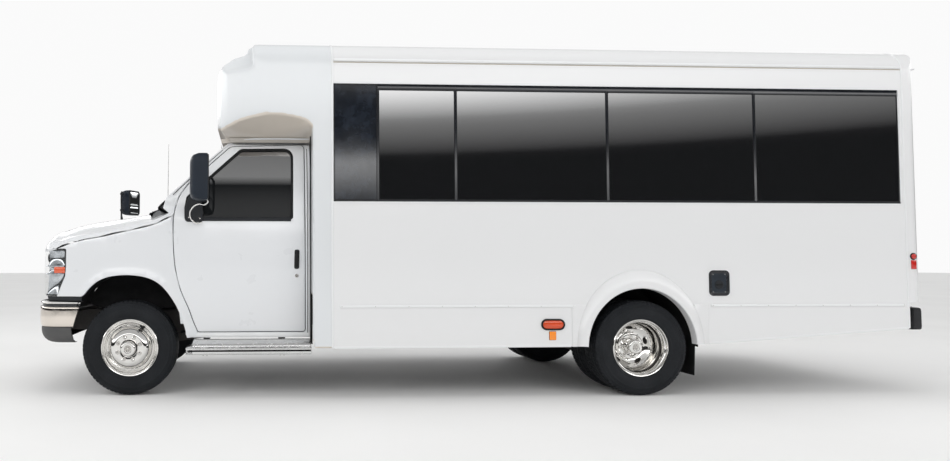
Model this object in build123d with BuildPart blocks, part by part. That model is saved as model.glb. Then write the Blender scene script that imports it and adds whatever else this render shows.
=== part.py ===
from build123d import *
import math
import os

# Minibus: a coach body on a cutaway van chassis.
# Millimetres, +Z up, wheels on Z = 0, nose towards -X, driver's side at -Y.
# Lengths along X are first given from the front axle and then moved by SHIFT,
# so that the origin is at the middle of the vehicle's outline on the ground.

# ---------------------------------------------------------------- sizes
WHEELBASE = 4013.0
NOSE_X = -785.0            # front of the bumper, from the front axle
TAIL_X = 6440.0            # back of the rear bumper
SHIFT = -(NOSE_X + TAIL_X) / 2

WHEEL_R = 372.0            # loaded tyre radius
TYRE_W = 225.0
RIM_R = 203.0              # bead seat
FRONT_Y = 880.0            # front wheel centre plane
REAR_Y = 1107.0            # outer rear wheel centre plane
DUAL = 270.0               # spacing of the twin wheels
KINGPIN_Y = 800.0
STEER_X = 0.0

BODY_Y = 1219.0            # half width of the coach body
WALL = 44.0                # wall thickness of the coach body
BODY_X0 = 1430.0           # front face of the coach body
SEAM_X = 1590.0            # joint of the front cap and the sides
REAR_X0 = 6215.0           # joint of the sides and the rear wall
REAR_X = 6344.0            # rear face
SKIRT_Z = 385.0
EAVES_Z = 2597.0
EAVE_JOINT = 2585.0        # joint of sides and roof, under the drip rail
SHOULDER_R = 180.0
CROWN_Z = 2831.0
FLOOR_Z = 780.0            # top of the coach floor
FLOOR_T = 45.0
BAND_Z0, BAND_Z1 = 1516.0, 2436.0     # black window band
PANE_T = 8.0

CAB_Y = 1010.0             # half width of the cab
CAB_ROOF_Z = 2040.0
CAB_FLOOR_Z = 722.0
SILL_Z = 454.0
SKIN = 14.0

X0 = SHIFT                 # row X of the front axle
XR = SHIFT + WHEELBASE     # row X of the rear axle


def at(points):
    """Side-view points given from the front axle, moved to the row frame."""
    return [(x + SHIFT, z) for x, z in points]


# ------------------------------------------------------- sketch helpers
def slab_y(points, y0, y1, mode=Mode.ADD):
    """Side-view outline (x from the front axle, z), filled from y0 to y1."""
    with BuildSketch(Plane.XZ.offset(-y0)) as face:
        with BuildLine():
            Polyline(*at(points), close=True)
        make_face()
    extrude(face.sketch, amount=-(y1 - y0), mode=mode)


def slab_z(points, z0, z1, mode=Mode.ADD):
    """Plan outline (x from the front axle, y), filled from z0 to z1."""
    with BuildSketch(Plane.XY.offset(z0)) as face:
        with BuildLine():
            Polyline(*at(points), close=True)
        make_face()
    extrude(face.sketch, amount=z1 - z0, mode=mode)


def slab_x(points, x0, x1, mode=Mode.ADD):
    """Cross-section outline (y, z), filled from x0 to x1 along the length."""
    with BuildSketch(Plane.YZ.offset(x0 + SHIFT)) as face:
        with BuildLine():
            Polyline(*points, close=True)
        make_face()
    extrude(face.sketch, amount=x1 - x0, mode=mode)


def block(x0, x1, y0, y1, z0, z1, mode=Mode.ADD, r=0.0):
    """Rectangular bar between two corners, with rounded upright corners."""
    with BuildSketch(Plane.XY.offset(z0)) as face:
        with Locations(((x0 + x1) / 2 + SHIFT, (y0 + y1) / 2)):
            if r > 0:
                RectangleRounded(x1 - x0, y1 - y0, r)
            else:
                Rectangle(x1 - x0, y1 - y0)
    extrude(face.sketch, amount=z1 - z0, mode=mode)


def rod_y(x, z, r, y0, y1, mode=Mode.ADD):
    """Round bar along Y."""
    with BuildSketch(Plane.XZ.offset(-y0)) as face:
        with Locations((x + SHIFT, z)):
            Circle(r)
    extrude(face.sketch, amount=-(y1 - y0), mode=mode)


def rod_z(x, y, r, z0, z1, mode=Mode.ADD):
    """Round bar along Z."""
    with BuildSketch(Plane.XY.offset(z0)) as face:
        with Locations((x + SHIFT, y)):
            Circle(r)
    extrude(face.sketch, amount=z1 - z0, mode=mode)


def rod_x(y, z, r, x0, x1, mode=Mode.ADD):
    """Round bar along X."""
    with BuildSketch(Plane.YZ.offset(x0 + SHIFT)) as face:
        with Locations((y, z)):
            Circle(r)
    extrude(face.sketch, amount=x1 - x0, mode=mode)


def mirror_y(points):
    return points + [(-y, z) for y, z in reversed(points) if y != 0]


# ------------------------------------------------------- shared outlines
# coach cross-section: upright wall, shoulder arc, shallow crown
def coach_section(x0, x1, inset, z_low, mode=Mode.ADD):
    hw = BODY_Y - inset
    r = SHOULDER_R - inset
    lean = math.radians(6)
    ya, za = hw - r + r * math.sin(lean), EAVES_Z + r * math.cos(lean)
    half = math.radians(48)
    ym, zm = hw - r + r * math.cos(half), EAVES_Z + r * math.sin(half)
    with BuildSketch(Plane.YZ.offset(x0 + SHIFT)) as face:
        with BuildLine():
            Line((-hw, z_low), (-hw, EAVES_Z))
            ThreePointArc((-hw, EAVES_Z), (-ym, zm), (-ya, za))
            ThreePointArc((-ya, za), (0, CROWN_Z - inset), (ya, za))
            ThreePointArc((ya, za), (ym, zm), (hw, EAVES_Z))
            Line((hw, EAVES_Z), (hw, z_low))
            Line((hw, z_low), (-hw, z_low))
        make_face()
    extrude(face.sketch, amount=x1 - x0, mode=mode)


# cab cross-section with tumblehome above the belt
def cab_section(x0, x1, inset, mode=Mode.ADD, z_low=SILL_Z):
    c = inset
    slab_x(mirror_y([(-(995 - c), z_low), (-(CAB_Y - c), 900), (-(CAB_Y - c), 1150),
                     (-(990 - c), 1430), (-(905 - c), 1940 - 0.3 * c),
                     (-(860 - c), 2005 - c), (-(760 - c), CAB_ROOF_Z - 8 - c)]),
           x0, x1, mode)


# side-view outline of the cab, clockwise from the sill
WIND_LOW, WIND_TOP = (150.0, 1436.0), (757.0, 2008.0)
CAB_OUTLINE = [(450, SILL_Z), (BODY_X0 - 4, SILL_Z), (BODY_X0 - 4, CAB_ROOF_Z),
               (790, CAB_ROOF_Z), WIND_TOP, WIND_LOW, (150, 1240), (330, 1200), (400, 560)]

# driver's door edge, from the lower rear corner forwards and up
DOOR = [(1384, 497), (538, 497), (511, 556), (470, 668), (402, 826), (362, 984), (345, 1142),
        (340, 1300), (352, 1464), (384, 1568), (452, 1668), (790, 1986), (1380, 2008)]
DOOR_WINDOW = [(1283, 1400), (470, 1400), (480, 1560), (812, 1930), (1283, 1948)]


def grown(points, d):
    """Outline moved outwards by d on every side (inwards when negative)."""
    n = len(points)
    area = sum(points[i][0] * points[(i + 1) % n][1] - points[(i + 1) % n][0] * points[i][1] for i in range(n))
    turn = 1 if area > 0 else -1
    moved = []
    for i in range(n):
        (ax, ay), (bx, by), (cx, cy) = points[i - 1], points[i], points[(i + 1) % n]
        ux, uy = bx - ax, by - ay
        vx, vy = cx - bx, cy - by
        lu, lv = math.hypot(ux, uy), math.hypot(vx, vy)
        px, py = ax + turn * d * uy / lu, ay - turn * d * ux / lu
        qx, qy = bx + turn * d * vy / lv, by - turn * d * vx / lv
        cross = ux * vy - uy * vx
        t = ((qx - px) * vy - (qy - py) * vx) / cross
        moved.append((px + t * ux, py + t * uy))
    return moved


# ================================================================ chassis
with BuildPart() as chassis_frame:
    for y in (-435, 360):
        slab_y([(-640, 470), (-640, 600), (-420, 640), (700, 640), (900, 680), (3300, 680),
                (3600, 690), (4500, 690), (4700, 680), (6330, 680), (6330, 540), (4700, 520),
                (4450, 560), (3600, 560), (3400, 500), (950, 500), (600, 470)], y, y + 75)
    for x in (-600, 1150, 2100, 3150, 4560, 5560, 6240):
        block(x, x + 70, -361, 361, 600, 640)
    for x in (1700, 2700, 3330, 4640, 5400, 6080):          # body bearers
        block(x, x + 60, -1150, 650 if x < 2500 else 1150, 690, 733)
        for y in (-400, 400):
            block(x, x + 60, y - 30, y + 30, 670, 700)
    for y in (-398, 398):                                   # rear towing eyes
        block(6230, 6330, y - 10, y + 10, 400, 560)
        rod_y(6290, 440, 16, y - 20, y + 20, mode=Mode.SUBTRACT)
    for y in (-398, 398):                                   # front towing eyes
        block(-700, -630, y - 10, y + 10, 470, 600)
        rod_y(-672, 500, 14, y - 20, y + 20, mode=Mode.SUBTRACT)

with BuildPart() as engine_block:
    block(-400, 270, -285, 285, 520, 1080)
    block(265, 1000, -160, 160, 450, 690)

with BuildPart() as fuel_tank:
    block(4660, 5540, -345, 170, 400, 590, r=40)

with BuildPart() as exhaust_pipe:
    with BuildLine() as route:
        FilletPolyline(*[(x + SHIFT, y, z) for x, y, z in (
            (1010, 262, 480), (1300, 262, 480), (1600, 262, 545), (5700, 262, 545), (6000, 420, 440), (6330, 560, 420))], radius=90)
    with BuildSketch(Plane(origin=route.line @ 0, z_dir=route.line % 0)):
        Circle(32)
    sweep()
    rod_x(262, 500, 95, 1900, 2600)

with BuildPart() as front_axle:
    # twin beams, each from a pivot beyond the middle out to its kingpin
    for side, xo in ((-1, -45), (1, 45)):
        slab_x([(side * -250, 330), (side * -250, 410), (side * 700, 405), (side * 772, 415),
                (side * 772, 330), (side * 700, 320)], xo - 22, xo + 22)
        block(-68, 68, min(side * 690, side * 800), max(side * 690, side * 800), 335, 405)
        rod_z(0, side * KINGPIN_Y, 42, 335, 405)
        rod_z(0, side * KINGPIN_Y, 20.5, 320, 420, mode=Mode.SUBTRACT)
        # radius arm back to the frame
        slab_y([(40, 340), (40, 400), (1000, 520), (1000, 460)], side * 530 - 20, side * 530 + 20)
        block(960, 1040, min(side * 436, side * 550), max(side * 436, side * 550), 470, 520)
        # coil spring between beam and frame
        rod_z(0, side * 540, 62, 395, 660)
        block(-70, 70, min(side * 436, side * 600), max(side * 436, side * 600), 642, 662)

with BuildPart() as rear_axle:
    rod_y(WHEELBASE, WHEEL_R, 62, -700, 700)
    rod_y(WHEELBASE, WHEEL_R, 40, -1095, 1095)
    with Locations((XR, 0, WHEEL_R)):
        Sphere(165)
    rod_x(0, WHEEL_R, 60, WHEELBASE - 300, WHEELBASE)
    slab_y([(1030, 520), (1030, 600), (3760, 432), (3760, 332)], -38, 38)
    for side in (-1, 1):
        y0, y1 = side * 530 - 38, side * 530 + 38
        slab_y([(3330, 590), (3330, 622), (3640, 500), (4013, 462), (4386, 500), (4700, 622),
                (4700, 590), (4386, 462), (4013, 425), (3640, 462)], y0, y1)
        for x in (3350, 4680):
            block(x - 28, x + 28, min(side * 436, side * 568), max(side * 436, side * 568), 590, 660)

for_knuckle = {}
for name, side in (("knuckle_left", -1), ("knuckle_right", 1)):
    with BuildPart() as k:
        rod_z(0, side * KINGPIN_Y, 20, 290, 452)
        rod_z(0, side * KINGPIN_Y, 36, 290, 328)
        rod_z(0, side * KINGPIN_Y, 36, 412, 452)
        block(-36, 36, min(side * 800, side * 850), max(side * 800, side * 850), 290, 328)
        block(-36, 36, min(side * 800, side * 850), max(side * 800, side * 850), 412, 452)
        block(-45, 45, min(side * 846, side * 872), max(side * 846, side * 872), 290, 452)
        rod_y(0, WHEEL_R, 30, side * 860, side * 1030)
        # steering arm, swept back under the rail
        block(0, 150, min(side * 792, side * 818), max(side * 792, side * 818), 296, 320)
    for_knuckle[name] = k


# ================================================================ wheels
def ring(profile, x, y, side):
    """Turned about a wheel's axle: (outward distance, radius) pairs."""
    with BuildSketch(Plane.YZ.offset(x)) as face:
        with BuildLine():
            Polyline(*[(y + side * d, WHEEL_R + r) for d, r in profile], close=True)
        make_face()
    revolve(face.sketch, axis=Axis((x, y, WHEEL_R), (0, 1, 0)), revolution_arc=360)


TYRE = [(-75, 205), (-75, 224), (-104, 227), (-112, 275), (-108, 320), (-98, 352), (-84, 367), (-50, 372),
        (50, 372), (84, 367), (98, 352), (108, 320), (112, 275), (104, 227), (75, 224), (75, 205)]
BARREL = [(-88, 222), (-76, 222), (-76, 204), (-60, 204), (-40, 186), (40, 186), (60, 204),
          (76, 204), (76, 222), (88, 222), (88, 196), (70, 194), (44, 176), (-44, 176), (-70, 194),
          (-88, 196)]
# front disc bulges outwards past the rim; rear disc is deep inside it
FRONT_DISC = [(28, 180), (60, 178), (118, 150), (138, 120), (138, 62), (186, 58), (196, 40),
              (196, 0), (160, 0), (160, 30.5), (30, 30.5), (30, 62), (126, 66), (126, 116),
              (106, 142), (52, 168), (28, 168)]

rims = {}
for name, side in (("left", -1), ("right", 1)):
    y = side * FRONT_Y
    with BuildPart() as tyre:
        ring(TYRE, X0, y, side)
    with BuildPart() as rim:
        ring(BARREL, X0, y, side)
        ring(FRONT_DISC, X0, y, side)
    rims["front_tyre_" + name] = tyre
    rims["front_rim_" + name] = rim
    with BuildPart() as tyres:
        for yy in (REAR_Y, REAR_Y - DUAL):
            ring(TYRE, XR, side * yy, side)
    with BuildPart() as hub:
        for yy in (REAR_Y, REAR_Y - DUAL):
            ring(BARREL, XR, side * yy, side)
        # outer disc dished inwards, inner disc dished outwards, one hub through both
        ring([(-28, 180), (-28, 168), (-60, 168), (-106, 142), (-126, 116), (-126, 60),
              (-134, 60), (-134, 120), (-114, 150), (-66, 178)], XR, side * REAR_Y, side)
        ring([(28, 180), (28, 168), (60, 168), (106, 142), (126, 116), (126, 60),
              (134, 60), (134, 120), (114, 150), (66, 178)], XR, side * (REAR_Y - DUAL), side)
        ring([(-200, 40.5), (-200, 85), (-110, 85), (-110, 62), (20, 58), (32, 44), (32, 0),
              (10, 0), (10, 40.5)], XR, side * REAR_Y, side)
    rims["rear_tyres_" + name] = tyres
    rims["rear_rims_" + name] = hub


# ================================================================ bumpers
def bumper_plan(inset):
    o = inset
    return [(-400, -(985 - o)), (-610, -(975 - o)), (-700 + 0.8 * o, -(915 - o)),
            (-752 + o, -(800 - o)), (-776 + o, -500), (-785 + o, -200), (-785 + o, 200),
            (-776 + o, 500), (-752 + o, 800 - o), (-700 + 0.8 * o, 915 - o), (-610, 975 - o),
            (-400, 985 - o)]


with BuildPart() as front_bumper:
    slab_z(bumper_plan(0), 531, 733)
    inner = bumper_plan(16)
    slab_z([(-390, inner[0][1])] + inner[1:-1] + [(-390, inner[-1][1])], 520, 745, mode=Mode.SUBTRACT)
    for y in (-368, 368):                                   # brackets to the frame
        block(-768, -642, y - 9, y + 9, 560, 600)
    slab_y([(-384, 740), (-446, 525), (-300, 525), (-300, 740)], -1100, 1100, mode=Mode.SUBTRACT)

with BuildPart() as front_valance:
    slab_z([(x * 0.985 + 4, y * 0.985) for x, y in bumper_plan(14)], 405, 530)
    slab_z([(x + 60 if abs(x) < 401 else x, y) for x, y in bumper_plan(40)], 400, 540, mode=Mode.SUBTRACT)
    block(-452, -300, -1100, 1100, 400, 540, mode=Mode.SUBTRACT)

with BuildPart() as rear_bumper:
    block(6352, TAIL_X, -1110, 1110, 494, 675, r=40)
    block(6340, 6430, -1098, 1098, 506, 640, mode=Mode.SUBTRACT)
    for y in (-330, 330):
        block(6332, 6436, y - 12, y + 12, 545, 640)


# ================================================================ nose
def nose(inset, mode=Mode.ADD):
    """Outer form of hood and fenders: side view, plan and section in one."""
    c = inset
    x_back = 356.0
    slab_y([(-700 + c, 770), (-700 + c, 1150 - 0.4 * c), (-690 + c, 1205 - c), (-640 + 0.5 * c, 1280 - c),
            (-540, 1330 - c), (-372, 1376 - c), (-204, 1402 - c), (0, 1434 - c), (160, 1468 - c),
            (x_back, 1474 - c), (x_back, 498), (300, 498), (300, 770)], -1010, 1010, mode)


def nose_trim(inset):
    c = inset
    slab_z([(360, -(CAB_Y - c)), (-250, -(1004 - c)), (-480, -(985 - c)), (-600, -(956 - c)),
            (-668 + c, -(905 - c)), (-694 + c, -600), (-700 + c, -200), (-700 + c, 200), (-694 + c, 600),
            (-668 + c, 905 - c), (-600, 956 - c), (-480, 985 - c), (-250, 1004 - c), (360, CAB_Y - c)],
           400, 1600, mode=Mode.INTERSECT)
    # cross-section that swells from the lamps back to the windscreen
    with BuildPart(mode=Mode.PRIVATE) as crown:
        for x, row in ((-800, CROWN_FRONT), (360, CROWN_BACK)):
            with BuildSketch(Plane.YZ.offset(x + SHIFT)):
                with BuildLine():
                    Polyline(*mirror_y([(-max(0, y - c), z if z < 950 else z - c) for y, z in row]), close=True)
                make_face()
        loft(ruled=True)
    add(crown.part, mode=Mode.INTERSECT)


CROWN_FRONT = [(CAB_Y + 20, 400), (CAB_Y, 900), (CAB_Y - 4, 1080), (962, 1160), (860, 1214), (700, 1276), (420, 1330), (0, 1350)]
CROWN_BACK = [(CAB_Y + 20, 400), (CAB_Y, 900), (CAB_Y - 4, 1350), (962, 1428), (860, 1464), (700, 1492), (420, 1512), (0, 1520)]
HOOD = [(-655, -560), (-655, 560), (-560, 700), (-300, 760), (150, 800), (150, -800), (-300, -760), (-560, -700)]
ARCH = [(-372, 740), (-353, 783), (-334, 815), (-295, 860), (-245, 902), (-174, 929), (-77, 942), (26, 942),
        (117, 929), (182, 905), (234, 873), (287, 821), (326, 768), (359, 716), (385, 664), (411, 598),
        (431, 539), (445, 487), (455, 430), (-372, 430)]
LAMP = [(-760, 776), (-575, 776), (-508, 935), (-500, 1140), (-520, 1152), (-760, 1152)]

with BuildPart() as nose_shell:
    nose(0)
    nose_trim(0)
with BuildPart() as nose_core:
    nose(SKIN)
    nose_trim(SKIN)
with BuildPart() as hood_core:
    nose(26)
    nose_trim(26)

with BuildPart() as front_fenders:
    add(nose_shell.part)
    add(nose_core.part, mode=Mode.SUBTRACT)
    block(-800, 400, -1100, 1100, 400, 498, mode=Mode.SUBTRACT)
    slab_z(HOOD, 1150, 1600, mode=Mode.SUBTRACT)
    block(130, 400, -800, 800, 400, 1600, mode=Mode.SUBTRACT)
    slab_y(ARCH, -1100, 1100, mode=Mode.SUBTRACT)
    block(-760, -640, -540, 540, 700, 1182, mode=Mode.SUBTRACT)
    for side in (-1, 1):
        slab_y(LAMP, min(side * 560, side * 1100), max(side * 560, side * 1100), mode=Mode.SUBTRACT)
    # wheel housing between fender and engine bay
    for side in (-1, 1):
        a, b = sorted((side * 572, side * 998))
        slab_y([(-392, 745), (-372, 790), (-350, 825), (-305, 872), (-250, 916), (-176, 944), (-77, 957),
                (26, 957), (120, 944), (188, 919), (244, 885), (299, 832), (338, 777), (352, 755), (352, 775),
                (310, 850), (250, 905), (190, 935), (120, 960), (26, 973), (-77, 973), (-180, 960),
                (-256, 932), (-316, 885), (-362, 836), (-384, 800), (-410, 745)], a, b)
    # radiator support tying the two fenders together behind the grille
    block(-640, -610, -556, 556, 780, 830)
    block(-640, -610, -925, 925, 1158, 1180)
    for y in (-556, 540):
        block(-640, -610, y, y + 16, 780, 1180)
    slab_y(grown(DOOR, 11), -1100, 1100, mode=Mode.SUBTRACT)

with BuildPart() as hood:
    add(nose_shell.part)
    add(hood_core.part, mode=Mode.SUBTRACT)
    slab_z(grown(HOOD, -5), 1190, 1600, mode=Mode.INTERSECT)

with BuildPart() as grille:
    block(-712, -690, -530, 530, 790, 1176)
    for z in (850, 930, 1010, 1090):
        block(-720, -690, -500, 500, z - 22, z + 22, mode=Mode.SUBTRACT)

with BuildPart() as headlights:
    add(nose_shell.part)
    add(nose_core.part, mode=Mode.SUBTRACT)
    slab_y(grown(LAMP, -3), -1100, 1100, mode=Mode.INTERSECT)
    block(-800, -400, -564, 564, 700, 1300, mode=Mode.SUBTRACT)

# ================================================================ cab
with BuildPart() as cab_outer:
    slab_y(CAB_OUTLINE, -1020, 1020)
    cab_section(100, 1440, 0, mode=Mode.INTERSECT)
with BuildPart() as cab_inner:
    slab_y([(470, CAB_FLOOR_Z), (BODY_X0 + 40, CAB_FLOOR_Z), (BODY_X0 + 40, CAB_ROOF_Z - 40), (800, CAB_ROOF_Z - 40),
            (785, 1980), (215, 1436), (215, 1300), (370, 1240), (430, 800)], -1020, 1020)
    cab_section(100, 1500, 70, mode=Mode.INTERSECT)

# glass plane of the windscreen, in side view
dx, dz = WIND_TOP[0] - WIND_LOW[0], WIND_TOP[1] - WIND_LOW[1]
run = math.hypot(dx, dz)
ux, uz = dx / run, dz / run


def on_screen(s, depth):
    """Side-view point at distance s up the windscreen, depth behind its face."""
    return (WIND_LOW[0] + ux * s + uz * depth, WIND_LOW[1] + uz * s - ux * depth)


with BuildPart() as cab_shell:
    add(cab_outer.part)
    add(cab_inner.part, mode=Mode.SUBTRACT)
    for side in (-1, 1):
        a, b = sorted((side * 780, side * 1100))
        slab_y(grown(DOOR, 6), a, b, mode=Mode.SUBTRACT)
    # windscreen aperture
    s0, s1 = 60, run - 55
    slab_y([on_screen(s0, -60), on_screen(s1, -60), on_screen(s1, 140), on_screen(s0, 140)], -800, 800,
           mode=Mode.SUBTRACT)
    block(100, 356, -1100, -800, 400, 1600, mode=Mode.SUBTRACT)
    block(100, 356, 800, 1100, 400, 1600, mode=Mode.SUBTRACT)
    # engine cover between the seats
    block(420, 800, -270, 270, CAB_FLOOR_Z - 5, 990)
    # open underside between the sills
    block(300, 1440, -925, 925, 400, CAB_FLOOR_Z - 30, mode=Mode.SUBTRACT)
    block(300, 440, -1100, 1100, 400, 560, mode=Mode.SUBTRACT)

with BuildPart() as windshield:
    s0, s1 = 62, run - 57
    slab_y([on_screen(s0, 4), on_screen(s1, 4), on_screen(s1, 11), on_screen(s0, 11)], -798, 798)

door_nodes = {}
for name, side in (("driver_door", -1), ("passenger_door", 1)):
    a, b = sorted((side * 792, side * 1100))
    with BuildPart() as door:
        slab_y(DOOR, a, b)
        cab_section(100, 1500, 0, mode=Mode.INTERSECT)
        cab_section(90, 1510, 62, mode=Mode.SUBTRACT, z_low=400)
        slab_y(DOOR_WINDOW, a, b, mode=Mode.SUBTRACT)
    with BuildPart() as pane:
        slab_y(grown(DOOR_WINDOW, -1), a, b)
        cab_section(100, 1500, 26, mode=Mode.INTERSECT)
        cab_section(90, 1510, 32, mode=Mode.SUBTRACT, z_low=400)
    door_nodes[name] = door
    door_nodes[name + "_glass"] = pane

with BuildPart() as dashboard:
    slab_y([(445, 1005), (620, 1005), (650, 1120), (600, 1260), (480, 1310), (380, 1330), (395, 1250), (430, 1010)], -890, 890)
    # steering column
    with BuildSketch(Plane(origin=(560 + SHIFT, -520, 1180), x_dir=(0, 1, 0),
                           z_dir=(math.cos(math.radians(28)), 0, math.sin(math.radians(28))))) as col:
        Circle(34)
    extrude(col.sketch, amount=180)

WHEEL_TILT = math.radians(28)
SW = (560 + SHIFT + 190 * math.cos(WHEEL_TILT), -520, 1180 + 190 * math.sin(WHEEL_TILT))
with BuildPart() as steering_wheel:
    sw_plane = Plane(origin=SW, x_dir=(0, 1, 0), z_dir=(math.cos(WHEEL_TILT), 0, math.sin(WHEEL_TILT)))
    with BuildSketch(sw_plane) as hub_face:
        Circle(52)
    extrude(hub_face.sketch, amount=40)
    with BuildSketch(sw_plane.offset(12)) as spokes:
        Rectangle(370, 44)
        with Locations((0, -92)):
            Rectangle(40, 184)
    extrude(spokes.sketch, amount=16)
    with BuildSketch(sw_plane.offset(5)) as rim_face:
        Circle(202)
        Circle(172, mode=Mode.SUBTRACT)
    extrude(rim_face.sketch, amount=30)


def seat(x, y, w, z, depth=440, back=640):
    """Bucket seat: base, cushion and back facing the nose."""
    block(x + 60, x + depth - 40, y - w / 2 + 60, y + w / 2 - 60, z, z + 231)
    block(x, x + depth, y - w / 2, y + w / 2, z + 230, z + 360, r=40)
    slab_y([(x + depth - 40, z + 330), (x + depth + 50, z + 340), (x + depth + 120, z + 340 + back),
            (x + depth + 30, z + 340 + back)], y - w / 2, y + w / 2)


with BuildPart() as cab_seats:
    for y in (-520, 520):
        seat(885, y, 520, CAB_FLOOR_Z)

# rows of double seats either side of the aisle; the door side starts later
SEAT_W, SEAT_PITCH = 860.0, 760.0
ROWS = [(-1, x) for x in (1790, 2550, 3310, 4070, 4830, 5590)] + [(1, x) for x in (2650, 3410, 4170, 4930)]
with BuildPart() as passenger_seats:
    for side, x in ROWS:
        y = side * (1150 - SEAT_W / 2)
        z = FLOOR_Z
        block(x + 110, x + 350, y - 60 - side * 250, y + 60 - side * 250, z, z + 301)
        block(x, x + 440, y - SEAT_W / 2, y + SEAT_W / 2, z + 300, z + 410, r=40)
        slab_y([(x + 410, z + 380), (x + 500, z + 380), (x + 590, z + 1010), (x + 510, z + 1010)],
               y - SEAT_W / 2, y + SEAT_W / 2)

# ================================================================ coach body
CAP_OUT = [(SEAM_X, SKIRT_Z), (1446, SKIRT_Z), (BODY_X0, 470), (BODY_X0, 2052), (750, 2052), (690, 2110), (668, 2150),
           (668, 2500), (700, 2570), (750, 2617), (818, 2666), (912, 2694), (930, 2744), (960, 2762), (1120, 2806), (1300, CROWN_Z + 10), (SEAM_X, CROWN_Z + 10)]
CAP_IN = [(SEAM_X + 20, FLOOR_Z), (BODY_X0 + 44, FLOOR_Z), (BODY_X0 + 44, 2100), (780, 2100), (730, 2160),
          (730, 2455), (765, 2540), (930, 2640), (990, 2710), (1130, 2762), (1300, CROWN_Z - 44), (SEAM_X + 20, CROWN_Z - 44)]
CAP_PLAN = [(SEAM_X, -BODY_Y), (1080, -BODY_Y), (950, -1211), (850, -1186), (765, -1136), (712, -1060), (688, -960),
            (674, -800), (668, -400), (668, 0)]
CAP_STEP_X = 965.0
# lower edge of the cap's side, an arch over the cab door
CAP_ARCH = [(640, 2060), (702, 2101), (766, 2133), (830, 2157), (957, 2180), (1085, 2204), (1213, 2199), (1342, 2175),
            (1400, 2155), (1424, 2120), (1430, 2050)]


def cap_shoulder(side, c):
    """Wedge that cuts the slanting shelf off the cap's upper side, forward of the roof's step; c moves it inwards."""
    with BuildPart(mode=Mode.PRIVATE) as wedge:
        for x, z in ((600, 2424), (CAP_STEP_X + c, 2549 + 0.34 * c)):
            with BuildSketch(Plane.YZ.offset(x + SHIFT)):
                with BuildLine():
                    Polyline(*[(side * y, h) for y, h in ((1300, z - c), (1221 - c, z - c), (1110 - c, z + 75 - c),
                                                          (1062 - c, z + 150 - c), (1062 - c, 2950), (1300, 2950))],
                             close=True)
                make_face()
        loft(ruled=True)
    return wedge.part


def cap_soffit(side, rise):
    """Hollow over the cab door: arched at the outer face, level by the cab roof."""
    base = 1990.0
    with BuildPart(mode=Mode.PRIVATE) as hollow:
        for y, level in ((1240, False), (930, True)):
            row = [(x, (2056 if level else z) + rise) for x, z in CAP_ARCH]
            with BuildSketch(Plane.XZ.offset(-side * y)):
                with BuildLine():
                    Polyline(*at([(CAP_ARCH[-1][0], base)] + row[::-1] + [(CAP_ARCH[0][0], base)]), close=True)
                make_face()
        loft(ruled=True)
    return hollow.part


with BuildPart() as front_cap:
    slab_y(CAP_OUT, -BODY_Y, BODY_Y)
    coach_section(600, SEAM_X, 0, 300, mode=Mode.INTERSECT)
    slab_z(CAP_PLAN + [(x, -y) for x, y in reversed(CAP_PLAN[:-1])], 300, 3000, mode=Mode.INTERSECT)
    for side in (-1, 1):
        add(cap_soffit(side, 0), mode=Mode.SUBTRACT)
        add(cap_shoulder(side, 0), mode=Mode.SUBTRACT)
with BuildPart() as cap_void:
    slab_y(CAP_IN, -(BODY_Y - WALL), BODY_Y - WALL)
    coach_section(600, SEAM_X + 20, WALL, 700, mode=Mode.INTERSECT)
    slab_z([(x + 44 if x < SEAM_X else x + 20, -(abs(y) - 44) if y else 0) for x, y in CAP_PLAN]
           + [(x + 44 if x < SEAM_X else x + 20, abs(y) - 44) for x, y in reversed(CAP_PLAN[:-1])], 300, 3000,
           mode=Mode.INTERSECT)
    for side in (-1, 1):
        add(cap_soffit(side, 48), mode=Mode.SUBTRACT)
        add(cap_shoulder(side, 44), mode=Mode.SUBTRACT)
LAMP_YS = (-900, -200, 0, 200, 900)         # roof marker lamps
with BuildPart() as front_cap_shell:
    add(front_cap.part)
    add(cap_void.part, mode=Mode.SUBTRACT)
    for y in LAMP_YS:
        block(912, 962, y - 52, y + 52, 2688, 2745, mode=Mode.SUBTRACT)
    # way through from cab to cabin, and underneath for chassis
    block(BODY_X0 - 20, BODY_X0 + 60, -880, 880, FLOOR_Z, 1990, mode=Mode.SUBTRACT)
    block(BODY_X0 - 20, SEAM_X + 10, -(BODY_Y - WALL), BODY_Y - WALL, 300, FLOOR_Z + 5, mode=Mode.SUBTRACT)

SIDE = [(SEAM_X, SKIRT_Z), (3500, 388), (4540, 402), (REAR_X0, 516), (REAR_X0, EAVE_JOINT), (SEAM_X, EAVE_JOINT)]
BAND_X0, BAND_X1 = 1592.0, 6172.0
# panes along the band: rear edges of each, from the front
PANES_LEFT = [(1592, 1936), (1940, 2550), (2554, 3764), (3768, 4968), (4972, 6172)]
PANES_RIGHT = [(2554, 3764), (3768, 4968), (4972, 6172)]
DOORWAY_X0, DOORWAY_X1 = 1680.0, 2480.0
DOORWAY_Z0, DOORWAY_Z1 = 410.0, 2420.0

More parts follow.
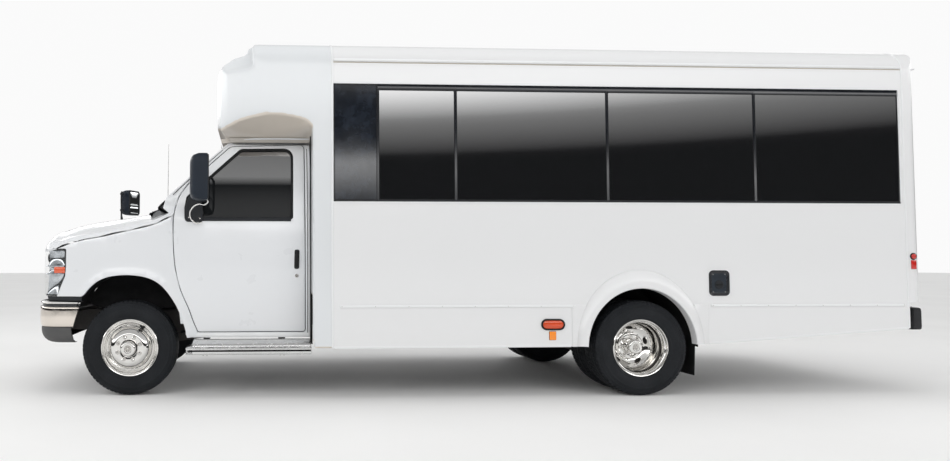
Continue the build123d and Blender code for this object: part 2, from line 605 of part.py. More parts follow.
side_parts = {}
for name, side, panes in (("body_side_left", -1, PANES_LEFT), ("body_side_right", 1, PANES_RIGHT)):
    a, b = sorted((side * (BODY_Y - WALL), side * BODY_Y))
    c, d = sorted((side * (BODY_Y - 10), side * (BODY_Y + 10)))
    with BuildPart() as wall:
        slab_y(SIDE, a, b)
        # wheel opening, covered by the flare
        rod_y(WHEELBASE - 8, 380, 496, a - 5, b + 5, mode=Mode.SUBTRACT)
        block(WHEELBASE - 8 - 496, WHEELBASE - 8 + 496, a - 5, b + 5, 300, 381, mode=Mode.SUBTRACT)
        # rebate for the glass, and one opening behind each pane
        slab_y([(panes[0][0], BAND_Z0), (BAND_X1, BAND_Z0), (BAND_X1, BAND_Z1), (panes[0][0], BAND_Z1)], c, d,
               mode=Mode.SUBTRACT)
        for x0, x1 in panes:
            if x1 - x0 > 400:
                block(x0 + 40, x1 - 40, a - 5, b + 5, BAND_Z0 + 45, BAND_Z1 - 45, mode=Mode.SUBTRACT)
        if side > 0:
            block(DOORWAY_X0, DOORWAY_X1, a - 5, b + 5, 300, DOORWAY_Z1, mode=Mode.SUBTRACT)
    side_parts[name] = wall

with BuildPart() as side_windows:
    for side, panes in ((-1, PANES_LEFT), (1, PANES_RIGHT)):
        a, b = sorted((side * (BODY_Y - 9.5), side * (BODY_Y - 1.5)))
        for x0, x1 in panes:
            block(x0 + 1, x1 - 1, a, b, BAND_Z0 + 2, BAND_Z1 - 2)

with BuildPart() as body_roof:
    coach_section(SEAM_X + 0.5, REAR_X0 - 0.5, 0, EAVE_JOINT + 0.5)
    coach_section(SEAM_X - 10, REAR_X0 + 10, WALL, EAVE_JOINT - 10, mode=Mode.SUBTRACT)

# floor with wheel housings and, on the door side, a stepwell
HOUSE_X0, HOUSE_X1, HOUSE_Y, HOUSE_Z = 3500.0, 4520.0, 690.0, 905.0
with BuildPart() as body_floor:
    block(BODY_X0 + 50, REAR_X0 - 1, -(BODY_Y - WALL - 1), BODY_Y - WALL - 1, FLOOR_Z - FLOOR_T, FLOOR_Z)
    for side in (-1, 1):
        a, b = sorted((side * HOUSE_Y, side * (BODY_Y - WALL - 1)))
        block(HOUSE_X0, HOUSE_X1, a, b, FLOOR_Z - FLOOR_T, HOUSE_Z)
        a, b = sorted((side * (HOUSE_Y + 16), side * BODY_Y))
        block(HOUSE_X0 + 16, HOUSE_X1 - 16, a, b, 600, HOUSE_Z - 16, mode=Mode.SUBTRACT)
    block(DOORWAY_X0 + 10, DOORWAY_X1 - 10, 660, BODY_Y, 300, 1000, mode=Mode.SUBTRACT)
    slab_x([(652, FLOOR_Z), (652, 590), (905, 590), (905, 400), (BODY_Y - WALL - 1, 400), (BODY_Y - WALL - 1, 415),
            (920, 415), (920, 605), (667, 605), (667, FLOOR_Z)], DOORWAY_X0 + 10, DOORWAY_X1 - 10)
    for x in (DOORWAY_X0 - 5, DOORWAY_X1 - 10):
        slab_x([(652, FLOOR_Z), (652, 590), (905, 590), (905, 400), (BODY_Y - WALL - 1, 400),
                (BODY_Y - WALL - 1, FLOOR_Z)], x, x + 15)

REAR_DOOR = (-440.0, 440.0, 790.0, 2330.0)
with BuildPart() as rear_wall:
    coach_section(REAR_X0, REAR_X, 0, 725)
    block(REAR_X0 - 300, REAR_X, -BODY_Y, BODY_Y, 600, 3000, mode=Mode.INTERSECT, r=85)
    with BuildPart(mode=Mode.PRIVATE) as rear_void:
        coach_section(REAR_X0 - 10, REAR_X - 50, WALL, 700)
        block(REAR_X0 - 300, REAR_X - 50, -(BODY_Y - WALL), BODY_Y - WALL, 600, 3000, mode=Mode.INTERSECT, r=41)
    add(rear_void.part, mode=Mode.SUBTRACT)
    block(REAR_X - 80, REAR_X + 10, REAR_DOOR[0] - 6, REAR_DOOR[1] + 6, REAR_DOOR[2] - 6, REAR_DOOR[3] + 6,
          mode=Mode.SUBTRACT)

# number plate holes, four at 7 by 4.75 in
PLATE_Y, PLATE_Z = -760.0, 930.0
with BuildPart() as rear_panel:
    add(rear_wall.part)
    with BuildSketch(Plane.YZ.offset(REAR_X - 30 + SHIFT)) as plate_holes:
        with Locations((PLATE_Y, PLATE_Z)):
            with GridLocations(177.8, 120.65, 2, 2):
                Circle(3.0)
    extrude(plate_holes.sketch, amount=40, mode=Mode.SUBTRACT)

with BuildPart() as rear_door:
    block(REAR_X - 50, REAR_X, REAR_DOOR[0], REAR_DOOR[1], REAR_DOOR[2], REAR_DOOR[3])
    block(REAR_X - 60, REAR_X + 10, -330, 330, 1560, 2230, mode=Mode.SUBTRACT)
with BuildPart() as rear_door_glass:
    block(REAR_X - 14, REAR_X - 6, -329, 329, 1561, 2229)

# entry door: two leaves hinged on the outer jambs
MID = (DOORWAY_X0 + DOORWAY_X1) / 2
LEAF_T = 34.0
LEAF_Y1 = BODY_Y - 2
entry = {}
for name, x0, x1 in (("entry_door_front", DOORWAY_X0 + 6, MID - 3), ("entry_door_rear", MID + 3, DOORWAY_X1 - 6)):
    with BuildPart() as leaf:
        block(x0, x1, LEAF_Y1 - LEAF_T, LEAF_Y1, DOORWAY_Z0 + 8, DOORWAY_Z1 - 6)
        block(x0 + 55, x1 - 55, LEAF_Y1 - 60, LEAF_Y1 + 10, 1240, DOORWAY_Z1 - 80, mode=Mode.SUBTRACT)
        block(x0 + 55, x1 - 55, LEAF_Y1 - 60, LEAF_Y1 + 10, 560, 1140, mode=Mode.SUBTRACT)
    with BuildPart() as pane:
        block(x0 + 56, x1 - 56, LEAF_Y1 - 14, LEAF_Y1 - 8, 1241, DOORWAY_Z1 - 81)
        block(x0 + 56, x1 - 56, LEAF_Y1 - 14, LEAF_Y1 - 8, 561, 1139)
    entry[name] = leaf
    entry[name + "_glass"] = pane

# ================================================================ outside fittings
FLARE_X = WHEELBASE - 7
with BuildPart() as wheel_flares:
    for side in (-1, 1):
        a, b = sorted((side * (BODY_Y + 0.5), side * 1262))
        with BuildSketch(Plane.XZ.offset(-a)) as face:
            with BuildLine():
                Line((FLARE_X + SHIFT - 548, 386), (FLARE_X + SHIFT - 548, 640))
                ThreePointArc((FLARE_X + SHIFT - 548, 640), (FLARE_X + SHIFT - 385, 900), (FLARE_X + SHIFT, 986))
                ThreePointArc((FLARE_X + SHIFT, 986), (FLARE_X + SHIFT + 385, 900), (FLARE_X + SHIFT + 548, 640))
                Line((FLARE_X + SHIFT + 548, 640), (FLARE_X + SHIFT + 548, 402))
                Line((FLARE_X + SHIFT + 548, 402), (FLARE_X + SHIFT - 548, 386))
            make_face()
            with Locations((FLARE_X + SHIFT, 378)):
                Ellipse(434, 462, mode=Mode.SUBTRACT)
            with Locations((FLARE_X + SHIFT, 330)):
                Rectangle(868, 100, mode=Mode.SUBTRACT)
        extrude(face.sketch, amount=-(b - a))
        a, b = sorted((side * (BODY_Y - 34), side * (BODY_Y + 1)))
        with BuildSketch(Plane.XZ.offset(-a)) as face:
            with Locations((FLARE_X + SHIFT, 378)):
                Ellipse(446, 474)
                Ellipse(434, 462, mode=Mode.SUBTRACT)
            with Locations((FLARE_X + SHIFT, 130)):
                Rectangle(1000, 520, mode=Mode.SUBTRACT)
        extrude(face.sketch, amount=-(b - a))

with BuildPart() as mud_flaps:
    for side in (-1, 1):
        a, b = sorted((side * 730, side * 1168))
        slab_y([(4458, 150), (4464, 150), (4484, 620), (4478, 620)], a, b)

with BuildPart() as running_boards:
    for side in (-1, 1):
        a, b = sorted((side * 985, side * 1165))
        block(455, 1424, a, b, 335, 395, r=20)
        for x in (600, 1200):
            p, q = sorted((side * 436, side * 990))
            block(x, x + 40, p, q, 380, 400)
            p, q = sorted((side * 436, side * 452))
            block(x, x + 40, p, q, 380, 540)

mirrors = {}
for name, side, x, z0, z1, w, y_in in (("mirror_left", -1, 480, 1515, 1872, 150, 1010),
                                       ("mirror_right", 1, -478, 1552, 1822, 170, 960)):
    with BuildPart() as m:
        c, d = sorted((side * 1120, side * 1360))
        block(x, x + w, c, d, z0, z1, r=45)
        if side < 0:
            p, q = sorted((side * 1010, side * 1130))
            block(x + 40, x + 70, p, q, 1540, 1565)
            block(x + 40, x + 70, p, q, 1790, 1815)
            slab_y([(440, 1430), (620, 1430), (620, 1560), (560, 1830), (500, 1830), (440, 1560)], -1014, -1000)
            block(x + 30, x + 80, -1012, -985, 1440, 1820)
        else:
            rod_z(x + 20, side * 1105, 14, 1330, 1800)
            block(x + 6, x + 40, side * 1092, side * 1135, 1600, 1625)
            block(x + 6, x + 40, side * 1092, side * 1135, 1740, 1765)
            block(x + 6, x + 34, side * 900, side * 1119, 1322, 1346)
            slab_x([(878, 1296), (932, 1266), (932, 1286), (906, 1346), (878, 1346)], x - 16, x + 56)
    mirrors[name] = m

with BuildPart() as lamps:
    for side in (-1, 1):
        a, b = sorted((side * (BODY_Y + 0.5), side * (BODY_Y + 14)))
        block(3212, 3400, a, b, 524, 604, r=4)                 # side turn lamps
        a, b = sorted((side * 1050, side * 1150))
        for z in (900, 1010, 1120):                            # tail lamps
            rod_x((a + b) / 2, z, 48, REAR_X + 0.5, REAR_X + 20)
    for y in LAMP_YS:
        block(914, 960, y - 50, y + 50, 2690, 2738)

# ================================================================ output
nodes = {
    "chassis_frame": chassis_frame, "engine_block": engine_block, "fuel_tank": fuel_tank, "exhaust_pipe": exhaust_pipe,
    "front_axle": front_axle, "rear_axle": rear_axle, "front_bumper": front_bumper, "front_valance": front_valance,
    "rear_bumper": rear_bumper, "front_fenders": front_fenders, "hood": hood, "grille": grille, "headlights": headlights,
    "cab_shell": cab_shell, "windshield": windshield, "dashboard": dashboard, "steering_wheel": steering_wheel,
    "cab_seats": cab_seats, "passenger_seats": passenger_seats, "front_cap": front_cap_shell, "side_windows": side_windows,
    "body_roof": body_roof, "body_floor": body_floor, "rear_wall": rear_panel, "rear_door": rear_door,
    "rear_door_glass": rear_door_glass, "wheel_flares": wheel_flares, "mud_flaps": mud_flaps,
    "running_boards": running_boards, "lamps": lamps,
    **for_knuckle, **rims, **door_nodes, **side_parts, **entry, **mirrors,
}
os.makedirs("parts", exist_ok=True)
for label, piece in nodes.items():
    piece.part.label = label
    export_step(piece.part, "parts/" + label + ".step")
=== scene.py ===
import bpy, bmesh, math
import numpy as np
from mathutils import Vector, Matrix, geometry


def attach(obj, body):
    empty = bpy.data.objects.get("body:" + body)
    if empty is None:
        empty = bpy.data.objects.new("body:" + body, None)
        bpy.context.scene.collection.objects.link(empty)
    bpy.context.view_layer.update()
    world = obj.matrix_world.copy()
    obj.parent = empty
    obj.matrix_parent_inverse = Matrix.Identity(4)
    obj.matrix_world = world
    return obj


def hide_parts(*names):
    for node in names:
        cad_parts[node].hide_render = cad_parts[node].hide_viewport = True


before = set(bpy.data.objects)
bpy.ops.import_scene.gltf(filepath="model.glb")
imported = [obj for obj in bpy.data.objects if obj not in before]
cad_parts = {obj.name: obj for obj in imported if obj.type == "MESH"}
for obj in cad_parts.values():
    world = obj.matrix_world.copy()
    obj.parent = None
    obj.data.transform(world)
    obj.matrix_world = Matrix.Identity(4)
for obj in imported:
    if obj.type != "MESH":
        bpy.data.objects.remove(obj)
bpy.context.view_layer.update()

# Lengths below are millimetres; x is measured from the front axle, as in the CAD source.
SHIFT = -(-785.0 + 6440.0) / 2
scene = bpy.context.scene


def P(x, y, z):
    return ((x + SHIFT) / 1000.0, y / 1000.0, z / 1000.0)


# ------------------------------------------------------------------ materials
def nodes_of(mat):
    nt = mat.node_tree
    return nt, nt.nodes, nt.links


def new_mat(name, color, rough=0.5, metal=0.0, coat=0.0, coat_rough=0.05, ior=1.5, alpha=1.0,
            var=0.04, var_scale=3.0, rough_var=0.05, rough_scale=6.0, bump=0.0, bump_scale=400.0,
            bump_dist=0.001, dust=0.0, dust_z=0.9, dust_color=(0.42, 0.37, 0.3), edge=0.0, trans=0.0,
            fine=0.0, fine_scale=60.0, sheen=0.0, spec=None, coat_ior=1.5):
    """Principled material in object space: tone drift, roughness drift, fine bump, dust that fades upwards."""
    mat = bpy.data.materials.new(name)
    mat.use_nodes = True
    nt, N, L = nodes_of(mat)
    bsdf = N["Principled BSDF"]
    bsdf.inputs["Metallic"].default_value = metal
    bsdf.inputs["IOR"].default_value = ior
    bsdf.inputs["Coat Weight"].default_value = coat
    bsdf.inputs["Coat Roughness"].default_value = coat_rough
    bsdf.inputs["Transmission Weight"].default_value = trans
    bsdf.inputs["Sheen Weight"].default_value = sheen
    bsdf.inputs["Coat IOR"].default_value = coat_ior
    if spec is not None:
        bsdf.inputs["Specular IOR Level"].default_value = spec
    tc = N.new("ShaderNodeTexCoord")
    n1 = N.new("ShaderNodeTexNoise")
    n1.inputs["Scale"].default_value = var_scale
    n1.inputs["Detail"].default_value = 4.0
    L.new(tc.outputs["Object"], n1.inputs["Vector"])
    ramp = N.new("ShaderNodeMapRange")
    ramp.inputs["From Min"].default_value = 0.3
    ramp.inputs["From Max"].default_value = 0.7
    ramp.inputs["To Min"].default_value = 1.0 - var
    ramp.inputs["To Max"].default_value = 1.0 + var
    L.new(n1.outputs["Fac"], ramp.inputs["Value"])
    mul = N.new("ShaderNodeVectorMath"); mul.operation = "SCALE"
    mul.inputs[0].default_value = color
    L.new(ramp.outputs["Result"], mul.inputs["Scale"])
    out = mul.outputs["Vector"]
    if fine > 0:
        n3 = N.new("ShaderNodeTexNoise")
        n3.inputs["Scale"].default_value = fine_scale
        n3.inputs["Detail"].default_value = 6.0
        L.new(tc.outputs["Object"], n3.inputs["Vector"])
        r3 = N.new("ShaderNodeMapRange")
        r3.inputs["From Min"].default_value = 0.35
        r3.inputs["From Max"].default_value = 0.65
        r3.inputs["To Min"].default_value = 1.0 - fine
        r3.inputs["To Max"].default_value = 1.0 + fine
        L.new(n3.outputs["Fac"], r3.inputs["Value"])
        m3 = N.new("ShaderNodeVectorMath"); m3.operation = "SCALE"
        L.new(out, m3.inputs[0]); L.new(r3.outputs["Result"], m3.inputs["Scale"])
        out = m3.outputs["Vector"]
    if dust > 0:
        sep = N.new("ShaderNodeSeparateXYZ")
        L.new(tc.outputs["Object"], sep.inputs["Vector"])
        h = N.new("ShaderNodeMapRange")
        h.inputs["From Min"].default_value = 0.0
        h.inputs["From Max"].default_value = dust_z
        h.inputs["To Min"].default_value = dust
        h.inputs["To Max"].default_value = 0.0
        L.new(sep.outputs["Z"], h.inputs["Value"])
        n2 = N.new("ShaderNodeTexNoise")
        n2.inputs["Scale"].default_value = 9.0
        n2.inputs["Detail"].default_value = 8.0
        n2.inputs["Roughness"].default_value = 0.65
        L.new(tc.outputs["Object"], n2.inputs["Vector"])
        mm = N.new("ShaderNodeMath"); mm.operation = "MULTIPLY"
        L.new(h.outputs["Result"], mm.inputs[0]); L.new(n2.outputs["Fac"], mm.inputs[1])
        mix = N.new("ShaderNodeMix"); mix.data_type = "RGBA"
        L.new(mm.outputs["Value"], mix.inputs["Factor"])
        L.new(out, mix.inputs["A"])
        mix.inputs["B"].default_value = (*dust_color, 1)
        out = mix.outputs["Result"]
    L.new(out, bsdf.inputs["Base Color"])
    n4 = N.new("ShaderNodeTexNoise")
    n4.inputs["Scale"].default_value = rough_scale
    n4.inputs["Detail"].default_value = 5.0
    L.new(tc.outputs["Object"], n4.inputs["Vector"])
    r4 = N.new("ShaderNodeMapRange")
    r4.inputs["From Min"].default_value = 0.3
    r4.inputs["From Max"].default_value = 0.7
    r4.inputs["To Min"].default_value = max(0.0, rough - rough_var)
    r4.inputs["To Max"].default_value = min(1.0, rough + rough_var)
    L.new(n4.outputs["Fac"], r4.inputs["Value"])
    L.new(r4.outputs["Result"], bsdf.inputs["Roughness"])
    if bump > 0:
        n5 = N.new("ShaderNodeTexNoise")
        n5.inputs["Scale"].default_value = bump_scale
        n5.inputs["Detail"].default_value = 3.0
        L.new(tc.outputs["Object"], n5.inputs["Vector"])
        b = N.new("ShaderNodeBump")
        b.inputs["Strength"].default_value = bump
        b.inputs["Distance"].default_value = bump_dist
        L.new(n5.outputs["Fac"], b.inputs["Height"])
        L.new(b.outputs["Normal"], bsdf.inputs["Normal"])
    if alpha < 1.0:
        bsdf.inputs["Alpha"].default_value = alpha
    return mat


M = {}
M["cab_paint"] = new_mat("cab_paint", (0.75, 0.765, 0.785), rough=0.28, coat=0.7, coat_rough=0.04, var=0.006, rough_var=0.008, var_scale=0.5,
                         bump=0.006, bump_scale=80, bump_dist=0.0004, dust=0.10, dust_z=0.8)
M["body_paint"] = new_mat("body_paint", (0.755, 0.76, 0.768), rough=0.3, coat=0.55, coat_rough=0.06, var=0.006, rough_var=0.008, var_scale=0.5,
                          bump=0.006, bump_scale=60, bump_dist=0.0005, dust=0.10, dust_z=0.85)
# soffit: beige colour is painted bounce light from the ground on the downward-facing strips under the cap
M["soffit"] = new_mat("soffit_painted_bounce_light", (0.58, 0.54, 0.49), rough=0.5, var=0.05, var_scale=4.0, bump=0.1, bump_scale=90)
M["frame_black"] = new_mat("frame_black", (0.03, 0.03, 0.032), rough=0.6, var=0.25, var_scale=5, bump=0.2, bump_scale=150,
                           dust=0.9, dust_z=1.1, dust_color=(0.13, 0.115, 0.1), fine=0.15, spec=0.25)
M["engine_iron"] = new_mat("engine_iron", (0.11, 0.11, 0.115), rough=0.7, metal=0.4, var=0.2, bump=0.4, bump_scale=90,
                           dust=0.5, dust_z=1.4, dust_color=(0.12, 0.1, 0.085))
M["tank_black"] = new_mat("tank_black", (0.035, 0.035, 0.037), rough=0.55, var=0.15, bump=0.15, bump_scale=200, dust=0.7,
                          dust_z=0.9, dust_color=(0.15, 0.13, 0.11), spec=0.3)
M["exhaust"] = new_mat("exhaust_steel", (0.33, 0.30, 0.27), rough=0.45, metal=0.85, var=0.25, var_scale=6, fine=0.15,
                       bump=0.12, bump_scale=120)
M["tyre"] = new_mat("tyre_rubber", (0.011, 0.0125, 0.015), rough=0.62, var=0.15, var_scale=8, rough_var=0.12, fine=0.12,
                    fine_scale=90, bump=0.25, bump_scale=500, bump_dist=0.0006, dust=0.0, spec=0.22)
M["chrome"] = new_mat("chrome", (0.80, 0.79, 0.77), rough=0.07, metal=1.0, var=0.03, rough_var=0.04, rough_scale=14,
                      bump=0.02, bump_scale=60, bump_dist=0.0004)
M["chrome_dull"] = new_mat("chrome_dull", (0.62, 0.60, 0.57), rough=0.2, metal=1.0, var=0.08, rough_var=0.1, rough_scale=20,
                           bump=0.05, bump_scale=80)
# warm tint of the bumper-face chrome: painted reflection of the ground
M["chrome_painted_ground_reflection"] = new_mat("chrome_ground_reflection_tint", (0.78, 0.72, 0.655), rough=0.10, metal=1.0, var=0.05, var_scale=5, rough_var=0.05, rough_scale=14,
                           bump=0.02, bump_scale=60, bump_dist=0.0004)
M["lamp_chrome"] = new_mat("lamp_reflector", (0.52, 0.55, 0.58), rough=0.09, metal=1.0, var=0.25, var_scale=22, rough_var=0.06, rough_scale=30,
                           bump=0.12, bump_scale=70, bump_dist=0.002)
M["trim_black"] = new_mat("trim_black", (0.022, 0.024, 0.027), rough=0.5, var=0.1, rough_var=0.08, bump=0.35, bump_scale=900,
                          bump_dist=0.0004, fine=0.08, fine_scale=300, spec=0.22)
M["valance"] = new_mat("valance_grey", (0.075, 0.077, 0.08), rough=0.62, var=0.08, bump=0.35, bump_scale=700, bump_dist=0.0004,
                       dust=0.25, dust_z=0.7, spec=0.3)
M["seal"] = new_mat("rubber_seal", (0.012, 0.0125, 0.013), rough=0.55, var=0.1, bump=0.1, bump_scale=400, spec=0.2)
M["liner"] = new_mat("wheel_liner", (0.014, 0.0145, 0.016), rough=0.75, var=0.3, var_scale=9, bump=0.5, bump_scale=60,
                     bump_dist=0.002, dust=0.35, dust_z=1.0, dust_color=(0.10, 0.09, 0.08), spec=0.12)
M["tint"] = new_mat("tinted_glass", (0.006, 0.0065, 0.0075), rough=0.03, var=0.05, rough_var=0.01, ior=2.0, alpha=0.97, coat_ior=2.1,
                    coat=1.0, coat_rough=0.02)
M["tint_solid"] = new_mat("black_panel", (0.010, 0.0105, 0.0115), rough=0.06, var=0.2, var_scale=14, rough_var=0.03, ior=1.52,
                          coat=0.4, coat_rough=0.03)
M["glass"] = new_mat("clear_glass", (0.04, 0.045, 0.045), rough=0.02, var=0.03, rough_var=0.008, ior=1.52, alpha=0.42)
M["screen_glass"] = new_mat("windscreen_glass", (0.02, 0.023, 0.024), rough=0.02, var=0.03, rough_var=0.008, ior=1.52, alpha=0.5)
M["door_glass"] = new_mat("door_glass", (0.010, 0.011, 0.012), rough=0.025, var=0.03, rough_var=0.008, ior=1.35, alpha=0.985, coat=1.0, coat_ior=3.2, spec=0.1,
                          coat_rough=0.02)
M["mirror_glass"] = new_mat("mirror_glass", (0.82, 0.84, 0.86), rough=0.03, metal=1.0, var=0.01, rough_var=0.01)
M["mirror_black"] = new_mat("mirror_shell", (0.010, 0.016, 0.026), rough=0.42, var=0.1, rough_var=0.1, bump=0.45, bump_scale=700,
                            bump_dist=0.0005, fine=0.12, fine_scale=260, spec=0.3)
M["frame_gloss"] = new_mat("window_frame_black", (0.006, 0.0075, 0.011), rough=0.16, var=0.15, rough_var=0.05, coat=0.2, bump=0.04, bump_scale=200)
M["panel_black"] = new_mat("infill_panel_black", (0.012, 0.015, 0.021), rough=0.10, var=0.55, var_scale=7, rough_var=0.05, fine=0.25, fine_scale=26,
                           bump=0.06, bump_scale=9, bump_dist=0.004, coat=0.3)
M["recess_black"] = new_mat("filler_recess", (0.016, 0.022, 0.030), rough=0.35, var=0.3, var_scale=20, bump=0.1, bump_scale=60, spec=0.3)
M["bumper_black"] = new_mat("bumper_plastic", (0.018, 0.019, 0.021), rough=0.55, var=0.1, rough_var=0.08, bump=0.3, bump_scale=600,
                            bump_dist=0.0005, dust=0.3, dust_z=0.75, dust_color=(0.12, 0.11, 0.1), spec=0.25)
M["side_red"] = new_mat("marker_lens_orange_red", (0.62, 0.06, 0.008), rough=0.16, var=0.08, coat=0.6, bump=0.2, bump_scale=160)
M["lens_white"] = new_mat("reverse_lens", (0.72, 0.73, 0.74), rough=0.12, var=0.03, coat=0.6, bump=0.2, bump_scale=170)
# beige strip painted as the shadow line under the drip rail
M["drip_rail_shadow_beige"] = new_mat("painted_drip_rail_shadow", (0.42, 0.37, 0.30), rough=0.6, var=0.1)
M["fabric"] = new_mat("seat_fabric", (0.055, 0.062, 0.075), rough=0.92, var=0.1, var_scale=14, fine=0.3, fine_scale=420, bump=0.6, bump_scale=900,
                      bump_dist=0.0008, sheen=0.35)
M["piping"] = new_mat("seat_piping", (0.03, 0.033, 0.04), rough=0.7, var=0.1, bump=0.3, bump_scale=700)
M["dark"] = new_mat("dark_cavity", (0.006, 0.006, 0.007), rough=0.9, var=0.3, bump=0.2, bump_scale=80, spec=0.05)
M["dash"] = new_mat("dash_plastic", (0.10, 0.10, 0.105), rough=0.6, var=0.05, bump=0.4, bump_scale=600, bump_dist=0.0005)
M["floor"] = new_mat("floor_vinyl", (0.12, 0.12, 0.125), rough=0.6, var=0.08, fine=0.12, fine_scale=250, bump=0.25, bump_scale=300)
M["alloy"] = new_mat("tread_aluminium", (0.72, 0.72, 0.72), rough=0.22, metal=1.0, var=0.06, rough_var=0.08, rough_scale=25,
                     bump=0.08, bump_scale=90)
M["amber"] = new_mat("amber_lens", (0.76, 0.085, 0.006), rough=0.12, var=0.06, coat=0.6, bump=0.15, bump_scale=180)
M["orange"] = new_mat("orange_reflector", (0.95, 0.28, 0.02), rough=0.2, var=0.05, coat=0.5, bump=0.2, bump_scale=350)
M["red"] = new_mat("red_lens", (0.55, 0.02, 0.015), rough=0.12, var=0.06, coat=0.6, bump=0.15, bump_scale=180)
M["lens"] = new_mat("clear_lens", (0.6, 0.62, 0.63), rough=0.03, var=0.01, rough_var=0.01, alpha=0.08, coat=0.4)
M["plate"] = new_mat("plate_blank", (0.72, 0.72, 0.70), rough=0.4, var=0.03, bump=0.05, bump_scale=200)
M["trim_white"] = new_mat("trim_white", (0.78, 0.79, 0.80), rough=0.35, coat=0.4, var=0.006, rough_var=0.008, bump=0.006, bump_scale=200,
                          dust=0.10, dust_z=0.8)
M["headliner"] = new_mat("headliner", (0.45, 0.45, 0.44), rough=0.9, var=0.04, bump=0.3, bump_scale=350)

# cap gelcoat: base colour darker and bluer than the body paint, painted shade on the cap sides; beige painted bounce
# light where the arch over the door faces down
M["cap_skin"] = new_mat("cap_gelcoat_painted_shade_and_bounce", (0.70, 0.722, 0.74), rough=0.3, coat=0.55, coat_rough=0.06, var=0.006, rough_var=0.008, var_scale=0.5, bump=0.006,
                        bump_scale=60, bump_dist=0.0005)
nt, N, L = nodes_of(M["cap_skin"])
c_in = N["Principled BSDF"].inputs["Base Color"]
c_src = c_in.links[0].from_socket
geo = N.new("ShaderNodeNewGeometry")
s_n = N.new("ShaderNodeSeparateXYZ")
L.new(geo.outputs["Normal"], s_n.inputs["Vector"])
tco = N.new("ShaderNodeTexCoord")
s_o = N.new("ShaderNodeSeparateXYZ")
L.new(tco.outputs["Object"], s_o.inputs["Vector"])
down = N.new("ShaderNodeMapRange")
low = N.new("ShaderNodeMapRange")
for nd, a_, b_ in ((down, -0.10, -0.24), (low, 2.250, 2.238)):
    nd.inputs["From Min"].default_value = a_
    nd.inputs["From Max"].default_value = b_
L.new(s_n.outputs["Z"], down.inputs["Value"])
L.new(s_o.outputs["Z"], low.inputs["Value"])
both = N.new("ShaderNodeMath"); both.operation = "MULTIPLY"
L.new(down.outputs["Result"], both.inputs[0]); L.new(low.outputs["Result"], both.inputs[1])
# painted bounce light: beige mixed into the colour where the surface faces down below 2.24 m
bounce_light_mix = N.new("ShaderNodeMix"); bounce_light_mix.data_type = "RGBA"
L.new(both.outputs["Value"], bounce_light_mix.inputs["Factor"])
L.new(c_src, bounce_light_mix.inputs["A"])
bounce_light_mix.inputs["B"].default_value = (0.66, 0.60, 0.53, 1)
L.new(bounce_light_mix.outputs["Result"], c_in)

# door glass: coat weight rises with height from 1.665 m to 1.735 m, a painted reflection of the horizon, bright above
# and dark below
nt, N, L = nodes_of(M["door_glass"])
tcg, sg, mg = N.new("ShaderNodeTexCoord"), N.new("ShaderNodeSeparateXYZ"), N.new("ShaderNodeMapRange")
L.new(tcg.outputs["Object"], sg.inputs["Vector"])
L.new(sg.outputs["Z"], mg.inputs["Value"])
mg.inputs["From Min"].default_value = 1.665
mg.inputs["From Max"].default_value = 1.735
mg.inputs["To Min"].default_value = 0.01
mg.inputs["To Max"].default_value = 1.0
L.new(mg.outputs["Result"], N["Principled BSDF"].inputs["Coat Weight"])

CAD_MAT = {
    "chassis_frame": "frame_black", "front_axle": "frame_black", "rear_axle": "frame_black", "knuckle_left": "frame_black",
    "knuckle_right": "frame_black", "engine_block": "engine_iron", "fuel_tank": "tank_black", "exhaust_pipe": "exhaust",
    "front_tyre_left": "tyre", "front_tyre_right": "tyre", "rear_tyres_left": "tyre", "rear_tyres_right": "tyre",
    "front_rim_left": "chrome", "front_rim_right": "chrome", "rear_rims_left": "chrome", "rear_rims_right": "chrome",
    "front_bumper": "chrome", "grille": "chrome", "front_valance": "valance", "rear_bumper": "trim_black",
    "mirror_left": "trim_black", "mirror_right": "trim_black", "mud_flaps": "seal", "front_fenders": "cab_paint",
    "hood": "cab_paint", "cab_shell": "cab_paint", "driver_door": "cab_paint", "passenger_door": "cab_paint",
    "front_cap": "body_paint", "body_side_left": "body_paint", "body_side_right": "body_paint", "body_roof": "body_paint",
    "rear_wall": "body_paint", "rear_door": "body_paint", "wheel_flares": "body_paint", "entry_door_front": "trim_black",
    "entry_door_rear": "trim_black", "headlights": "lens", "lamps": "amber", "side_windows": "tint",
    "entry_door_front_glass": "tint", "entry_door_rear_glass": "tint", "rear_door_glass": "tint", "windshield": "glass",
    "driver_door_glass": "glass", "passenger_door_glass": "glass", "dashboard": "dash", "steering_wheel": "dash",
    "cab_seats": "dash", "passenger_seats": "dash", "body_floor": "floor", "running_boards": "alloy",
}
for node, key in CAD_MAT.items():
    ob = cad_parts[node]
    ob.data.materials.clear()
    ob.data.materials.append(M[key])

# ------------------------------------------------------------------ mesh tools
def pchip(xs, ys):
    """Shape-keeping cubic through the points; xs rising."""
    xs, ys = np.asarray(xs, float), np.asarray(ys, float)
    h, s = np.diff(xs), np.diff(ys) / np.diff(xs)
    d = np.zeros_like(xs)
    for i in range(1, len(xs) - 1):
        if s[i - 1] * s[i] > 0:
            w1, w2 = 2 * h[i] + h[i - 1], h[i] + 2 * h[i - 1]
            d[i] = (w1 + w2) / (w1 / s[i - 1] + w2 / s[i])
    d[0], d[-1] = s[0], s[-1]

    def f(x):
        x = np.clip(np.asarray(x, float), xs[0], xs[-1])
        i = np.clip(np.searchsorted(xs, x) - 1, 0, len(xs) - 2)
        t = (x - xs[i]) / h[i]
        return ((2 * t**3 - 3 * t**2 + 1) * ys[i] + (t**3 - 2 * t**2 + t) * h[i] * d[i]
                + (-2 * t**3 + 3 * t**2) * ys[i + 1] + (t**3 - t**2) * h[i] * d[i + 1])
    return f


def ccw(pts):
    pts = [tuple(p) for p in pts]
    a = sum(pts[i][0] * pts[(i + 1) % len(pts)][1] - pts[(i + 1) % len(pts)][0] * pts[i][1] for i in range(len(pts)))
    return pts if a > 0 else pts[::-1]


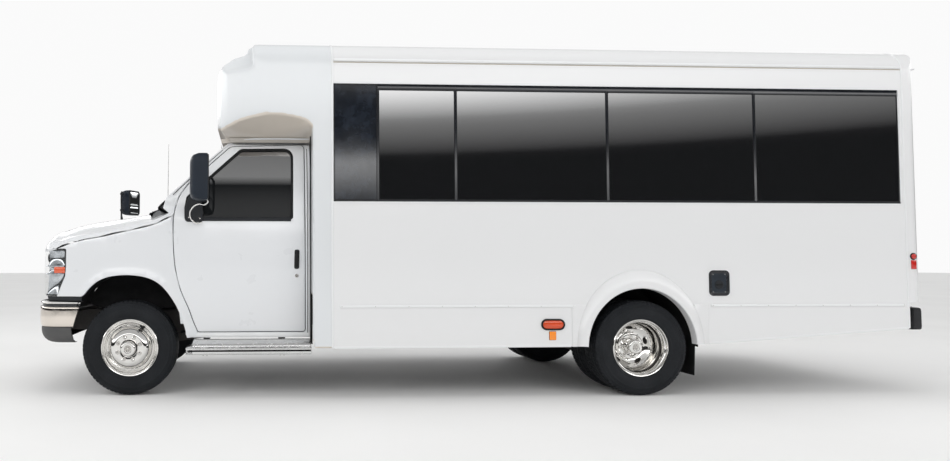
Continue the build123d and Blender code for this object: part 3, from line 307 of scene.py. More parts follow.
def rounded(pts, r, seg=5):
    """Closed outline with its corners rounded; r is one radius or one per corner."""
    pts = [Vector((p[0], p[1])) for p in pts]
    n, out = len(pts), []
    rs = r if hasattr(r, "__len__") else [r] * n
    for i in range(n):
        a, b, c = pts[i - 1], pts[i], pts[(i + 1) % n]
        u, v = (a - b), (c - b)
        lu, lv = u.length, v.length
        u, v = u / lu, v / lv
        ang = math.acos(max(-1, min(1, u.dot(v))))
        if rs[i] <= 0.01 or math.pi - ang < 0.02:
            out.append(tuple(b)); continue
        t = min(rs[i] / math.tan(ang / 2), lu * 0.49, lv * 0.49)
        rr = t * math.tan(ang / 2)
        p, q = b + u * t, b + v * t
        mid = (u + v).normalized()
        c0 = b + mid * (rr / math.sin(ang / 2))
        a0 = math.atan2(p.y - c0.y, p.x - c0.x)
        a1 = math.atan2(q.y - c0.y, q.x - c0.x)
        da = (a1 - a0 + math.pi) % (2 * math.pi) - math.pi
        for k in range(seg + 1):
            w = a0 + da * k / seg
            out.append((c0.x + rr * math.cos(w), c0.y + rr * math.sin(w)))
    return out


def resample(pts, step, closed=True):
    """Extra points along an outline so that no side is longer than step."""
    out, n = [], len(pts)
    for i in range(n if closed else n - 1):
        a, b = np.array(pts[i], float), np.array(pts[(i + 1) % n], float)
        k = max(1, int(math.ceil(np.linalg.norm(b - a) / step)))
        for j in range(k):
            out.append(tuple(a + (b - a) * j / k))
    if not closed:
        out.append(tuple(pts[-1]))
    return out


def smooth_line(pts, step=20.0, closed=False):
    """Centripetal-like Catmull-Rom curve through points of any dimension, evenly stepped."""
    p = [np.array(q, float) for q in pts]
    n = len(p)
    segs = n if closed else n - 1
    out = []
    for i in range(segs):
        p0 = p[(i - 1) % n] if closed or i > 0 else 2 * p[0] - p[1]
        p1, p2 = p[i], p[(i + 1) % n]
        p3 = p[(i + 2) % n] if closed or i + 2 < n else 2 * p[-1] - p[-2]
        l01, l12, l23 = (max(1e-6, np.linalg.norm(b - a)) for a, b in ((p0, p1), (p1, p2), (p2, p3)))
        m1 = l12 * ((p1 - p0) / l01 - (p2 - p0) / (l01 + l12) + (p2 - p1) / l12)
        m2 = l12 * ((p2 - p1) / l12 - (p3 - p1) / (l12 + l23) + (p3 - p2) / l23)
        k = max(1, int(round(l12 / step)))
        for j in range(k):
            t = j / k
            out.append((2 * t**3 - 3 * t**2 + 1) * p1 + (t**3 - 2 * t**2 + t) * m1
                       + (-2 * t**3 + 3 * t**2) * p2 + (t**3 - t**2) * m2)
    if not closed:
        out.append(p[-1])
    return [tuple(q) for q in out]


def inset(pts, d):
    """Outline (counter-clockwise) moved inwards by d."""
    p = np.array(pts, float)
    a, c = np.roll(p, 1, 0), np.roll(p, -1, 0)
    u, v = p - a, c - p
    u /= np.maximum(1e-9, np.linalg.norm(u, axis=1))[:, None]
    v /= np.maximum(1e-9, np.linalg.norm(v, axis=1))[:, None]
    nu, nv = np.c_[-u[:, 1], u[:, 0]], np.c_[-v[:, 1], v[:, 0]]
    m = nu + nv
    k = np.maximum(0.35, (1 + (nu * nv).sum(1)))
    return [tuple(q) for q in p + d * m / k[:, None]]


def in_poly(q, poly):
    q, p = np.asarray(q, float), np.asarray(poly, float)
    x, y = q[:, 0][:, None], q[:, 1][:, None]
    x0, y0 = p[:, 0][None], p[:, 1][None]
    x1, y1 = np.roll(p[:, 0], -1)[None], np.roll(p[:, 1], -1)[None]
    cross = ((y0 > y) != (y1 > y)) & (x < (x1 - x0) * (y - y0) / np.where(y1 == y0, 1e-12, y1 - y0) + x0)
    return cross.sum(1) % 2 == 1


def poly_dist(q, poly, closed=True):
    q, p = np.asarray(q, float), np.asarray(poly, float)
    a = p if closed else p[:-1]
    b = np.roll(p, -1, 0) if closed else p[1:]
    ab = b - a
    t = ((q[:, None, :] - a[None]) * ab[None]).sum(2) / np.maximum(1e-12, (ab**2).sum(1))[None]
    t = np.clip(t, 0, 1)
    c = a[None] + t[..., None] * ab[None]
    return np.sqrt(((q[:, None, :] - c)**2).sum(2)).min(1)


def triangulate(loops, points, outer, holes, lines=()):
    """Triangles over loops (constrained) and loose points, inside outer and outside holes."""
    vs, es = [], []
    for lp in loops:
        s = len(vs)
        vs += [Vector((p[0], p[1])) for p in lp]
        es += [(s + i, s + (i + 1) % len(lp)) for i in range(len(lp))]
    for ln in lines:
        s = len(vs)
        vs += [Vector((p[0], p[1])) for p in ln]
        es += [(s + i, s + i + 1) for i in range(len(ln) - 1)]
    vs += [Vector((p[0], p[1])) for p in points]
    co, _, fs, ov, _, _ = geometry.delaunay_2d_cdt(vs, es, [], 0, 1e-4)
    co = np.array([tuple(c) for c in co])
    tri = np.array([f for f in fs if len(f) == 3])
    cen = co[tri].mean(1)
    e1, e2 = co[tri[:, 1]] - co[tri[:, 0]], co[tri[:, 2]] - co[tri[:, 0]]
    size = np.abs(e1[:, 0] * e2[:, 1] - e1[:, 1] * e2[:, 0])
    keep = in_poly(cen, outer) & (size > 0.01)
    for h in holes:
        keep &= ~in_poly(cen, h)
    src = [o[0] if o else -1 for o in ov]
    return co, tri[keep], src


class Mesh:
    """Gathers faces in millimetres, x from the front axle."""

    def __init__(self):
        self.v, self.f, self.k = [], [], []
        self.keys = []

    def add(self, v, f, key):
        if key not in self.keys:
            self.keys.append(key)
        i, s = self.keys.index(key), len(self.v)
        self.v += [tuple(float(c) for c in q) for q in v]
        self.f += [tuple(int(a) + s for a in g) for g in f]
        self.k += [i] * len(f)
        return self

    def mirrored(self):
        """A copy reflected to the other side (y changes sign)."""
        m = Mesh()
        m.keys = list(self.keys)
        m.v = [(x, -y, z) for x, y, z in self.v]
        m.f = [g[::-1] for g in self.f]
        m.k = list(self.k)
        return m

    def join(self, other):
        for key in other.keys:
            idx = other.keys.index(key)
            fs = [g for g, k in zip(other.f, other.k) if k == idx]
            if key not in self.keys:
                self.keys.append(key)
        s = len(self.v)
        self.v += other.v
        self.f += [tuple(a + s for a in g) for g in other.f]
        self.k += [self.keys.index(other.keys[k]) for k in other.k]
        return self

    # --- solids
    def bm(self, bm_, key):
        bm_.verts.ensure_lookup_table()
        bm_.verts.index_update()
        self.add([tuple(v.co) for v in bm_.verts], [[v.index for v in f.verts] for f in bm_.faces], key)
        bm_.free()
        return self

    def box(self, x0, x1, y0, y1, z0, z1, key, r=2.0, seg=2):
        b = bmesh.new()
        bmesh.ops.create_cube(b, size=1.0)
        for v in b.verts:
            v.co = ((x0 + x1) / 2 + v.co.x * (x1 - x0), (y0 + y1) / 2 + v.co.y * (y1 - y0), (z0 + z1) / 2 + v.co.z * (z1 - z0))
        if r > 0:
            r = min(r, 0.45 * min(abs(x1 - x0), abs(y1 - y0), abs(z1 - z0)))
            bmesh.ops.bevel(b, geom=list(b.edges), offset=r, segments=seg, profile=0.5, affect="EDGES")
        return self.bm(b, key)

    def prism(self, axis, pts, a, b, key, r=1.5, seg=2, r2=None):
        """Outline extruded along an axis with rolled rims. Outline axes: x -> (y, z), y -> (x, z), z -> (x, y)."""
        pts = ccw(pts)
        lift = {"x": lambda u, v, w: (w, u, v), "y": lambda u, v, w: (u, w, v), "z": lambda u, v, w: (u, v, w)}[axis]
        lo, hi = min(a, b), max(a, b)
        r = min(r, (hi - lo) * 0.49)
        rings = []
        n = seg if r > 0 else 0
        for k in range(n + 1):
            t = math.pi / 2 * k / max(1, n)
            rings.append((r * (1 - math.sin(t)), lo + r * (1 - math.cos(t))))
        up = [(o, hi - (w - lo)) for o, w in reversed(rings)]
        rings = rings + up if r > 0 else [(0, lo), (0, hi)]
        vs, fs, m = [], [], len(pts)
        for o, w in rings:
            vs += [lift(p[0], p[1], w) for p in (inset(pts, o) if o else pts)]
        for i in range(len(rings) - 1):
            for j in range(m):
                fs.append((i * m + j, i * m + (j + 1) % m, (i + 1) * m + (j + 1) % m, (i + 1) * m + j))
        fs.append(tuple(range(m))[::-1])
        fs.append(tuple(range((len(rings) - 1) * m, len(rings) * m)))
        return self.add(vs, fs, key)

    def ribbon(self, rows, key, close_u=False, close_v=False, flip=False):
        """Grid of points: rows of equal length."""
        nu, nv = len(rows), len(rows[0])
        vs = [p for r in rows for p in r]
        fs = []
        for i in range(nu if close_u else nu - 1):
            for j in range(nv if close_v else nv - 1):
                a, b = i * nv + j, i * nv + (j + 1) % nv
                c, d = ((i + 1) % nu) * nv + (j + 1) % nv, ((i + 1) % nu) * nv + j
                fs.append((a, b, c, d) if not flip else (d, c, b, a))
        return self.add(vs, fs, key)

    def tube(self, path, r, key, n=10, closed=False, caps=True, flat=1.0):
        """Round bar along a path; r is one radius or one per point."""
        p = np.array(path, float)
        m = len(p)
        if closed:
            t = np.roll(p, -1, 0) - np.roll(p, 1, 0)
        else:
            t = np.gradient(p, axis=0)
        t /= np.maximum(1e-9, np.linalg.norm(t, axis=1))[:, None]
        ref = np.array([0, 0, 1.0]) if abs(t[0][2]) < 0.9 else np.array([0, 1.0, 0])
        u = np.cross(t[0], ref); u /= np.linalg.norm(u)
        rows = []
        rr = r if hasattr(r, "__len__") else [r] * m
        for i in range(m):
            u = u - t[i] * u.dot(t[i]); u /= max(1e-9, np.linalg.norm(u))
            w = np.cross(t[i], u)
            rows.append([tuple(p[i] + rr[i] * (math.cos(a) * u + flat * math.sin(a) * w))
                         for a in np.linspace(0, 2 * math.pi, n, endpoint=False)])
        self.ribbon(rows, key, close_u=closed, close_v=True)
        if caps and not closed:
            s = len(self.v) - m * n
            self.f.append(tuple(range(s, s + n))[::-1]); self.k.append(self.keys.index(key))
            self.f.append(tuple(range(s + (m - 1) * n, s + m * n))); self.k.append(self.keys.index(key))
        return self

    def sweep(self, path, normals, profile, key, closed=False, caps=True, across=None):
        """Profile (out, side) pairs carried along a path; out follows the normal, side is normal x tangent."""
        p, q = np.array(path, float), np.array(normals, float)
        if q.ndim == 1:
            q = np.repeat(q[None], len(p), 0)
        t = (np.roll(p, -1, 0) - np.roll(p, 1, 0)) if closed else np.gradient(p, axis=0)
        t /= np.maximum(1e-9, np.linalg.norm(t, axis=1))[:, None]
        q = q - t * (q * t).sum(1)[:, None]
        q /= np.linalg.norm(q, axis=1)[:, None]
        s = np.cross(q, t)
        rows = [[tuple(p[i] + a * q[i] + b * s[i]) for a, b in profile] for i in range(len(p))]
        n = len(profile)
        self.ribbon(rows, key, close_u=closed, close_v=True)
        if caps and not closed:
            e = len(self.v) - len(rows) * n
            self.f.append(tuple(range(e, e + n))[::-1]); self.k.append(self.keys.index(key))
            self.f.append(tuple(range(e + (len(rows) - 1) * n, e + len(rows) * n))); self.k.append(self.keys.index(key))
        return self

    def lathe(self, profile, centre, key, axis="y", n=64, side=1, closed=False, a0=0.0, a1=2 * math.pi):
        """Turned part: (outward distance, radius) pairs about an axis through centre."""
        cx, cy, cz = centre
        rows = []
        full = abs(a1 - a0 - 2 * math.pi) < 1e-6
        angles = np.linspace(a0, a1, n, endpoint=not full)
        for a in angles:
            c, s = math.cos(a), math.sin(a)
            if axis == "y":
                rows.append([(cx + r * c, cy + side * d, cz + r * s) for d, r in profile])
            elif axis == "x":
                rows.append([(cx + side * d, cy + r * c, cz + r * s) for d, r in profile])
            else:
                rows.append([(cx + r * c, cy + r * s, cz + side * d) for d, r in profile])
        return self.ribbon(rows, key, close_u=full, close_v=closed)

    def skin(self, outline, lift, key, holes=(), r=4.0, depth=14.0, step=60.0, edge=16.0, seg=3, back=0.0, roll_holes=True,
             extra=(), outer_turn=True, mask=None):
        """Panel over a flat outline. lift(u, v, d) gives the point d behind the surface; rims are rolled and turned in."""
        outer = ccw(resample(outline, edge))
        hs = [ccw(resample(h, edge)) for h in holes]
        rings = [(r * (1 - math.cos(t)), r * (1 - math.sin(t))) for t in np.linspace(0, math.pi / 2, seg + 1)] if r > 0 else [(0.0, 0.0)]
        seg = len(rings) - 1
        loops, depths = [], []
        for o, d in rings:
            loops.append(inset(outer, o) if o else outer); depths += [d] * len(outer)
        for h in hs:
            for o, d in rings if roll_holes else rings[-1:]:
                loops.append(inset(h, -o) if o and roll_holes else h); depths += [d] * len(h)
        inner = np.array(loops[seg])
        lo, hi = inner.min(0), inner.max(0)
        gx = np.arange(lo[0] + step / 2, hi[0], step)
        gy = np.arange(lo[1] + step / 2, hi[1], step)
        pts = np.array([(x + (step / 2 if j % 2 else 0), y) for j, y in enumerate(gy) for x in gx]).reshape(-1, 2)
        for e in extra:
            pts = np.vstack([pts, np.array(e)]) if len(pts) else np.array(e)
        if len(pts):
            ok = in_poly(pts, inner) & (poly_dist(pts, inner) > step * 0.3)
            for h in hs:
                hh = inset(h, -r) if roll_holes else h
                ok &= ~in_poly(pts, hh) & (poly_dist(pts, hh) > step * 0.3)
            pts = pts[ok]
        co, tri, src = triangulate(loops, pts, outer, hs)
        nl = sum(len(x) for x in loops)
        dd = [depths[s] if 0 <= s < nl else 0.0 for s in src]
        if mask:
            dd = [d * mask(c[0], c[1]) if d else 0.0 for c, d in zip(co, dd)]
        vs = [lift(c[0], c[1], d) for c, d in zip(co, dd)]
        fs = [tuple(t) for t in tri]
        self.add(vs, fs, key)
        if depth > 0:
            for lp, rev in ([(outer, False)] if outer_turn else []) + [(h, True) for h in hs]:
                d0 = r if (lp is outer or roll_holes) else 0.0
                if mask:
                    n_ = len(lp)
                    mk = [mask(p[0], p[1]) for p in lp]
                    for i in range(n_):
                        j = (i + 1) % n_
                        if mk[i] > 0 and mk[j] > 0:
                            a, b = lp[i], lp[j]
                            q = [lift(a[0], a[1], d0 * mk[i]), lift(b[0], b[1], d0 * mk[j]), lift(b[0], b[1], depth), lift(a[0], a[1], depth)]
                            self.add(q, [(0, 1, 2, 3)], key)
                    continue
                rows = [[lift(p[0], p[1], d0) for p in lp], [lift(p[0], p[1], depth) for p in lp]]
                self.ribbon(rows, key, close_v=True, flip=rev)
        if back > 0:
            self.add([lift(c[0], c[1], depth) for c in co], [tuple(t)[::-1] for t in tri], key)
        return self

    def done(self, name, body, angle=32.0, slot=None, replaces=(), weld=0.05, padded=None, flat=False):
        me = bpy.data.meshes.new(name)
        me.from_pydata([P(*q) for q in self.v], [], self.f)
        for key in self.keys:
            me.materials.append(M[key])
        me.polygons.foreach_set("material_index", self.k)
        b = bmesh.new()
        b.from_mesh(me)
        if weld > 0:
            bmesh.ops.remove_doubles(b, verts=b.verts, dist=weld / 1000.0)
        bmesh.ops.dissolve_degenerate(b, dist=1e-6, edges=b.edges)
        lone = [v for v in b.verts if not v.link_faces]
        bmesh.ops.delete(b, geom=lone, context="VERTS")
        bmesh.ops.recalc_face_normals(b, faces=b.faces)
        lim = math.radians(angle)
        for f in b.faces:
            f.smooth = not flat
        for e in b.edges:
            if len(e.link_faces) == 2:
                e.smooth = e.calc_face_angle(0.0) < lim
            else:
                e.smooth = True
        b.to_mesh(me)
        b.free()
        ob = bpy.data.objects.new(name, me)
        scene.collection.objects.link(ob)
        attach(ob, body)
        if replaces:
            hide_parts(*replaces)
        return ob


def nut(m, c, axis_side, r, h, key, seg=6, dome=True, turn=0.0):
    """Hexagon nut with a domed end standing outwards along y."""
    cx, cy, cz = c
    ring = [(r * math.cos(a + turn), r * math.sin(a + turn)) for a in np.linspace(0, 2 * math.pi, seg, endpoint=False)]
    prof = [(0, 1.0), (h * 0.62, 1.0), (h * 0.74, 0.93), (h * 0.8, 0.72), (h * 0.97, 0.45), (h, 0.0)] if dome else [(0, 1.0), (h * 0.85, 1.0), (h, 0.86), (h, 0.0)]
    rows = [[(cx + u * s, cy + axis_side * d, cz + v * s) for d, s in prof] for u, v in ring]
    m.ribbon(rows, key, close_u=True)
    return m


def screw(m, c, normal, r, key, n=10):
    """Domed screw head."""
    c, nn = np.array(c, float), np.array(normal, float)
    nn /= np.linalg.norm(nn)
    ref = np.array([0, 0, 1.0]) if abs(nn[2]) < 0.9 else np.array([1.0, 0, 0])
    u = np.cross(nn, ref); u /= np.linalg.norm(u)
    w = np.cross(nn, u)
    rows = []
    for a in np.linspace(0, 2 * math.pi, n, endpoint=False):
        e = math.cos(a) * u + math.sin(a) * w
        rows.append([tuple(c + e * r * s + nn * r * h) for s, h in ((1, 0), (0.95, 0.22), (0.7, 0.42), (0.3, 0.5), (0.0, 0.5))])
    m.ribbon(rows, key, close_u=True)
    return m


SIDES = ((-1, "left"), (1, "right"))
cab_y = pchip([400, 454, 900, 1025, 1150, 1430, 1940, 2005, 2034], [993, 995, 1010, 1011, 1010, 990, 905, 860, 760])

# ------------------------------------------------------------------ wheels
RZ = 372.0
TWO_PI = 2 * math.pi


def tyre_mesh(x, y, side):
    m = Mesh()
    c = (x, y, RZ)
    wall = [(80, 206), (86, 214), (92, 222), (99, 230), (104, 237), (105, 240), (105.5, 246), (104.5, 248), (107, 256), (110, 268),
            (112, 284), (112, 298), (110.8, 310), (111.6, 312), (111.4, 316), (110, 318), (108.5, 326), (106, 336), (107.2, 338), (106.6, 341),
            (104.6, 343), (102, 349), (98, 356), (92, 361), (84, 363.5)]
    crown = [(70, 364.4), (45, 364.8), (0, 365.2), (-45, 364.8), (-70, 364.4)]
    prof = wall + crown + [(-d, r) for d, r in reversed(wall)]
    m.lathe(prof, c, "tyre", n=160, side=side)
    m.lathe([(80, 206), (60, 209), (-60, 209), (-80, 206)], c, "tyre", n=64, side=side)

    def block(a0, a1, d0, d1, r0, top0, top1, skew=0.0, cham=1.2):
        """Tread block between two angles and two distances; skew turns its ends."""
        pa = []
        steps = 2
        mid = (a0 + a1) / 2
        ca = cham / 370.0
        for (dd, tt, ins) in ((d0, top0, 0), (d1, top1, 0)):
            pa.append((dd, tt))
        rows = []
        for i in range(steps + 1):
            a = a0 + (a1 - a0) * i / steps
            a_top = mid + (a - mid) * (1 - ca / max(1e-6, (a1 - a0) / 2))
            s = cham if d1 > d0 else -cham
            row = []
            for dd, rr, aa in ((d0, r0, a), (d0, top0 - cham, a), (d0 + s, top0, a_top), (d1 - s, top1, a_top),
                               (d1, top1 - cham, a), (d1, r0, a)):
                sk = skew * (dd - (d0 + d1) / 2) / 370.0
                row.append((x + rr * math.cos(aa + sk), y + side * dd, RZ + rr * math.sin(aa + sk)))
            rows.append(row)
        s = len(m.v)
        m.ribbon(rows, "tyre")
        for row0, flip in ((0, True), (steps * 6, False)):
            f = tuple(s + row0 + j for j in range(6))
            m.f.append(f if not flip else f[::-1]); m.k.append(0)

    n = 66
    step = TWO_PI / n
    for i in range(n):
        a = i * step
        for sgn in (1, -1):
            off = 0 if sgn > 0 else step / 2
            block(a + off, a + off + step * 0.83, sgn * 64, sgn * 97, 357, 370.6, 366.0, skew=0.12 * sgn)
            block(a + off, a + off + step * 0.80, sgn * 97.5, sgn * 106.5, 340, 361.0, 344.5, skew=0.0)
            block(a + off + step * 0.4, a + off + step * 1.28, sgn * 24, sgn * 57, 362, 371.9, 371.2, skew=-0.35 * sgn)
        block(a + step * 0.1, a + step * 1.02, -17, 17, 362, 372, 372, skew=0.5)
    # fine serration between the shoulder and the wall
    for i in range(144):
        a = i * TWO_PI / 144
        if i % 36 < 6:
            continue
        rows = [[(x + r * math.cos(a + t), y + side * d, RZ + r * math.sin(a + t)) for t in (-0.006, 0.0, 0.006)]
                for d, r in ((107.9, 325.5), (110.9, 327.5), (107.4, 333.5), (104.9, 335.2))]
        m.ribbon(rows, "tyre")
    return m


def lip(o=0.0):
    return [(66, 214 + o), (84, 222 + o), (93, 224.5 + o), (98, 223.5 + o), (100, 220 + o), (99, 216 + o), (95, 213.4 + o)]


def front_rim_mesh(x, y, side):
    m = Mesh()
    c = (x, y, RZ)
    m.lathe(lip() + [(90, 211.5), (85, 210.5), (83, 208.5), (84, 206), (86.5, 203.5), (86, 200.5), (81, 198), (70, 195.5), (63, 192),
                     (58, 187), (56.5, 181), (58.5, 177.5), (61, 175.5), (60, 172)], c, "chrome", n=128, side=side)
    # liner dome, bolt face and hub
    m.lathe([(40, 170), (60, 169.5), (74, 167.5), (92, 162), (108, 153), (121, 141), (130, 129), (134.5, 120), (136.6, 113),
             (137, 108), (137, 70), (136, 66.5), (133, 64.5)], c, "chrome", n=128, side=side)
    m.lathe([(60, 172), (44, 171.5), (40, 170)], c, "dark", n=96, side=side)
    m.lathe([(133, 64.5), (128, 63.5), (128, 61), (133, 60)], c, "dark", n=72, side=side)
    m.lathe([(133, 60), (168, 58.5), (178, 57), (183, 53.5), (186, 48), (186.5, 44), (187, 30), (186, 27), (183, 25)], c, "chrome", n=96, side=side)
    m.lathe([(183, 25), (181, 22), (181, 9), (183.5, 8), (184.5, 6), (184.5, 0)], c, "chrome_dull", n=48, side=side)
    for i in range(6):
        a = i * math.pi / 3
        screw(m, (x + 15.5 * math.cos(a), y + side * 181, RZ + 15.5 * math.sin(a)), (0, side, 0), 3.6, "dark", n=8)
    for i in range(8):
        a = (i + 0.44) * math.pi / 4
        px, pz = x + 92 * math.cos(a), RZ + 92 * math.sin(a)
        m.lathe([(136.5, 17.5), (138.4, 17), (139, 15.6), (139, 12)], (px, y, pz), "chrome_dull", n=20, side=side)
        nut(m, (px, y + side * 137.5, pz), side, 13.2, 27, "chrome", turn=a)
    # valve with its clamp, and a balance weight
    a = math.radians(60)
    for k, (t, w) in enumerate(((-0.065, 0.05), (0.055, 0.045))):
        rows = []
        for u in np.linspace(a + t - w, a + t + w, 6):
            rows.append([(x + r * math.cos(u), y + side * d, RZ + r * math.sin(u)) for d, r in
                         ((82, 203 - 6 * k), (97, 199 - 6 * k), (99, 193), (96, 180 + 6 * k), (78, 176 + 6 * k))])
        m.ribbon(rows, "seal", close_v=True)
        m.f.append(tuple(len(m.v) - 30 + j for j in range(5))[::-1]); m.k.append(m.keys.index("seal"))
        m.f.append(tuple(len(m.v) - 5 + j for j in range(5))); m.k.append(m.keys.index("seal"))
    m.tube([(x + r * math.cos(a), y + side * d, RZ + r * math.sin(a)) for d, r in ((80, 190), (100, 178), (112, 166))], 4.2, "seal", n=10)
    # steel wheel behind the liner
    m.lathe([(66, 214), (76, 206), (60, 206), (44, 190), (-44, 190), (-60, 205), (-76, 206), (-80, 216), (-88, 222), (-92, 220),
             (-90, 200), (-70, 194), (-44, 179), (30, 178), (40, 170)], c, "frame_black", n=96, side=side)
    m.lathe([(-30, 179), (-28, 160), (6, 104), (6, 38), (30, 36)], c, "frame_black", n=72, side=side)
    m.lathe([(2, 101), (-16, 101), (-18, 150), (-38, 150), (-40, 146), (-40, 104), (-36, 101), (-30, 101)], c, "engine_iron", n=72, side=side)   # brake disc
    return m


def rear_rim_mesh(x, y_out, y_in, side):
    m = Mesh()
    c = (x, y_out, RZ)
    m.lathe(lip() + [(88, 211), (82, 208.5), (80, 206), (79, 203), (74, 199.5), (62, 196.5), (40, 194), (22, 193), (18, 191.5), (14, 189.5),
                     (-20, 187.5), (-52, 186), (-66, 184), (-74, 180), (-79, 174)], c, "chrome", n=128, side=side)
    # dish with oval hand holes, unrolled to angle x slope
    r0, r1, d0, d1 = 174.0, 112.0, -79.0, -112.0
    rm = 145.0
    def cone(u, v, d):
        t = v / 70.0
        r = r0 + (r1 - r0) * t
        dd = d0 + (d1 - d0) * math.sin(min(1, max(0, t)) * math.pi / 2)
        a = u / rm
        return (x + r * math.cos(a), y_out + side * (dd - d), RZ + r * math.sin(a))
    holes = []
    for i in range(5):
        a0 = math.radians(14 + 72 * i) * rm if i < 5 else 0
        a0 = a0 % (TWO_PI * rm)
        holes.append([(a0 + 29 * math.cos(t), 35 + 15.5 * math.sin(t)) for t in np.linspace(0, TWO_PI, 28, endpoint=False)])
    m.skin([(0, 0), (TWO_PI * rm, 0), (TWO_PI * rm, 70), (0, 70)], cone, "chrome", holes=holes, r=0, depth=9, step=22, edge=TWO_PI * rm / 96,
           outer_turn=False)
    m.lathe([(-112, 112), (-114, 109), (-112, 106), (-70, 104.5), (-61, 103), (-57.5, 99.5), (-56.5, 95), (-56.5, 66), (-58, 63),
             (-62, 62.5)], c, "chrome", n=112, side=side)
    m.lathe([(-62, 62.5), (-60, 60.5), (-20, 59.5), (6, 58.5), (16, 56.5), (22, 52), (25, 45), (25.5, 42), (26, 29), (25, 26.5), (22, 25)],
            c, "chrome", n=96, side=side)
    m.lathe([(22, 25), (20, 22), (20, 9), (22.5, 8), (23.5, 6), (23.5, 0)], c, "chrome_dull", n=48, side=side)
    for i in range(6):
        a = i * math.pi / 3
        screw(m, (x + 15.5 * math.cos(a), y_out + side * 20, RZ + 15.5 * math.sin(a)), (0, side, 0), 3.6, "dark", n=8)
    for i in range(8):
        a = (i + 0.1) * math.pi / 4
        px, pz = x + 83 * math.cos(a), RZ + 83 * math.sin(a)
        m.lathe([(-56.5, 16.5), (-54.6, 16), (-54, 14.6), (-54, 11)], (px, y_out, pz), "chrome_dull", n=20, side=side)
        nut(m, (px, y_out + side * -55.5, pz), side, 12.4, 25, "chrome", turn=a)
    # steel barrels, discs and hub behind
    for yy, s2 in ((y_out, 1), (y_in, -1)):
        cc = (x, yy, RZ)
        m.lathe([(66, 214), (76, 206), (60, 206), (44, 200), (-44, 200), (-60, 205), (-76, 206), (-82, 216), (-90, 222), (-93, 219),
                 (-88, 203), (-70, 196), (-44, 190), (44, 190)], cc, "frame_black", n=96, side=side)
    ci = (x, y_in, RZ)
    m.lathe([(44, 190), (60, 196), (88, 203), (93, 219), (90, 222), (82, 216), (66, 214)], ci, "frame_black", n=96, side=side)
    m.lathe([(60, 196), (60, 168), (106, 142), (122, 116), (126, 62)], ci, "frame_black", n=72, side=side)
    m.lathe([(-130, 174), (-126, 60)], c, "frame_black", n=72, side=side)
    m.lathe([(-200, 44), (-200, 84), (-132, 84), (-128, 60)], c, "engine_iron", n=64, side=side)
    m.lathe([(30, 178), (-70, 178), (-76, 170), (-76, 60), (-60, 44)], ci, "engine_iron", n=72, side=side)   # brake drum
    return m


for side, word in SIDES:
    tyre_mesh(0, side * 880, side).done("tyre_front_" + word, "wheel_front_" + word, slot="tyre_rubber",
                                        replaces=("front_tyre_" + word,), weld=0)
    front_rim_mesh(0, side * 880, side).done("rim_front_" + word, "wheel_front_" + word, slot="rim_chrome",
                                             replaces=("front_rim_" + word,))
    twin = tyre_mesh(4013, side * 1107, side)
    twin.join(tyre_mesh(4013, side * (1107 - 270), side))
    twin.done("tyres_rear_" + word, "wheel_rear_" + word, slot="tyre_rubber", replaces=("rear_tyres_" + word,), weld=0)
    rear_rim_mesh(4013, side * 1107, side * (1107 - 270), side).done(
        "rims_rear_" + word, "wheel_rear_" + word, slot="rim_chrome", replaces=("rear_rims_" + word,))

# ------------------------------------------------------------------ nose surface
NOSE_HALF = [(560, 1001), (450, 1008), (356, 1011), (200, 1011), (0, 1010), (-250, 1006), (-400, 998), (-500, 986), (-590, 962),
             (-648, 928), (-688, 878), (-708, 800), (-716, 700), (-722, 550), (-727, 300), (-729, 0)]
_l = smooth_line([(x, -y) for x, y in NOSE_HALF], 15)
_l[-1] = (-729.0, 0.0)
NB = np.array(_l + [(x, -y) for x, y in reversed(_l[:-1])])
NS = np.r_[0, np.cumsum(np.linalg.norm(np.diff(NB, axis=0), axis=1))]
_t = np.gradient(NB, axis=0)
_t /= np.linalg.norm(_t, axis=1)[:, None]
NN = np.c_[_t[:, 1], -_t[:, 0]]                      # inward
NR = np.interp(NB[:, 0], [-729, -700, -640, -560, -450, -350, 356], [112, 108, 92, 70, 54, 47, 44])
zc = pchip([-740, -640, -578, -464, -351, -207, -26, 150, 220, 290, 356, 560], [1112, 1160, 1187, 1239, 1271, 1298, 1341, 1380, 1405, 1436, 1462, 1500])
z0 = pchip([-740, -640, -562, -394, -224, -21, 151, 356, 560], [1262, 1318, 1350, 1390, 1416, 1446, 1474, 1488, 1490])


def z_top(x, y):
    g = 1 - (np.abs(y) / 950.0)**3.1
    return zc(x) + (z0(x) - zc(x)) * g


_fine_s = np.arange(0, NS[-1], 5.0)
_fb = np.c_[np.interp(_fine_s, NS, NB[:, 0]), np.interp(_fine_s, NS, NB[:, 1])]
_fn = np.c_[np.interp(_fine_s, NS, NN[:, 0]), np.interp(_fine_s, NS, NN[:, 1])]
_fr = np.interp(_fine_s, NS, NR)


def nose_z(x, y):
    """Height of hood and fender tops, rolling down towards the rim of the nose."""
    dx, dy = _fb[:, 0] - x, _fb[:, 1] - y
    i = int(np.argmin(dx * dx + dy * dy))
    d = math.hypot(dx[i], dy[i])
    r = _fr[i]
    if d >= r:
        return float(z_top(x, y))
    qx, qy = x + _fn[i][0] * (r - d), y + _fn[i][1] * (r - d)
    return float(z_top(qx, qy)) - r + math.sqrt(max(0.0, r * r - (r - d)**2))


def rim_z(i):
    q = NB[i] + NN[i] * NR[i]
    return float(z_top(q[0], q[1])) - NR[i]


S_MID = NS[len(_l) - 1]
NOSE_X = NB[:len(_l), 0]


def s_of_x(x):
    """Distance along the left rim for a side-view x."""
    return float(np.interp(-x, -NOSE_X, NS[:len(_l)]))


def s_of_y(y):
    """Distance along the left rim for a front-view y (negative)."""
    return float(np.interp(y, NB[:len(_l), 1][NB[:len(_l), 0] < -560], NS[:len(_l)][NB[:len(_l), 0] < -560]))


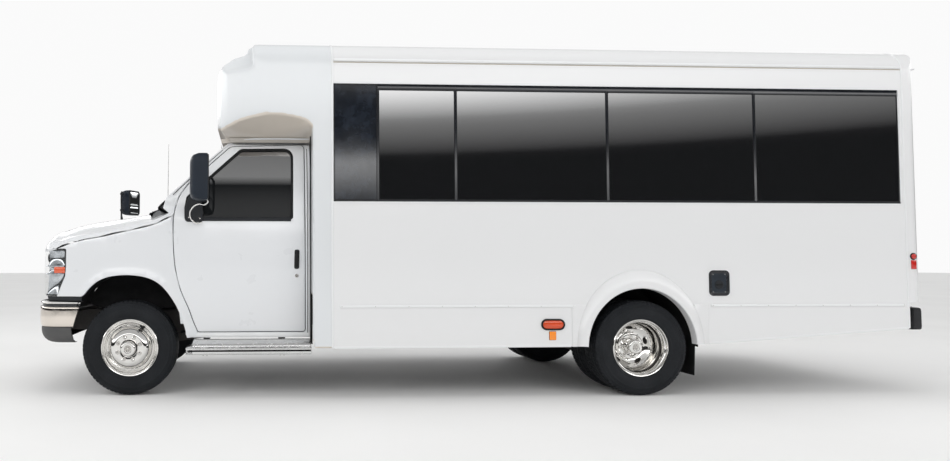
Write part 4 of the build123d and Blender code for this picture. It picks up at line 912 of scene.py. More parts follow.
ARCH_PTS = smooth_line([(-372, 776), (-353, 790), (-334, 815), (-295, 858), (-245, 897), (-174, 927), (-77, 942), (26, 942), (117, 928), (182, 905),
                        (234, 873), (287, 821), (326, 768), (359, 716), (385, 664), (411, 598), (431, 539), (445, 487), (451, 452)], 16)
_arch_np = np.array(ARCH_PTS)


def side_out(s, z):
    """Outward swell of the fender wall: lip round the arch, and the faint step of the body line."""
    x = float(np.interp(s if s < S_MID else NS[-1] - s, NS, NB[:, 0]))
    d = float(poly_dist(np.array([[x, z]]), _arch_np, closed=False)[0]) if x > -480 else 1e3
    w = 9.0 * math.exp(-(d / 26.0)**2) + 5.0 * math.exp(-(d / 70.0)**2)
    t = min(1.0, max(0.0, (z - 1147) / 12.0))
    w += (0.0 if x < -500 else 2.6) * (1 - t * t * (3 - 2 * t))
    w -= max(0.0, 640 - z) * 0.02
    return w


def wall(s, z, d):
    bx, by = np.interp(s, NS, NB[:, 0]), np.interp(s, NS, NB[:, 1])
    nx, ny = np.interp(s, NS, NN[:, 0]), np.interp(s, NS, NN[:, 1])
    w = d - side_out(s, z) * (1 if d < 8 else 0.9)
    return (bx + nx * w, by + ny * w, z)


def on_side(pts):
    return [(s_of_x(x), z) for x, z in pts]


def other(pts):
    return [(NS[-1] - s, z) for s, z in pts]


# --- fender walls and header, one piece over both sides
door_edge = [(534, 470), (531, 497), (505, 556), (464, 668), (396, 826), (356, 984), (339, 1142), (334, 1300)]
door_edge = smooth_line(door_edge, 16)
left_low = ([(s_of_x(x), z) for x, z in reversed(door_edge)] + on_side([(530, 456), (458, 450)])
            + on_side(list(reversed(ARCH_PTS)))
            + [(s_of_x(-400), 776), (s_of_x(-575), 776)]
            + on_side([(-540, 860), (-508, 935), (-503, 1000), (-500, 1136), (-504, 1146), (-516, 1152)])
            + [(s_of_y(-860), 1152), (s_of_y(-700), 1152), (s_of_y(-560), 1152), (s_of_y(-548), 1160), (s_of_y(-540), 1182)])
s_a = s_of_x(338)
idx = [i for i in range(len(NS)) if s_a < NS[i] < NS[-1] - s_a]
top_edge = [(NS[i], rim_z(i)) for i in idx]
low = left_low + other(left_low[::-1])
wall_outline = low + top_edge[::-1]
_top = np.array(top_edge)


def wall_mask(u, v):
    zt = np.interp(u, _top[:, 0], _top[:, 1])
    return 0.0 if v > zt - 2.0 else 1.0


fender = Mesh()
fender.skin(wall_outline, wall, "cab_paint", r=4.5, depth=30, step=42, edge=17.5, mask=wall_mask)
# --- tops round the hood
HOOD_OUT = rounded([(-655, -560), (-655, 560), (-560, 700), (-300, 762), (152, 800), (152, -800), (-300, -762), (-560, -700)],
                   [60, 60, 70, 120, 0, 0, 120, 70], 7)
hood_line = resample(ccw(HOOD_OUT), 22)
hl = [p for p in hood_line if p[0] < 150]
k0 = max(range(len(hl)), key=lambda i: math.hypot(hl[i][0] - hl[i - 1][0], hl[i][1] - hl[i - 1][1]))
hl = hl[k0:] + hl[:k0]
if hl[0][1] < hl[-1][1]:
    hl = hl[::-1]                                     # from rear right round the front to rear left
rim_pts = [tuple(NB[i]) for i in idx]
poly = rim_pts + [(346, 1000), (350, 808), (158, 808)] + hl + [(158, -808), (350, -808), (346, -1000)]
lines, kk = [], 6
for k in range(1, kk + 1):
    a = math.pi / 2 * k / kk
    lines.append([tuple(NB[i] + NN[i] * NR[i] * (1 - math.cos(a))) for i in idx[2:-2]])
hl_np = np.array(hl)
def near_hood(p):
    return float(poly_dist(np.array([p]), hl_np, closed=False)[0])
c_h = np.array([-250.0, 0.0])
for o in (1.5, 5.0):
    ln = []
    for i in range(1, len(hl) - 1):
        t = hl_np[i + 1] - hl_np[i - 1]
        n = np.array([t[1], -t[0]]); n /= np.linalg.norm(n)
        if n.dot(hl_np[i] - c_h) < 0:
            n = -n
        ln.append(tuple(hl_np[i] + n * o))
    lines.append(ln)
pts = [(x, y) for x in np.arange(-600, 350, 38) for y in np.arange(-990, 991, 36)]
pts = np.array(pts)
ok = in_poly(pts, poly) & (poly_dist(pts, poly) > 14)
pts = pts[ok]
co, tri, src = triangulate([poly], pts, poly, [], lines)
zs = []
for c in co:
    z = nose_z(c[0], c[1])
    dh = near_hood(c)
    if dh < 5.0 and c[0] < 148:
        z -= 3.6 * (1 - dh / 5.0)**1.6
    zs.append(z)
fender.add([(c[0], c[1], z) for c, z in zip(co, zs)], [tuple(t) for t in tri], "cab_paint")
rows = [[(p[0], p[1], nose_z(*p) - 3.6) for p in hl], [(p[0], p[1], nose_z(*p) - 30) for p in hl]]
fender.ribbon(rows, "cab_paint", flip=True)
fender.done("fender_skin", "vehicle_body", slot="cab_paint", replaces=("front_fenders",), weld=0.6, angle=38)

# --- hood with its inner panel
hood = Mesh()
HO = inset(ccw(HOOD_OUT), 3.0)
hood.skin(HO, lambda u, v, d: (u, v, nose_z(u, v) - d), "cab_paint", r=4.0, depth=26, step=40, edge=22)
HI = inset(ccw(HOOD_OUT), 26.0)
def under(u, v, d):
    e = float(poly_dist(np.array([[u, v]]), _hi)[0])
    g = 9.0 * min(1.0, e / 40.0) - (7.0 if 70 < e < 110 or (abs(v) < 25 and e > 110) else 0.0)
    return (u, v, nose_z(u, v) - 26 + g)
_hi = np.array(HI)
rows = [[(p[0], p[1], nose_z(*p) - 26) for p in HO], [(p[0], p[1], nose_z(*p) - 26) for p in HI]]
hood.ribbon(rows, "cab_paint", close_v=True)
hood.skin(HI, under, "cab_paint", r=0, depth=0, step=24, edge=22, outer_turn=False)
for y in (-600, 600):
    hood.box(118, 148, y - 22, y + 22, 1392, 1428, "frame_black", r=3)
hood.box(-640, -600, -28, 28, 1228, 1262, "frame_black", r=3)
hood.done("hood_panel", "hood", slot="cab_paint", replaces=("hood",), angle=38)

# --- inner structure: wheel liners, radiator support, filler strips
inner = Mesh()
LINER = smooth_line([(-412, 700), (-396, 745), (-374, 792), (-350, 828), (-305, 874), (-250, 918), (-176, 946), (-77, 959), (26, 959), (120, 946),
                     (188, 921), (244, 887), (299, 834), (338, 779), (372, 722), (398, 668), (424, 600), (444, 540), (458, 490), (462, 455)], 22)
for side in (-1, 1):
    rows = []
    for j, y in enumerate(np.linspace(566, 996, 26)):
        rows.append([(x, side * y, z - 5.0 * max(0.0, math.sin(j * 1.25)) * (1 if 2 < i < len(LINER) - 3 else 0) * (0.4 + 0.6 * (i % 9 > 3)))
                     for i, (x, z) in enumerate(LINER)])
    inner.ribbon(rows, "liner", flip=side > 0)
    # splash wall towards the engine with an opening for the axle
    inner.skin([(-412, 700), (-374, 792), (-305, 874), (-176, 946), (26, 959), (188, 921), (299, 834), (398, 668), (300, 660), (-300, 660)],
               lambda u, v, d, side=side: (u, side * (566 + d), v), "liner", r=0, depth=6, step=90, edge=60)
    # black filler between bumper and fender, and the strip under the headlamp
    rows = []
    for s, (x, _) in [(s_of_x(x), (x, 0)) for x in np.linspace(-372, -660, 18)]:
        rows.append([wall(s, z, d) for z, d in ((778, 6), (778, 3), (772, 2), (744, 12), (736, 40), (736, 90))])
    m2 = Mesh().ribbon(rows, "trim_black")
    inner.join(m2 if side < 0 else m2.mirrored())
inner.box(-655, -612, -556, 556, 780, 832, "frame_black", r=4)
inner.box(-655, -612, -900, 900, 1158, 1182, "frame_black", r=4)
for y in (-560, 540):
    inner.box(-655, -612, y, y + 20, 780, 1180, "frame_black", r=4)
# radiator core with fine fins, and the lock stay
inner.box(-608, -560, -520, 520, 800, 1150, "engine_iron", r=3)
for z in np.arange(812, 1145, 11.0):
    inner.box(-611, -607, -512, 512, z, z + 4.5, "chrome_dull", r=0)
inner.box(-640, -622, -12, 12, 830, 1160, "frame_black", r=2)
inner.done("nose_inner", "vehicle_body", slot="frame_black")

# --- headlamps
lampm, bezel = Mesh(), Mesh()
def lamp_outline(g):
    return ([(s_of_x(-577 - 0), 779 + g), ] + on_side([(-544 - g * 0.8, 862), (-512 - g, 936), (-506 - g, 1000), (-504 - g, 1134 - g * 0.4),
            (-508 - g, 1143 - g), (-520 - g, 1148.5 - g)]) + [(s_of_y(-860), 1148.5 - g), (s_of_y(-700), 1148.5 - g), (s_of_y(-566), 1148.5 - g),
            (s_of_y(-566) - g, 1000), (s_of_y(-566) - g, 779 + g)])
LO = lamp_outline(0)
LI = lamp_outline(13)
lampm.skin(LO, lambda s, z, d: wall(s, z, d - 1.0 - 5.0 * math.sin(math.pi * min(1, max(0, (z - 779) / 370.0)))), "lens", r=7, depth=16, step=45, edge=20, seg=4)
# bezel: black ring that closes the gap to the bucket
lo, li = ccw(resample(LO, 20)), ccw(resample(LI, 20))
m2 = Mesh()
m2.skin(LO, lambda s, z, d: wall(s, z, d + 10), "seal", holes=[LI], r=2.0, depth=46, step=500, edge=18, outer_turn=True)
bezel.join(m2)
# bucket: three chambers, each a shallow bowl, on a chrome back
chambers = [(1018, 1140), (956, 1010), (790, 948)]
S0, S1 = s_of_x(-520), s_of_y(-574)
def bowl_rows(z0_, z1_, n_s=60, n_z=16):
    rows = []
    for a in np.linspace(0, 1, n_s):
        row = []
        for b in np.linspace(0, 1, n_z):
            z = z0_ + (z1_ - z0_) * b
            s_rear = s_of_x(-520 - max(0.0, (936 - z)) * 0.42)
            s = s_rear + (S1 - s_rear) * a
            cell = (a * 3) % 1.0
            deep = 18 + 34 * (math.sin(math.pi * cell)**0.8) * (math.sin(math.pi * b)**0.6)
            row.append(wall(s, z, deep))
        rows.append(row)
    return rows
for z0_, z1_ in chambers:
    bezel.ribbon(bowl_rows(z0_, z1_), "lamp_chrome")
for z in (1014, 952):
    rows = []
    for a in np.linspace(0, 1, 40):
        s_rear = s_of_x(-520 - max(0.0, (936 - z)) * 0.42)
        s = s_rear + (S1 - s_rear) * a
        rows.append([wall(s, z + dz, dd) for dz, dd in ((6, 24), (5, 8), (0, 4), (-5, 8), (-6, 24))])
    bezel.ribbon(rows, "lamp_chrome")
# bulbs and amber block
rows = []
for a in np.linspace(0, 1, 14):
    s = s_of_x(-512 - 92 * a)
    rows.append([wall(s, 984 + dz, dd - (1.5 if i % 2 else 0)) for i, (dz, dd) in
                 enumerate([(24, 26), (24, 9), (16, 6), (8, 5), (0, 5), (-8, 5), (-16, 6), (-24, 9), (-24, 26)])])
bezel.ribbon(rows, "amber")
for f in (0, len(rows) - 1):
    base = len(bezel.v) - len(rows) * 9 + f * 9
    bezel.f.append(tuple(base + j for j in range(9))); bezel.k.append(bezel.keys.index("amber"))
for yy, zz, rr in ((-640, 1080, 34), (-640, 868, 42), (-740, 1080, 30)):
    s = s_of_y(yy)
    c = wall(s, zz, 30)
    bezel.lathe([(0, rr), (14, rr * 1.02), (18, rr * 0.9), (12, rr * 0.75), (16, rr * 0.4), (18, 0)], c, "chrome_dull", axis="x", n=40, side=-1)
    bezel.lathe([(2, rr * 1.05), (16, rr * 1.12), (17, rr * 1.05)], c, "dark", axis="x", n=40, side=-1)
lamps_both = Mesh().join(lampm).join(lampm.mirrored())
lamps_both.done("headlamp_lenses", "vehicle_body", slot="lamp_lens", replaces=("headlights",))
bz = Mesh().join(bezel).join(bezel.mirrored())
bz.done("headlamp_buckets", "vehicle_body", slot="lamp_lens")

# --- grille: chrome surround, three crowned bars, dark mesh behind
grille = Mesh()
G = rounded([(-536, 1168), (536, 1168), (520, 796), (-520, 796)], 34, 7)
G = resample(ccw(G), 30)
prof = [(0, 17), (9, 15), (15, 8), (17, 0), (15, -8), (9, -15), (0, -17), (-14, -17), (-14, 17)]
grille.sweep([(-716 - 6 * math.cos(u / 536 * 1.2), u, v) for u, v in G], (-1, 0, 0), prof, "lamp_chrome", closed=True)
for z in (884, 982, 1080):
    rows = []
    for y in np.linspace(-520, 520, 41):
        x = -718 - 8 * math.cos(y / 520 * 1.3)
        h = 24
        rows.append([(x + a, y, z + b) for a, b in ((14, h), (3, h), (-5, h - 5), (-9, h * 0.5), (-10, 0), (-9, -h * 0.5), (-5, -h + 5), (3, -h), (14, -h))])
    grille.ribbon(rows, "lamp_chrome", close_v=True)
for k in range(27):
    y = -507 + k * 39
    grille.box(-706, -700, y - 2.5, y + 2.5, 800, 1164, "trim_black", r=0)
for k in range(12):
    z = 812 + k * 30.5
    grille.box(-708, -702, -516, 516, z - 2.5, z + 2.5, "trim_black", r=0)
grille.box(-694, -690, -525, 525, 796, 1168, "dark", r=0)
grille.done("grille_bars", "vehicle_body", slot="bumper_chrome", replaces=("grille",))

# --- bumper and lower valance
BP = smooth_line([(-330, -984), (-400, -984), (-520, -980), (-610, -968), (-668, -938), (-708, -896), (-742, -822), (-762, -700), (-774, -500), (-782, -250), (-785, 0)], 16)
BP = np.array(BP + [(x, -y) for x, y in reversed(BP[:-1])])
BS = np.r_[0, np.cumsum(np.linalg.norm(np.diff(BP, axis=0), axis=1))]
_t = np.gradient(BP, axis=0); _t /= np.linalg.norm(_t, axis=1)[:, None]
BN = np.c_[-_t[:, 1], _t[:, 0]]                     # outward


def belt(levels, x_end, key, n=150, shrink=0.0):
    """Band round the nose: levels of (z, out); each level ends at x_end(z)."""
    m = Mesh()
    rows = []
    cols = []
    for z, out in levels:
        s0_ = float(np.interp(-x_end(z), -BP[:len(BP) // 2, 0], BS[:len(BP) // 2]))
        ss = np.linspace(s0_, BS[-1] - s0_, n)
        col = []
        for s in ss:
            bx, by = np.interp(s, BS, BP[:, 0]), np.interp(s, BS, BP[:, 1])
            nx, ny = np.interp(s, BS, BN[:, 0]), np.interp(s, BS, BN[:, 1])
            o = out - shrink
            col.append((bx + nx * o, by + ny * o, z))
        cols.append(col)
    m.ribbon(cols, key)
    for j in (0, n - 1):
        ring = [c[j] for c in cols]
        inn = [(p[0], p[1] * 0.988 if abs(p[1]) > 100 else p[1], p[2]) for p in ring]
        m.ribbon([ring, inn], key)
    return m


def bumper_end(z):
    return -384 - (735 - z) * 0.305


bump = belt([(737, -64), (738, -30), (737, -12), (733, -4), (727, -0.5), (721, 0), (718, -2.5), (717, -6)], bumper_end, "chrome", shrink=5.0)
bump.join(belt([(717, -6), (712, -10), (700, -10.5), (695, -7)], bumper_end, "frame_gloss", shrink=5.0))
# bumper face in warm-tinted chrome: painted reflection of the ground
bump.join(belt([(695, -7), (693.5, -1.5), (690, 2.2), (680, 3.6), (660, 4.2), (630, 4.8), (600, 5), (565, 3), (548, -1), (538, -7), (533, -16), (531, -30),
                (531, -60)], bumper_end, "chrome_painted_ground_reflection", shrink=5.0))
bump.join(belt([(733, -22), (700, -26), (640, -20), (560, -20), (536, -34)], lambda z: bumper_end(z) + 0.0, "frame_black"))
for y in (-368, 368):
    bump.box(-770, -640, y - 9, y + 9, 560, 600, "frame_black", r=2)
bump.done("bumper_front", "vehicle_body", slot="bumper_chrome", replaces=("front_bumper",), angle=50)
val = belt([(533, -40), (533, -17), (528, -13), (505, -13), (480, -17), (458, -25), (438, -39), (422, -58), (411, -82), (406, -106), (405, -140), (407, -170)],
           lambda z: -462 + (530 - z) * 0.1, "valance", n=120)
val.join(belt([(528, -24), (470, -34), (430, -62), (412, -110)], lambda z: -462 + (530 - z) * 0.1, "dark", n=60))
for y in np.linspace(-640, 640, 9):
    screw(val, (float(np.interp(y, BP[:, 1], BP[:, 0])) + 14, y, 516), (-1, 0, 0.1), 6, "seal")
# lower air opening with slats
for z in (452, 468, 484, 500):
    rows = []
    for y in np.linspace(-330, 330, 25):
        x = float(np.interp(y, BP[:, 1], BP[:, 0])) + (14 if z > 490 else 22 if z > 470 else 30)
        rows.append([(x - 3, y, z + 5), (x - 6, y, z), (x - 3, y, z - 5), (x + 10, y, z - 4), (x + 10, y, z + 4)])
    val.ribbon(rows, "seal", close_v=True)
val.done("valance_front", "vehicle_body", slot="trim_black", replaces=("front_valance",), angle=50)
# ------------------------------------------------------------------ remeshed copies of moulded CAD nodes
def moulded(name, nodes, body, key, voxel=10.0, smooth=4, replaces=True, pick=None, keys=(), angle=60, keep=None, ratio=None):
    """Copies CAD nodes, melts their edges with a fine voxel skin and relaxes it, as moulded glass fibre or rubber looks."""
    if isinstance(nodes, str):
        nodes = (nodes,)
    b = bmesh.new()
    for n in nodes:
        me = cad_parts[n].data.copy()
        me.transform(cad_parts[n].matrix_world)
        b.from_mesh(me)
        bpy.data.meshes.remove(me)
    if keep is not None:
        bmesh.ops.remove_doubles(b, verts=b.verts, dist=1e-5)
    me = bpy.data.meshes.new(name)
    b.to_mesh(me)
    b.free()
    ob = bpy.data.objects.new(name, me)
    scene.collection.objects.link(ob)
    rm = ob.modifiers.new("skin", "REMESH")
    rm.mode = "VOXEL"
    rm.voxel_size = voxel / 1000.0
    rm.use_smooth_shade = True
    if smooth:
        sm = ob.modifiers.new("relax", "SMOOTH")
        sm.factor = 0.5
        sm.iterations = smooth
    if ratio:
        dc = ob.modifiers.new("thin", "DECIMATE")
        dc.ratio = ratio
    dg = bpy.context.evaluated_depsgraph_get()
    dg.update()
    done = bpy.data.meshes.new_from_object(ob.evaluated_get(dg))
    ob.modifiers.clear()
    ob.data = done
    done.materials.clear()
    allk = (key,) + tuple(keys)
    for k in allk:
        done.materials.append(M[k])
    if pick:
        n = len(done.polygons)
        co, no = np.zeros(n * 3), np.zeros(n * 3)
        done.polygons.foreach_get("center", co)
        done.polygons.foreach_get("normal", no)
        co, no = co.reshape(-1, 3) * 1000.0, no.reshape(-1, 3)
        co[:, 0] -= SHIFT
        done.polygons.foreach_set("material_index", pick(co, no).astype(np.int32))
    else:
        done.polygons.foreach_set("material_index", np.zeros(len(done.polygons), np.int32))
    done.polygons.foreach_set("use_smooth", np.ones(len(done.polygons), bool))
    done.name = name
    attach(ob, body)
    if replaces:
        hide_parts(*nodes)
    return ob


def smooth01(t):
    t = min(1.0, max(0.0, t))
    return t * t * (3 - 2 * t)


# ------------------------------------------------------------------ cab sides and doors
def cab_side(x, z):
    """Half-width of the cab side: flush with the fender in front, faint step at the body line, crease low down."""
    y = float(cab_y(z))
    y += 2.6 * (1 - smooth01((z - 1147) / 12.0))
    y -= 1.6 * (1 - smooth01((z - 742) / 22.0))
    y += max(0.0, 1011.5 - float(cab_y(z))) * smooth01((640 - x) / 290.0) * (1 - smooth01((z - 1385) / 120.0)) * (1 if z > 1150 else 0)
    return y


def side_lift(side, extra=0.0):
    return lambda u, v, d: (u, side * (cab_side(u, v) + extra - d), v)


DOOR = [(1384, 497), (538, 497), (511, 556), (470, 668), (402, 826), (362, 984), (345, 1142), (340, 1300), (352, 1464),
        (384, 1568), (452, 1668), (790, 1986), (1380, 2008)]
_front = smooth_line(DOOR[1:11], 22)
DOOR_S = [(1384, 497)] + _front + [(790, 1986), (1380, 2008)]
DOOR_S = rounded(DOOR_S, [18, 20] + [0] * (len(_front) - 2) + [60, 70, 34], 5)
WIN_OUT = rounded([(426, 1374), (1262, 1376), (1290, 1400), (1294, 1975), (866, 1968), (436, 1566), (422, 1480)],
                  [26, 14, 16, 78, 60, 40, 30], 7)
WIN_GLASS = inset(ccw(resample(WIN_OUT, 18)), 12)
for side, sname in SIDES:
    body = ("driver_door", "passenger_door")[side > 0]
    m = Mesh()
    m.skin(DOOR_S, side_lift(side), "cab_paint", holes=[inset(ccw(resample(WIN_OUT, 18)), 6)], r=4.0, depth=56, step=46, edge=18)
    # inner panel, set in from the rim, with its own trim
    lift_in = lambda u, v, d, side=side: (u, side * (cab_side(u, v) - 56 + d), v)
    m.skin(DOOR_S, lift_in, "cab_paint", holes=[inset(ccw(resample(WIN_OUT, 18)), 6)], r=0, depth=0, step=60, edge=18)
    TRIM = rounded([(1330, 560), (560, 560), (500, 700), (440, 900), (410, 1100), (410, 1330), (1330, 1340)],
                   [30, 40, 40, 40, 40, 30, 30], 5)
    m.skin(TRIM, lambda u, v, d, side=side: (u, side * (cab_side(u, v) - 66 + d), v), "dash", r=5, depth=9, step=70, edge=24)
    arm = rounded([(620, 1035), (1130, 1035), (1130, 1085), (620, 1095)], 20, 5)
    m.prism("y", arm, side * (cab_side(900, 1060) - 64), side * (cab_side(900, 1060) - 128), "dash", r=10, seg=3)
    m.tube(smooth_line([(1180, side * 938, 1130), (1200, side * 922, 1135), (1240, side * 922, 1135), (1262, side * 938, 1130)], 6), 6, "chrome", n=10)
    pocket = rounded([(600, 610), (1150, 610), (1150, 720), (600, 720)], 22, 5)
    m.prism("y", pocket, side * (cab_side(900, 660) - 64), side * (cab_side(900, 660) - 84), "dash", r=7, seg=3)
    # window seal: rubber ring that laps the skin and turns in at its inner lip
    sl = ccw(resample(WIN_OUT, 14))
    rows = []
    for o, d in ((0, 1.0), (1.5, -2.2), (5, -3.0), (12, -3.0), (17, -1.5), (20, 3.5), (21, 16), (21, 30)):
        lp = inset(sl, o)
        rows.append([(p[0], side * (cab_side(p[0], p[1]) - d), p[1]) for p in lp])
    m.ribbon(rows, "seal", close_v=True)
    # drop-glass divider line at the front quarter is not shown; belt moulding along the sill of the glass
    rows = [[(x, side * (cab_side(x, z) + o), z) for o, z in ((0, 1372), (4.5, 1375), (5.5, 1384), (4.5, 1396), (-3, 1404), (-22, 1404))]
            for x in np.linspace(452, 1272, 24)]
    m.ribbon(rows, "trim_black")
    # handle: black escutcheon and pull, lock under it
    hx, hz = 1318, 1070
    hy = cab_side(hx, hz)
    hand = rounded([(1296, 992), (1336, 992), (1340, 1146), (1300, 1146)], 14, 5)
    m.skin(hand, lambda u, v, d, side=side, hy=hy: (u, side * (hy + 5.5 - d), v), "trim_black", r=4, depth=7, step=30, edge=10)
    pull = rounded([(1303, 1006), (1330, 1006), (1332, 1134), (1306, 1134)], 10, 4)
    m.skin(pull, lambda u, v, d, side=side, hy=hy: (u, side * (hy + 5 + 14 * math.sin(math.pi * min(1, max(0, (v - 1002) / 136.0)))**0.5 - d), v),
           "seal", r=5, depth=9, step=14, edge=8)
    m.lathe([(0, 15), (3, 15), (4.5, 13), (4.5, 8.5), (2.5, 7.5), (2.5, 0)], (1317, side * cab_side(1317, 938), 938), "chrome_dull", n=28, side=side)
    m.box(1315.6, 1318.4, side * (cab_side(1317, 938) + 1.5), side * (cab_side(1317, 938) + 3.2), 932.5, 943.5, "dark", r=0)
    # hinges at the front edge
    for z in (760, 1210):
        m.box(372 if z > 900 else 452, 418 if z > 900 else 492, side * 930, side * 962, z - 34, z + 34, "cab_paint", r=4)
    m.done("door_%s_panel" % sname, body, slot="cab_paint", replaces=(body,), weld=0.4, angle=36)
    g = Mesh()
    g.skin(WIN_GLASS, lambda u, v, d, side=side: (u, side * (cab_side(u, v) - 15 - d), v), "door_glass", r=0, depth=5, step=60, edge=24, back=5)
    g.done("door_%s_window" % sname, body, slot="clear_glass", replaces=(body + "_glass",))

# --- fixed frame round each door: sill, rear pillar, roof rail and windscreen pillar
frame_m = Mesh()
for side, sname in SIDES:
    hole = inset(ccw(resample(DOOR_S, 18)), -6.5)
    low = [(1428, 452), (458, 452), (445, 500), (434, 540), (424, 575), (417, 596)]
    # the frame goes round the door: outline keeps outside the door gap everywhere
    outline = low + [(440, 640), (409, 700), (383, 760), (360, 830), (338, 900), (322, 984), (306, 1142), (300, 1300), (296, 1440), (252, 1476), (276, 1560),
                     (742, 1998), (800, 2022), (1428, 2026)]

    def shell_lift(u, v, d, side=side):
        tuck = 14.0 * smooth01((520 - u) / 60.0) * (1 if v > 560 else smooth01((v - 500) / 60.0)) * (1 - smooth01((v - 1470) / 70.0))
        return (u, side * (cab_side(u, v) - 0.5 - tuck - d), v)
    frame_m.skin(outline, shell_lift, "cab_paint", holes=[hole], r=7, depth=34, step=60, edge=20)
    # dark gap behind the door edge
    rows = []
    lp = ccw(resample(DOOR_S, 22))
    for o, d in ((-7.0, 30), (3.0, 34)):
        rows.append([(p[0], side * (cab_side(p[0], p[1]) - d), p[1]) for p in inset(lp, o)])
    frame_m.ribbon(rows, "seal", close_v=True)
    # drip gutter along the roof rail, turned down the windscreen pillar
    gp = [(1426, 2030), (1000, 2027), (826, 2022), (770, 2006), (700, 1944), (560, 1812), (420, 1680), (330, 1592)]
    gp = smooth_line(gp, 24)
    path = [(x, side * (cab_side(x, z) + 1.0), z) for x, z in gp]
    frame_m.sweep(path, (0, side, 0.35), [(-6, -7), (5, -7), (8, -3), (8, 3), (5, 6), (-6, 6)], "cab_paint")
    path = [(x + 1, side * (cab_side(x, z) + 0.5), z - 9) for x, z in gp]
    frame_m.tube(path, 3.4, "seal", n=6)
    # rear pillar seam, sill seam and rocker
    frame_m.tube([(1404, side * (cab_side(1404, z) + 0.2), z) for z in np.linspace(470, 2020, 30)], 2.6, "seal", n=6)
    frame_m.box(1424, 1432, side * (1000 if side > 0 else 1000), side * 1026, 452, 2036, "seal", r=2)
    path = [(x, side * (cab_side(x, 470) + 2), 470) for x in np.linspace(470, 1422, 12)]
    frame_m.sweep(path, (0, side, 0), [(-8, -18), (3, -18), (6, -12), (6, 10), (2, 16), (-8, 18)], "trim_white")
frame_m.done("cab_side_frame", "vehicle_body", slot="cab_paint", weld=0.4, angle=36)

# --- windscreen: bowed glass with a black border, seal, cowl and wipers
WX, WZ = 757 - 150, 2008 - 1436
WL = math.hypot(WX, WZ)
WU, WN = (WX / WL, WZ / WL), (-WZ / WL, WX / WL)


def screen(y, s, d):
    """Point on the bowed windscreen: y across, s up the slope, d behind the face."""
    half = 905 - 95 * s / WL
    bow = 30 * (1 - min(1.0, abs(y) / half)**2.4) * min(1.0, max(0.0, s - 60) / 220.0)**0.8
    o = 3.0 + bow - d
    return (150 + WU[0] * s + WN[0] * o, y, 1436 + WU[1] * s + WN[1] * o)


S_LO, S_HI = 74, WL - 34
W_OUT = rounded([(-892, S_LO), (892, S_LO), (806, S_HI), (-806, S_HI)], 46, 7)
W_IN = inset(ccw(resample(W_OUT, 30)), 44)
scr = Mesh()
scr.skin(W_OUT, lambda u, v, d: screen(u, v, d), "tint_solid", holes=[W_IN], r=2.5, depth=12, step=60, edge=26, roll_holes=False)
scr.skin(inset(ccw(resample(W_OUT, 26)), 40), lambda u, v, d: screen(u, v, d + 1.2), "screen_glass", r=0, depth=0, step=60, edge=26)
scr.done("windscreen", "vehicle_body", slot="clear_glass", replaces=("windshield",), angle=40)
trim = Mesh()
wl = ccw(resample(W_OUT, 26))
pth = [screen(u, v, -0.5) for u, v in wl]
trim.sweep(pth, (WN[0], 0, WN[1]), [(-7, -3), (1.5, -3), (4, 2), (3, 8), (-4, 12), (-10, 10)], "seal", closed=True)
# cowl panel with a grating
rows = []
for y in np.linspace(-880, 880, 45):
    b = 22 * (1 - abs(y / 900)**2.4)
    rows.append([(205, y, 1484), (199, y, 1468), (184 - b * 0.5, y, 1463), (176 - b, y, 1460), (164 - b, y, 1452), (150 - b * 0.6, y, 1446 + 10 * (1 - abs(y / 900)**2)),
                 (135, y, nose_z(135, y) + 4 if abs(y) < 800 else 1444), (128, y, (nose_z(128, y) if abs(y) < 800 else 1444) - 16)])
trim.ribbon(rows, "trim_black")
for y in np.arange(-760, 761, 19.0):
    if abs(y) > 30:
        b = 22 * (1 - abs(y / 900)**2.4)
        trim.box(140 - b * 0.4, 158 - b, y - 3, y + 3, 1452 + 8 * (1 - abs(y / 900)**2), 1461 + 8 * (1 - abs(y / 900)**2), "dark", r=0)
# wipers: spindle, arm, blade with its rubber
for y0, y1 in ((-640, -60), (90, 640)):
    base = np.array(screen(y0, 30, -14))
    trim.lathe([(0, 17), (16, 16), (22, 12), (24, 0)], tuple(base - np.array([0, 0, 14])), "seal", axis="z", n=20)
    elbow = np.array(screen(y0 + (y1 - y0) * 0.5, 60, -20))
    tip = np.array(screen(y0 + (y1 - y0) * 0.62, 70, -14))
    trim.tube(smooth_line([tuple(base), tuple((base + elbow) / 2 + np.array([-3, 0, 6])), tuple(elbow), tuple(tip)], 22), 6.5, "trim_black", n=8, flat=0.6)
    bl = [screen(y0 + (y1 - y0) * t, 62 + 22 * t, -12 - 3 * math.sin(math.pi * t)) for t in np.linspace(0.05, 1.0, 16)]
    trim.tube(bl, 5.5, "trim_black", n=8, flat=0.7)
    trim.tube([screen(y0 + (y1 - y0) * t, 60 + 22 * t, -6) for t in np.linspace(0.05, 1.0, 16)], 3.0, "seal", n=6)
# washer nozzles on the rear of the hood line
for y in (-330, 330):
    trim.lathe([(0, 15), (5, 15), (10, 10), (12, 0)], (140, y, 1470), "trim_black", axis="z", n=16)
trim.done("windscreen_trim", "vehicle_body", slot="trim_black", angle=40)

# --- antenna on the far fender
ant = Mesh()
ant.lathe([(0, 22), (6, 21), (12, 14), (20, 9), (34, 7), (38, 0)], (65, 868, nose_z(65, 868) - 3), "trim_black", axis="z", n=24)
ant.tube([(65, 868, nose_z(65, 868) + 20), (66, 868, 1720), (70, 868, 2276)], [3.2, 2.6, 1.7], "chrome_dull", n=8)
ant.lathe([(0, 1.8), (1, 3.4), (4, 4), (7, 3), (8, 0)], (70, 868, 2272), "chrome_dull", axis="z", n=12)
ant.done("antenna", "vehicle_body", slot="trim_black")


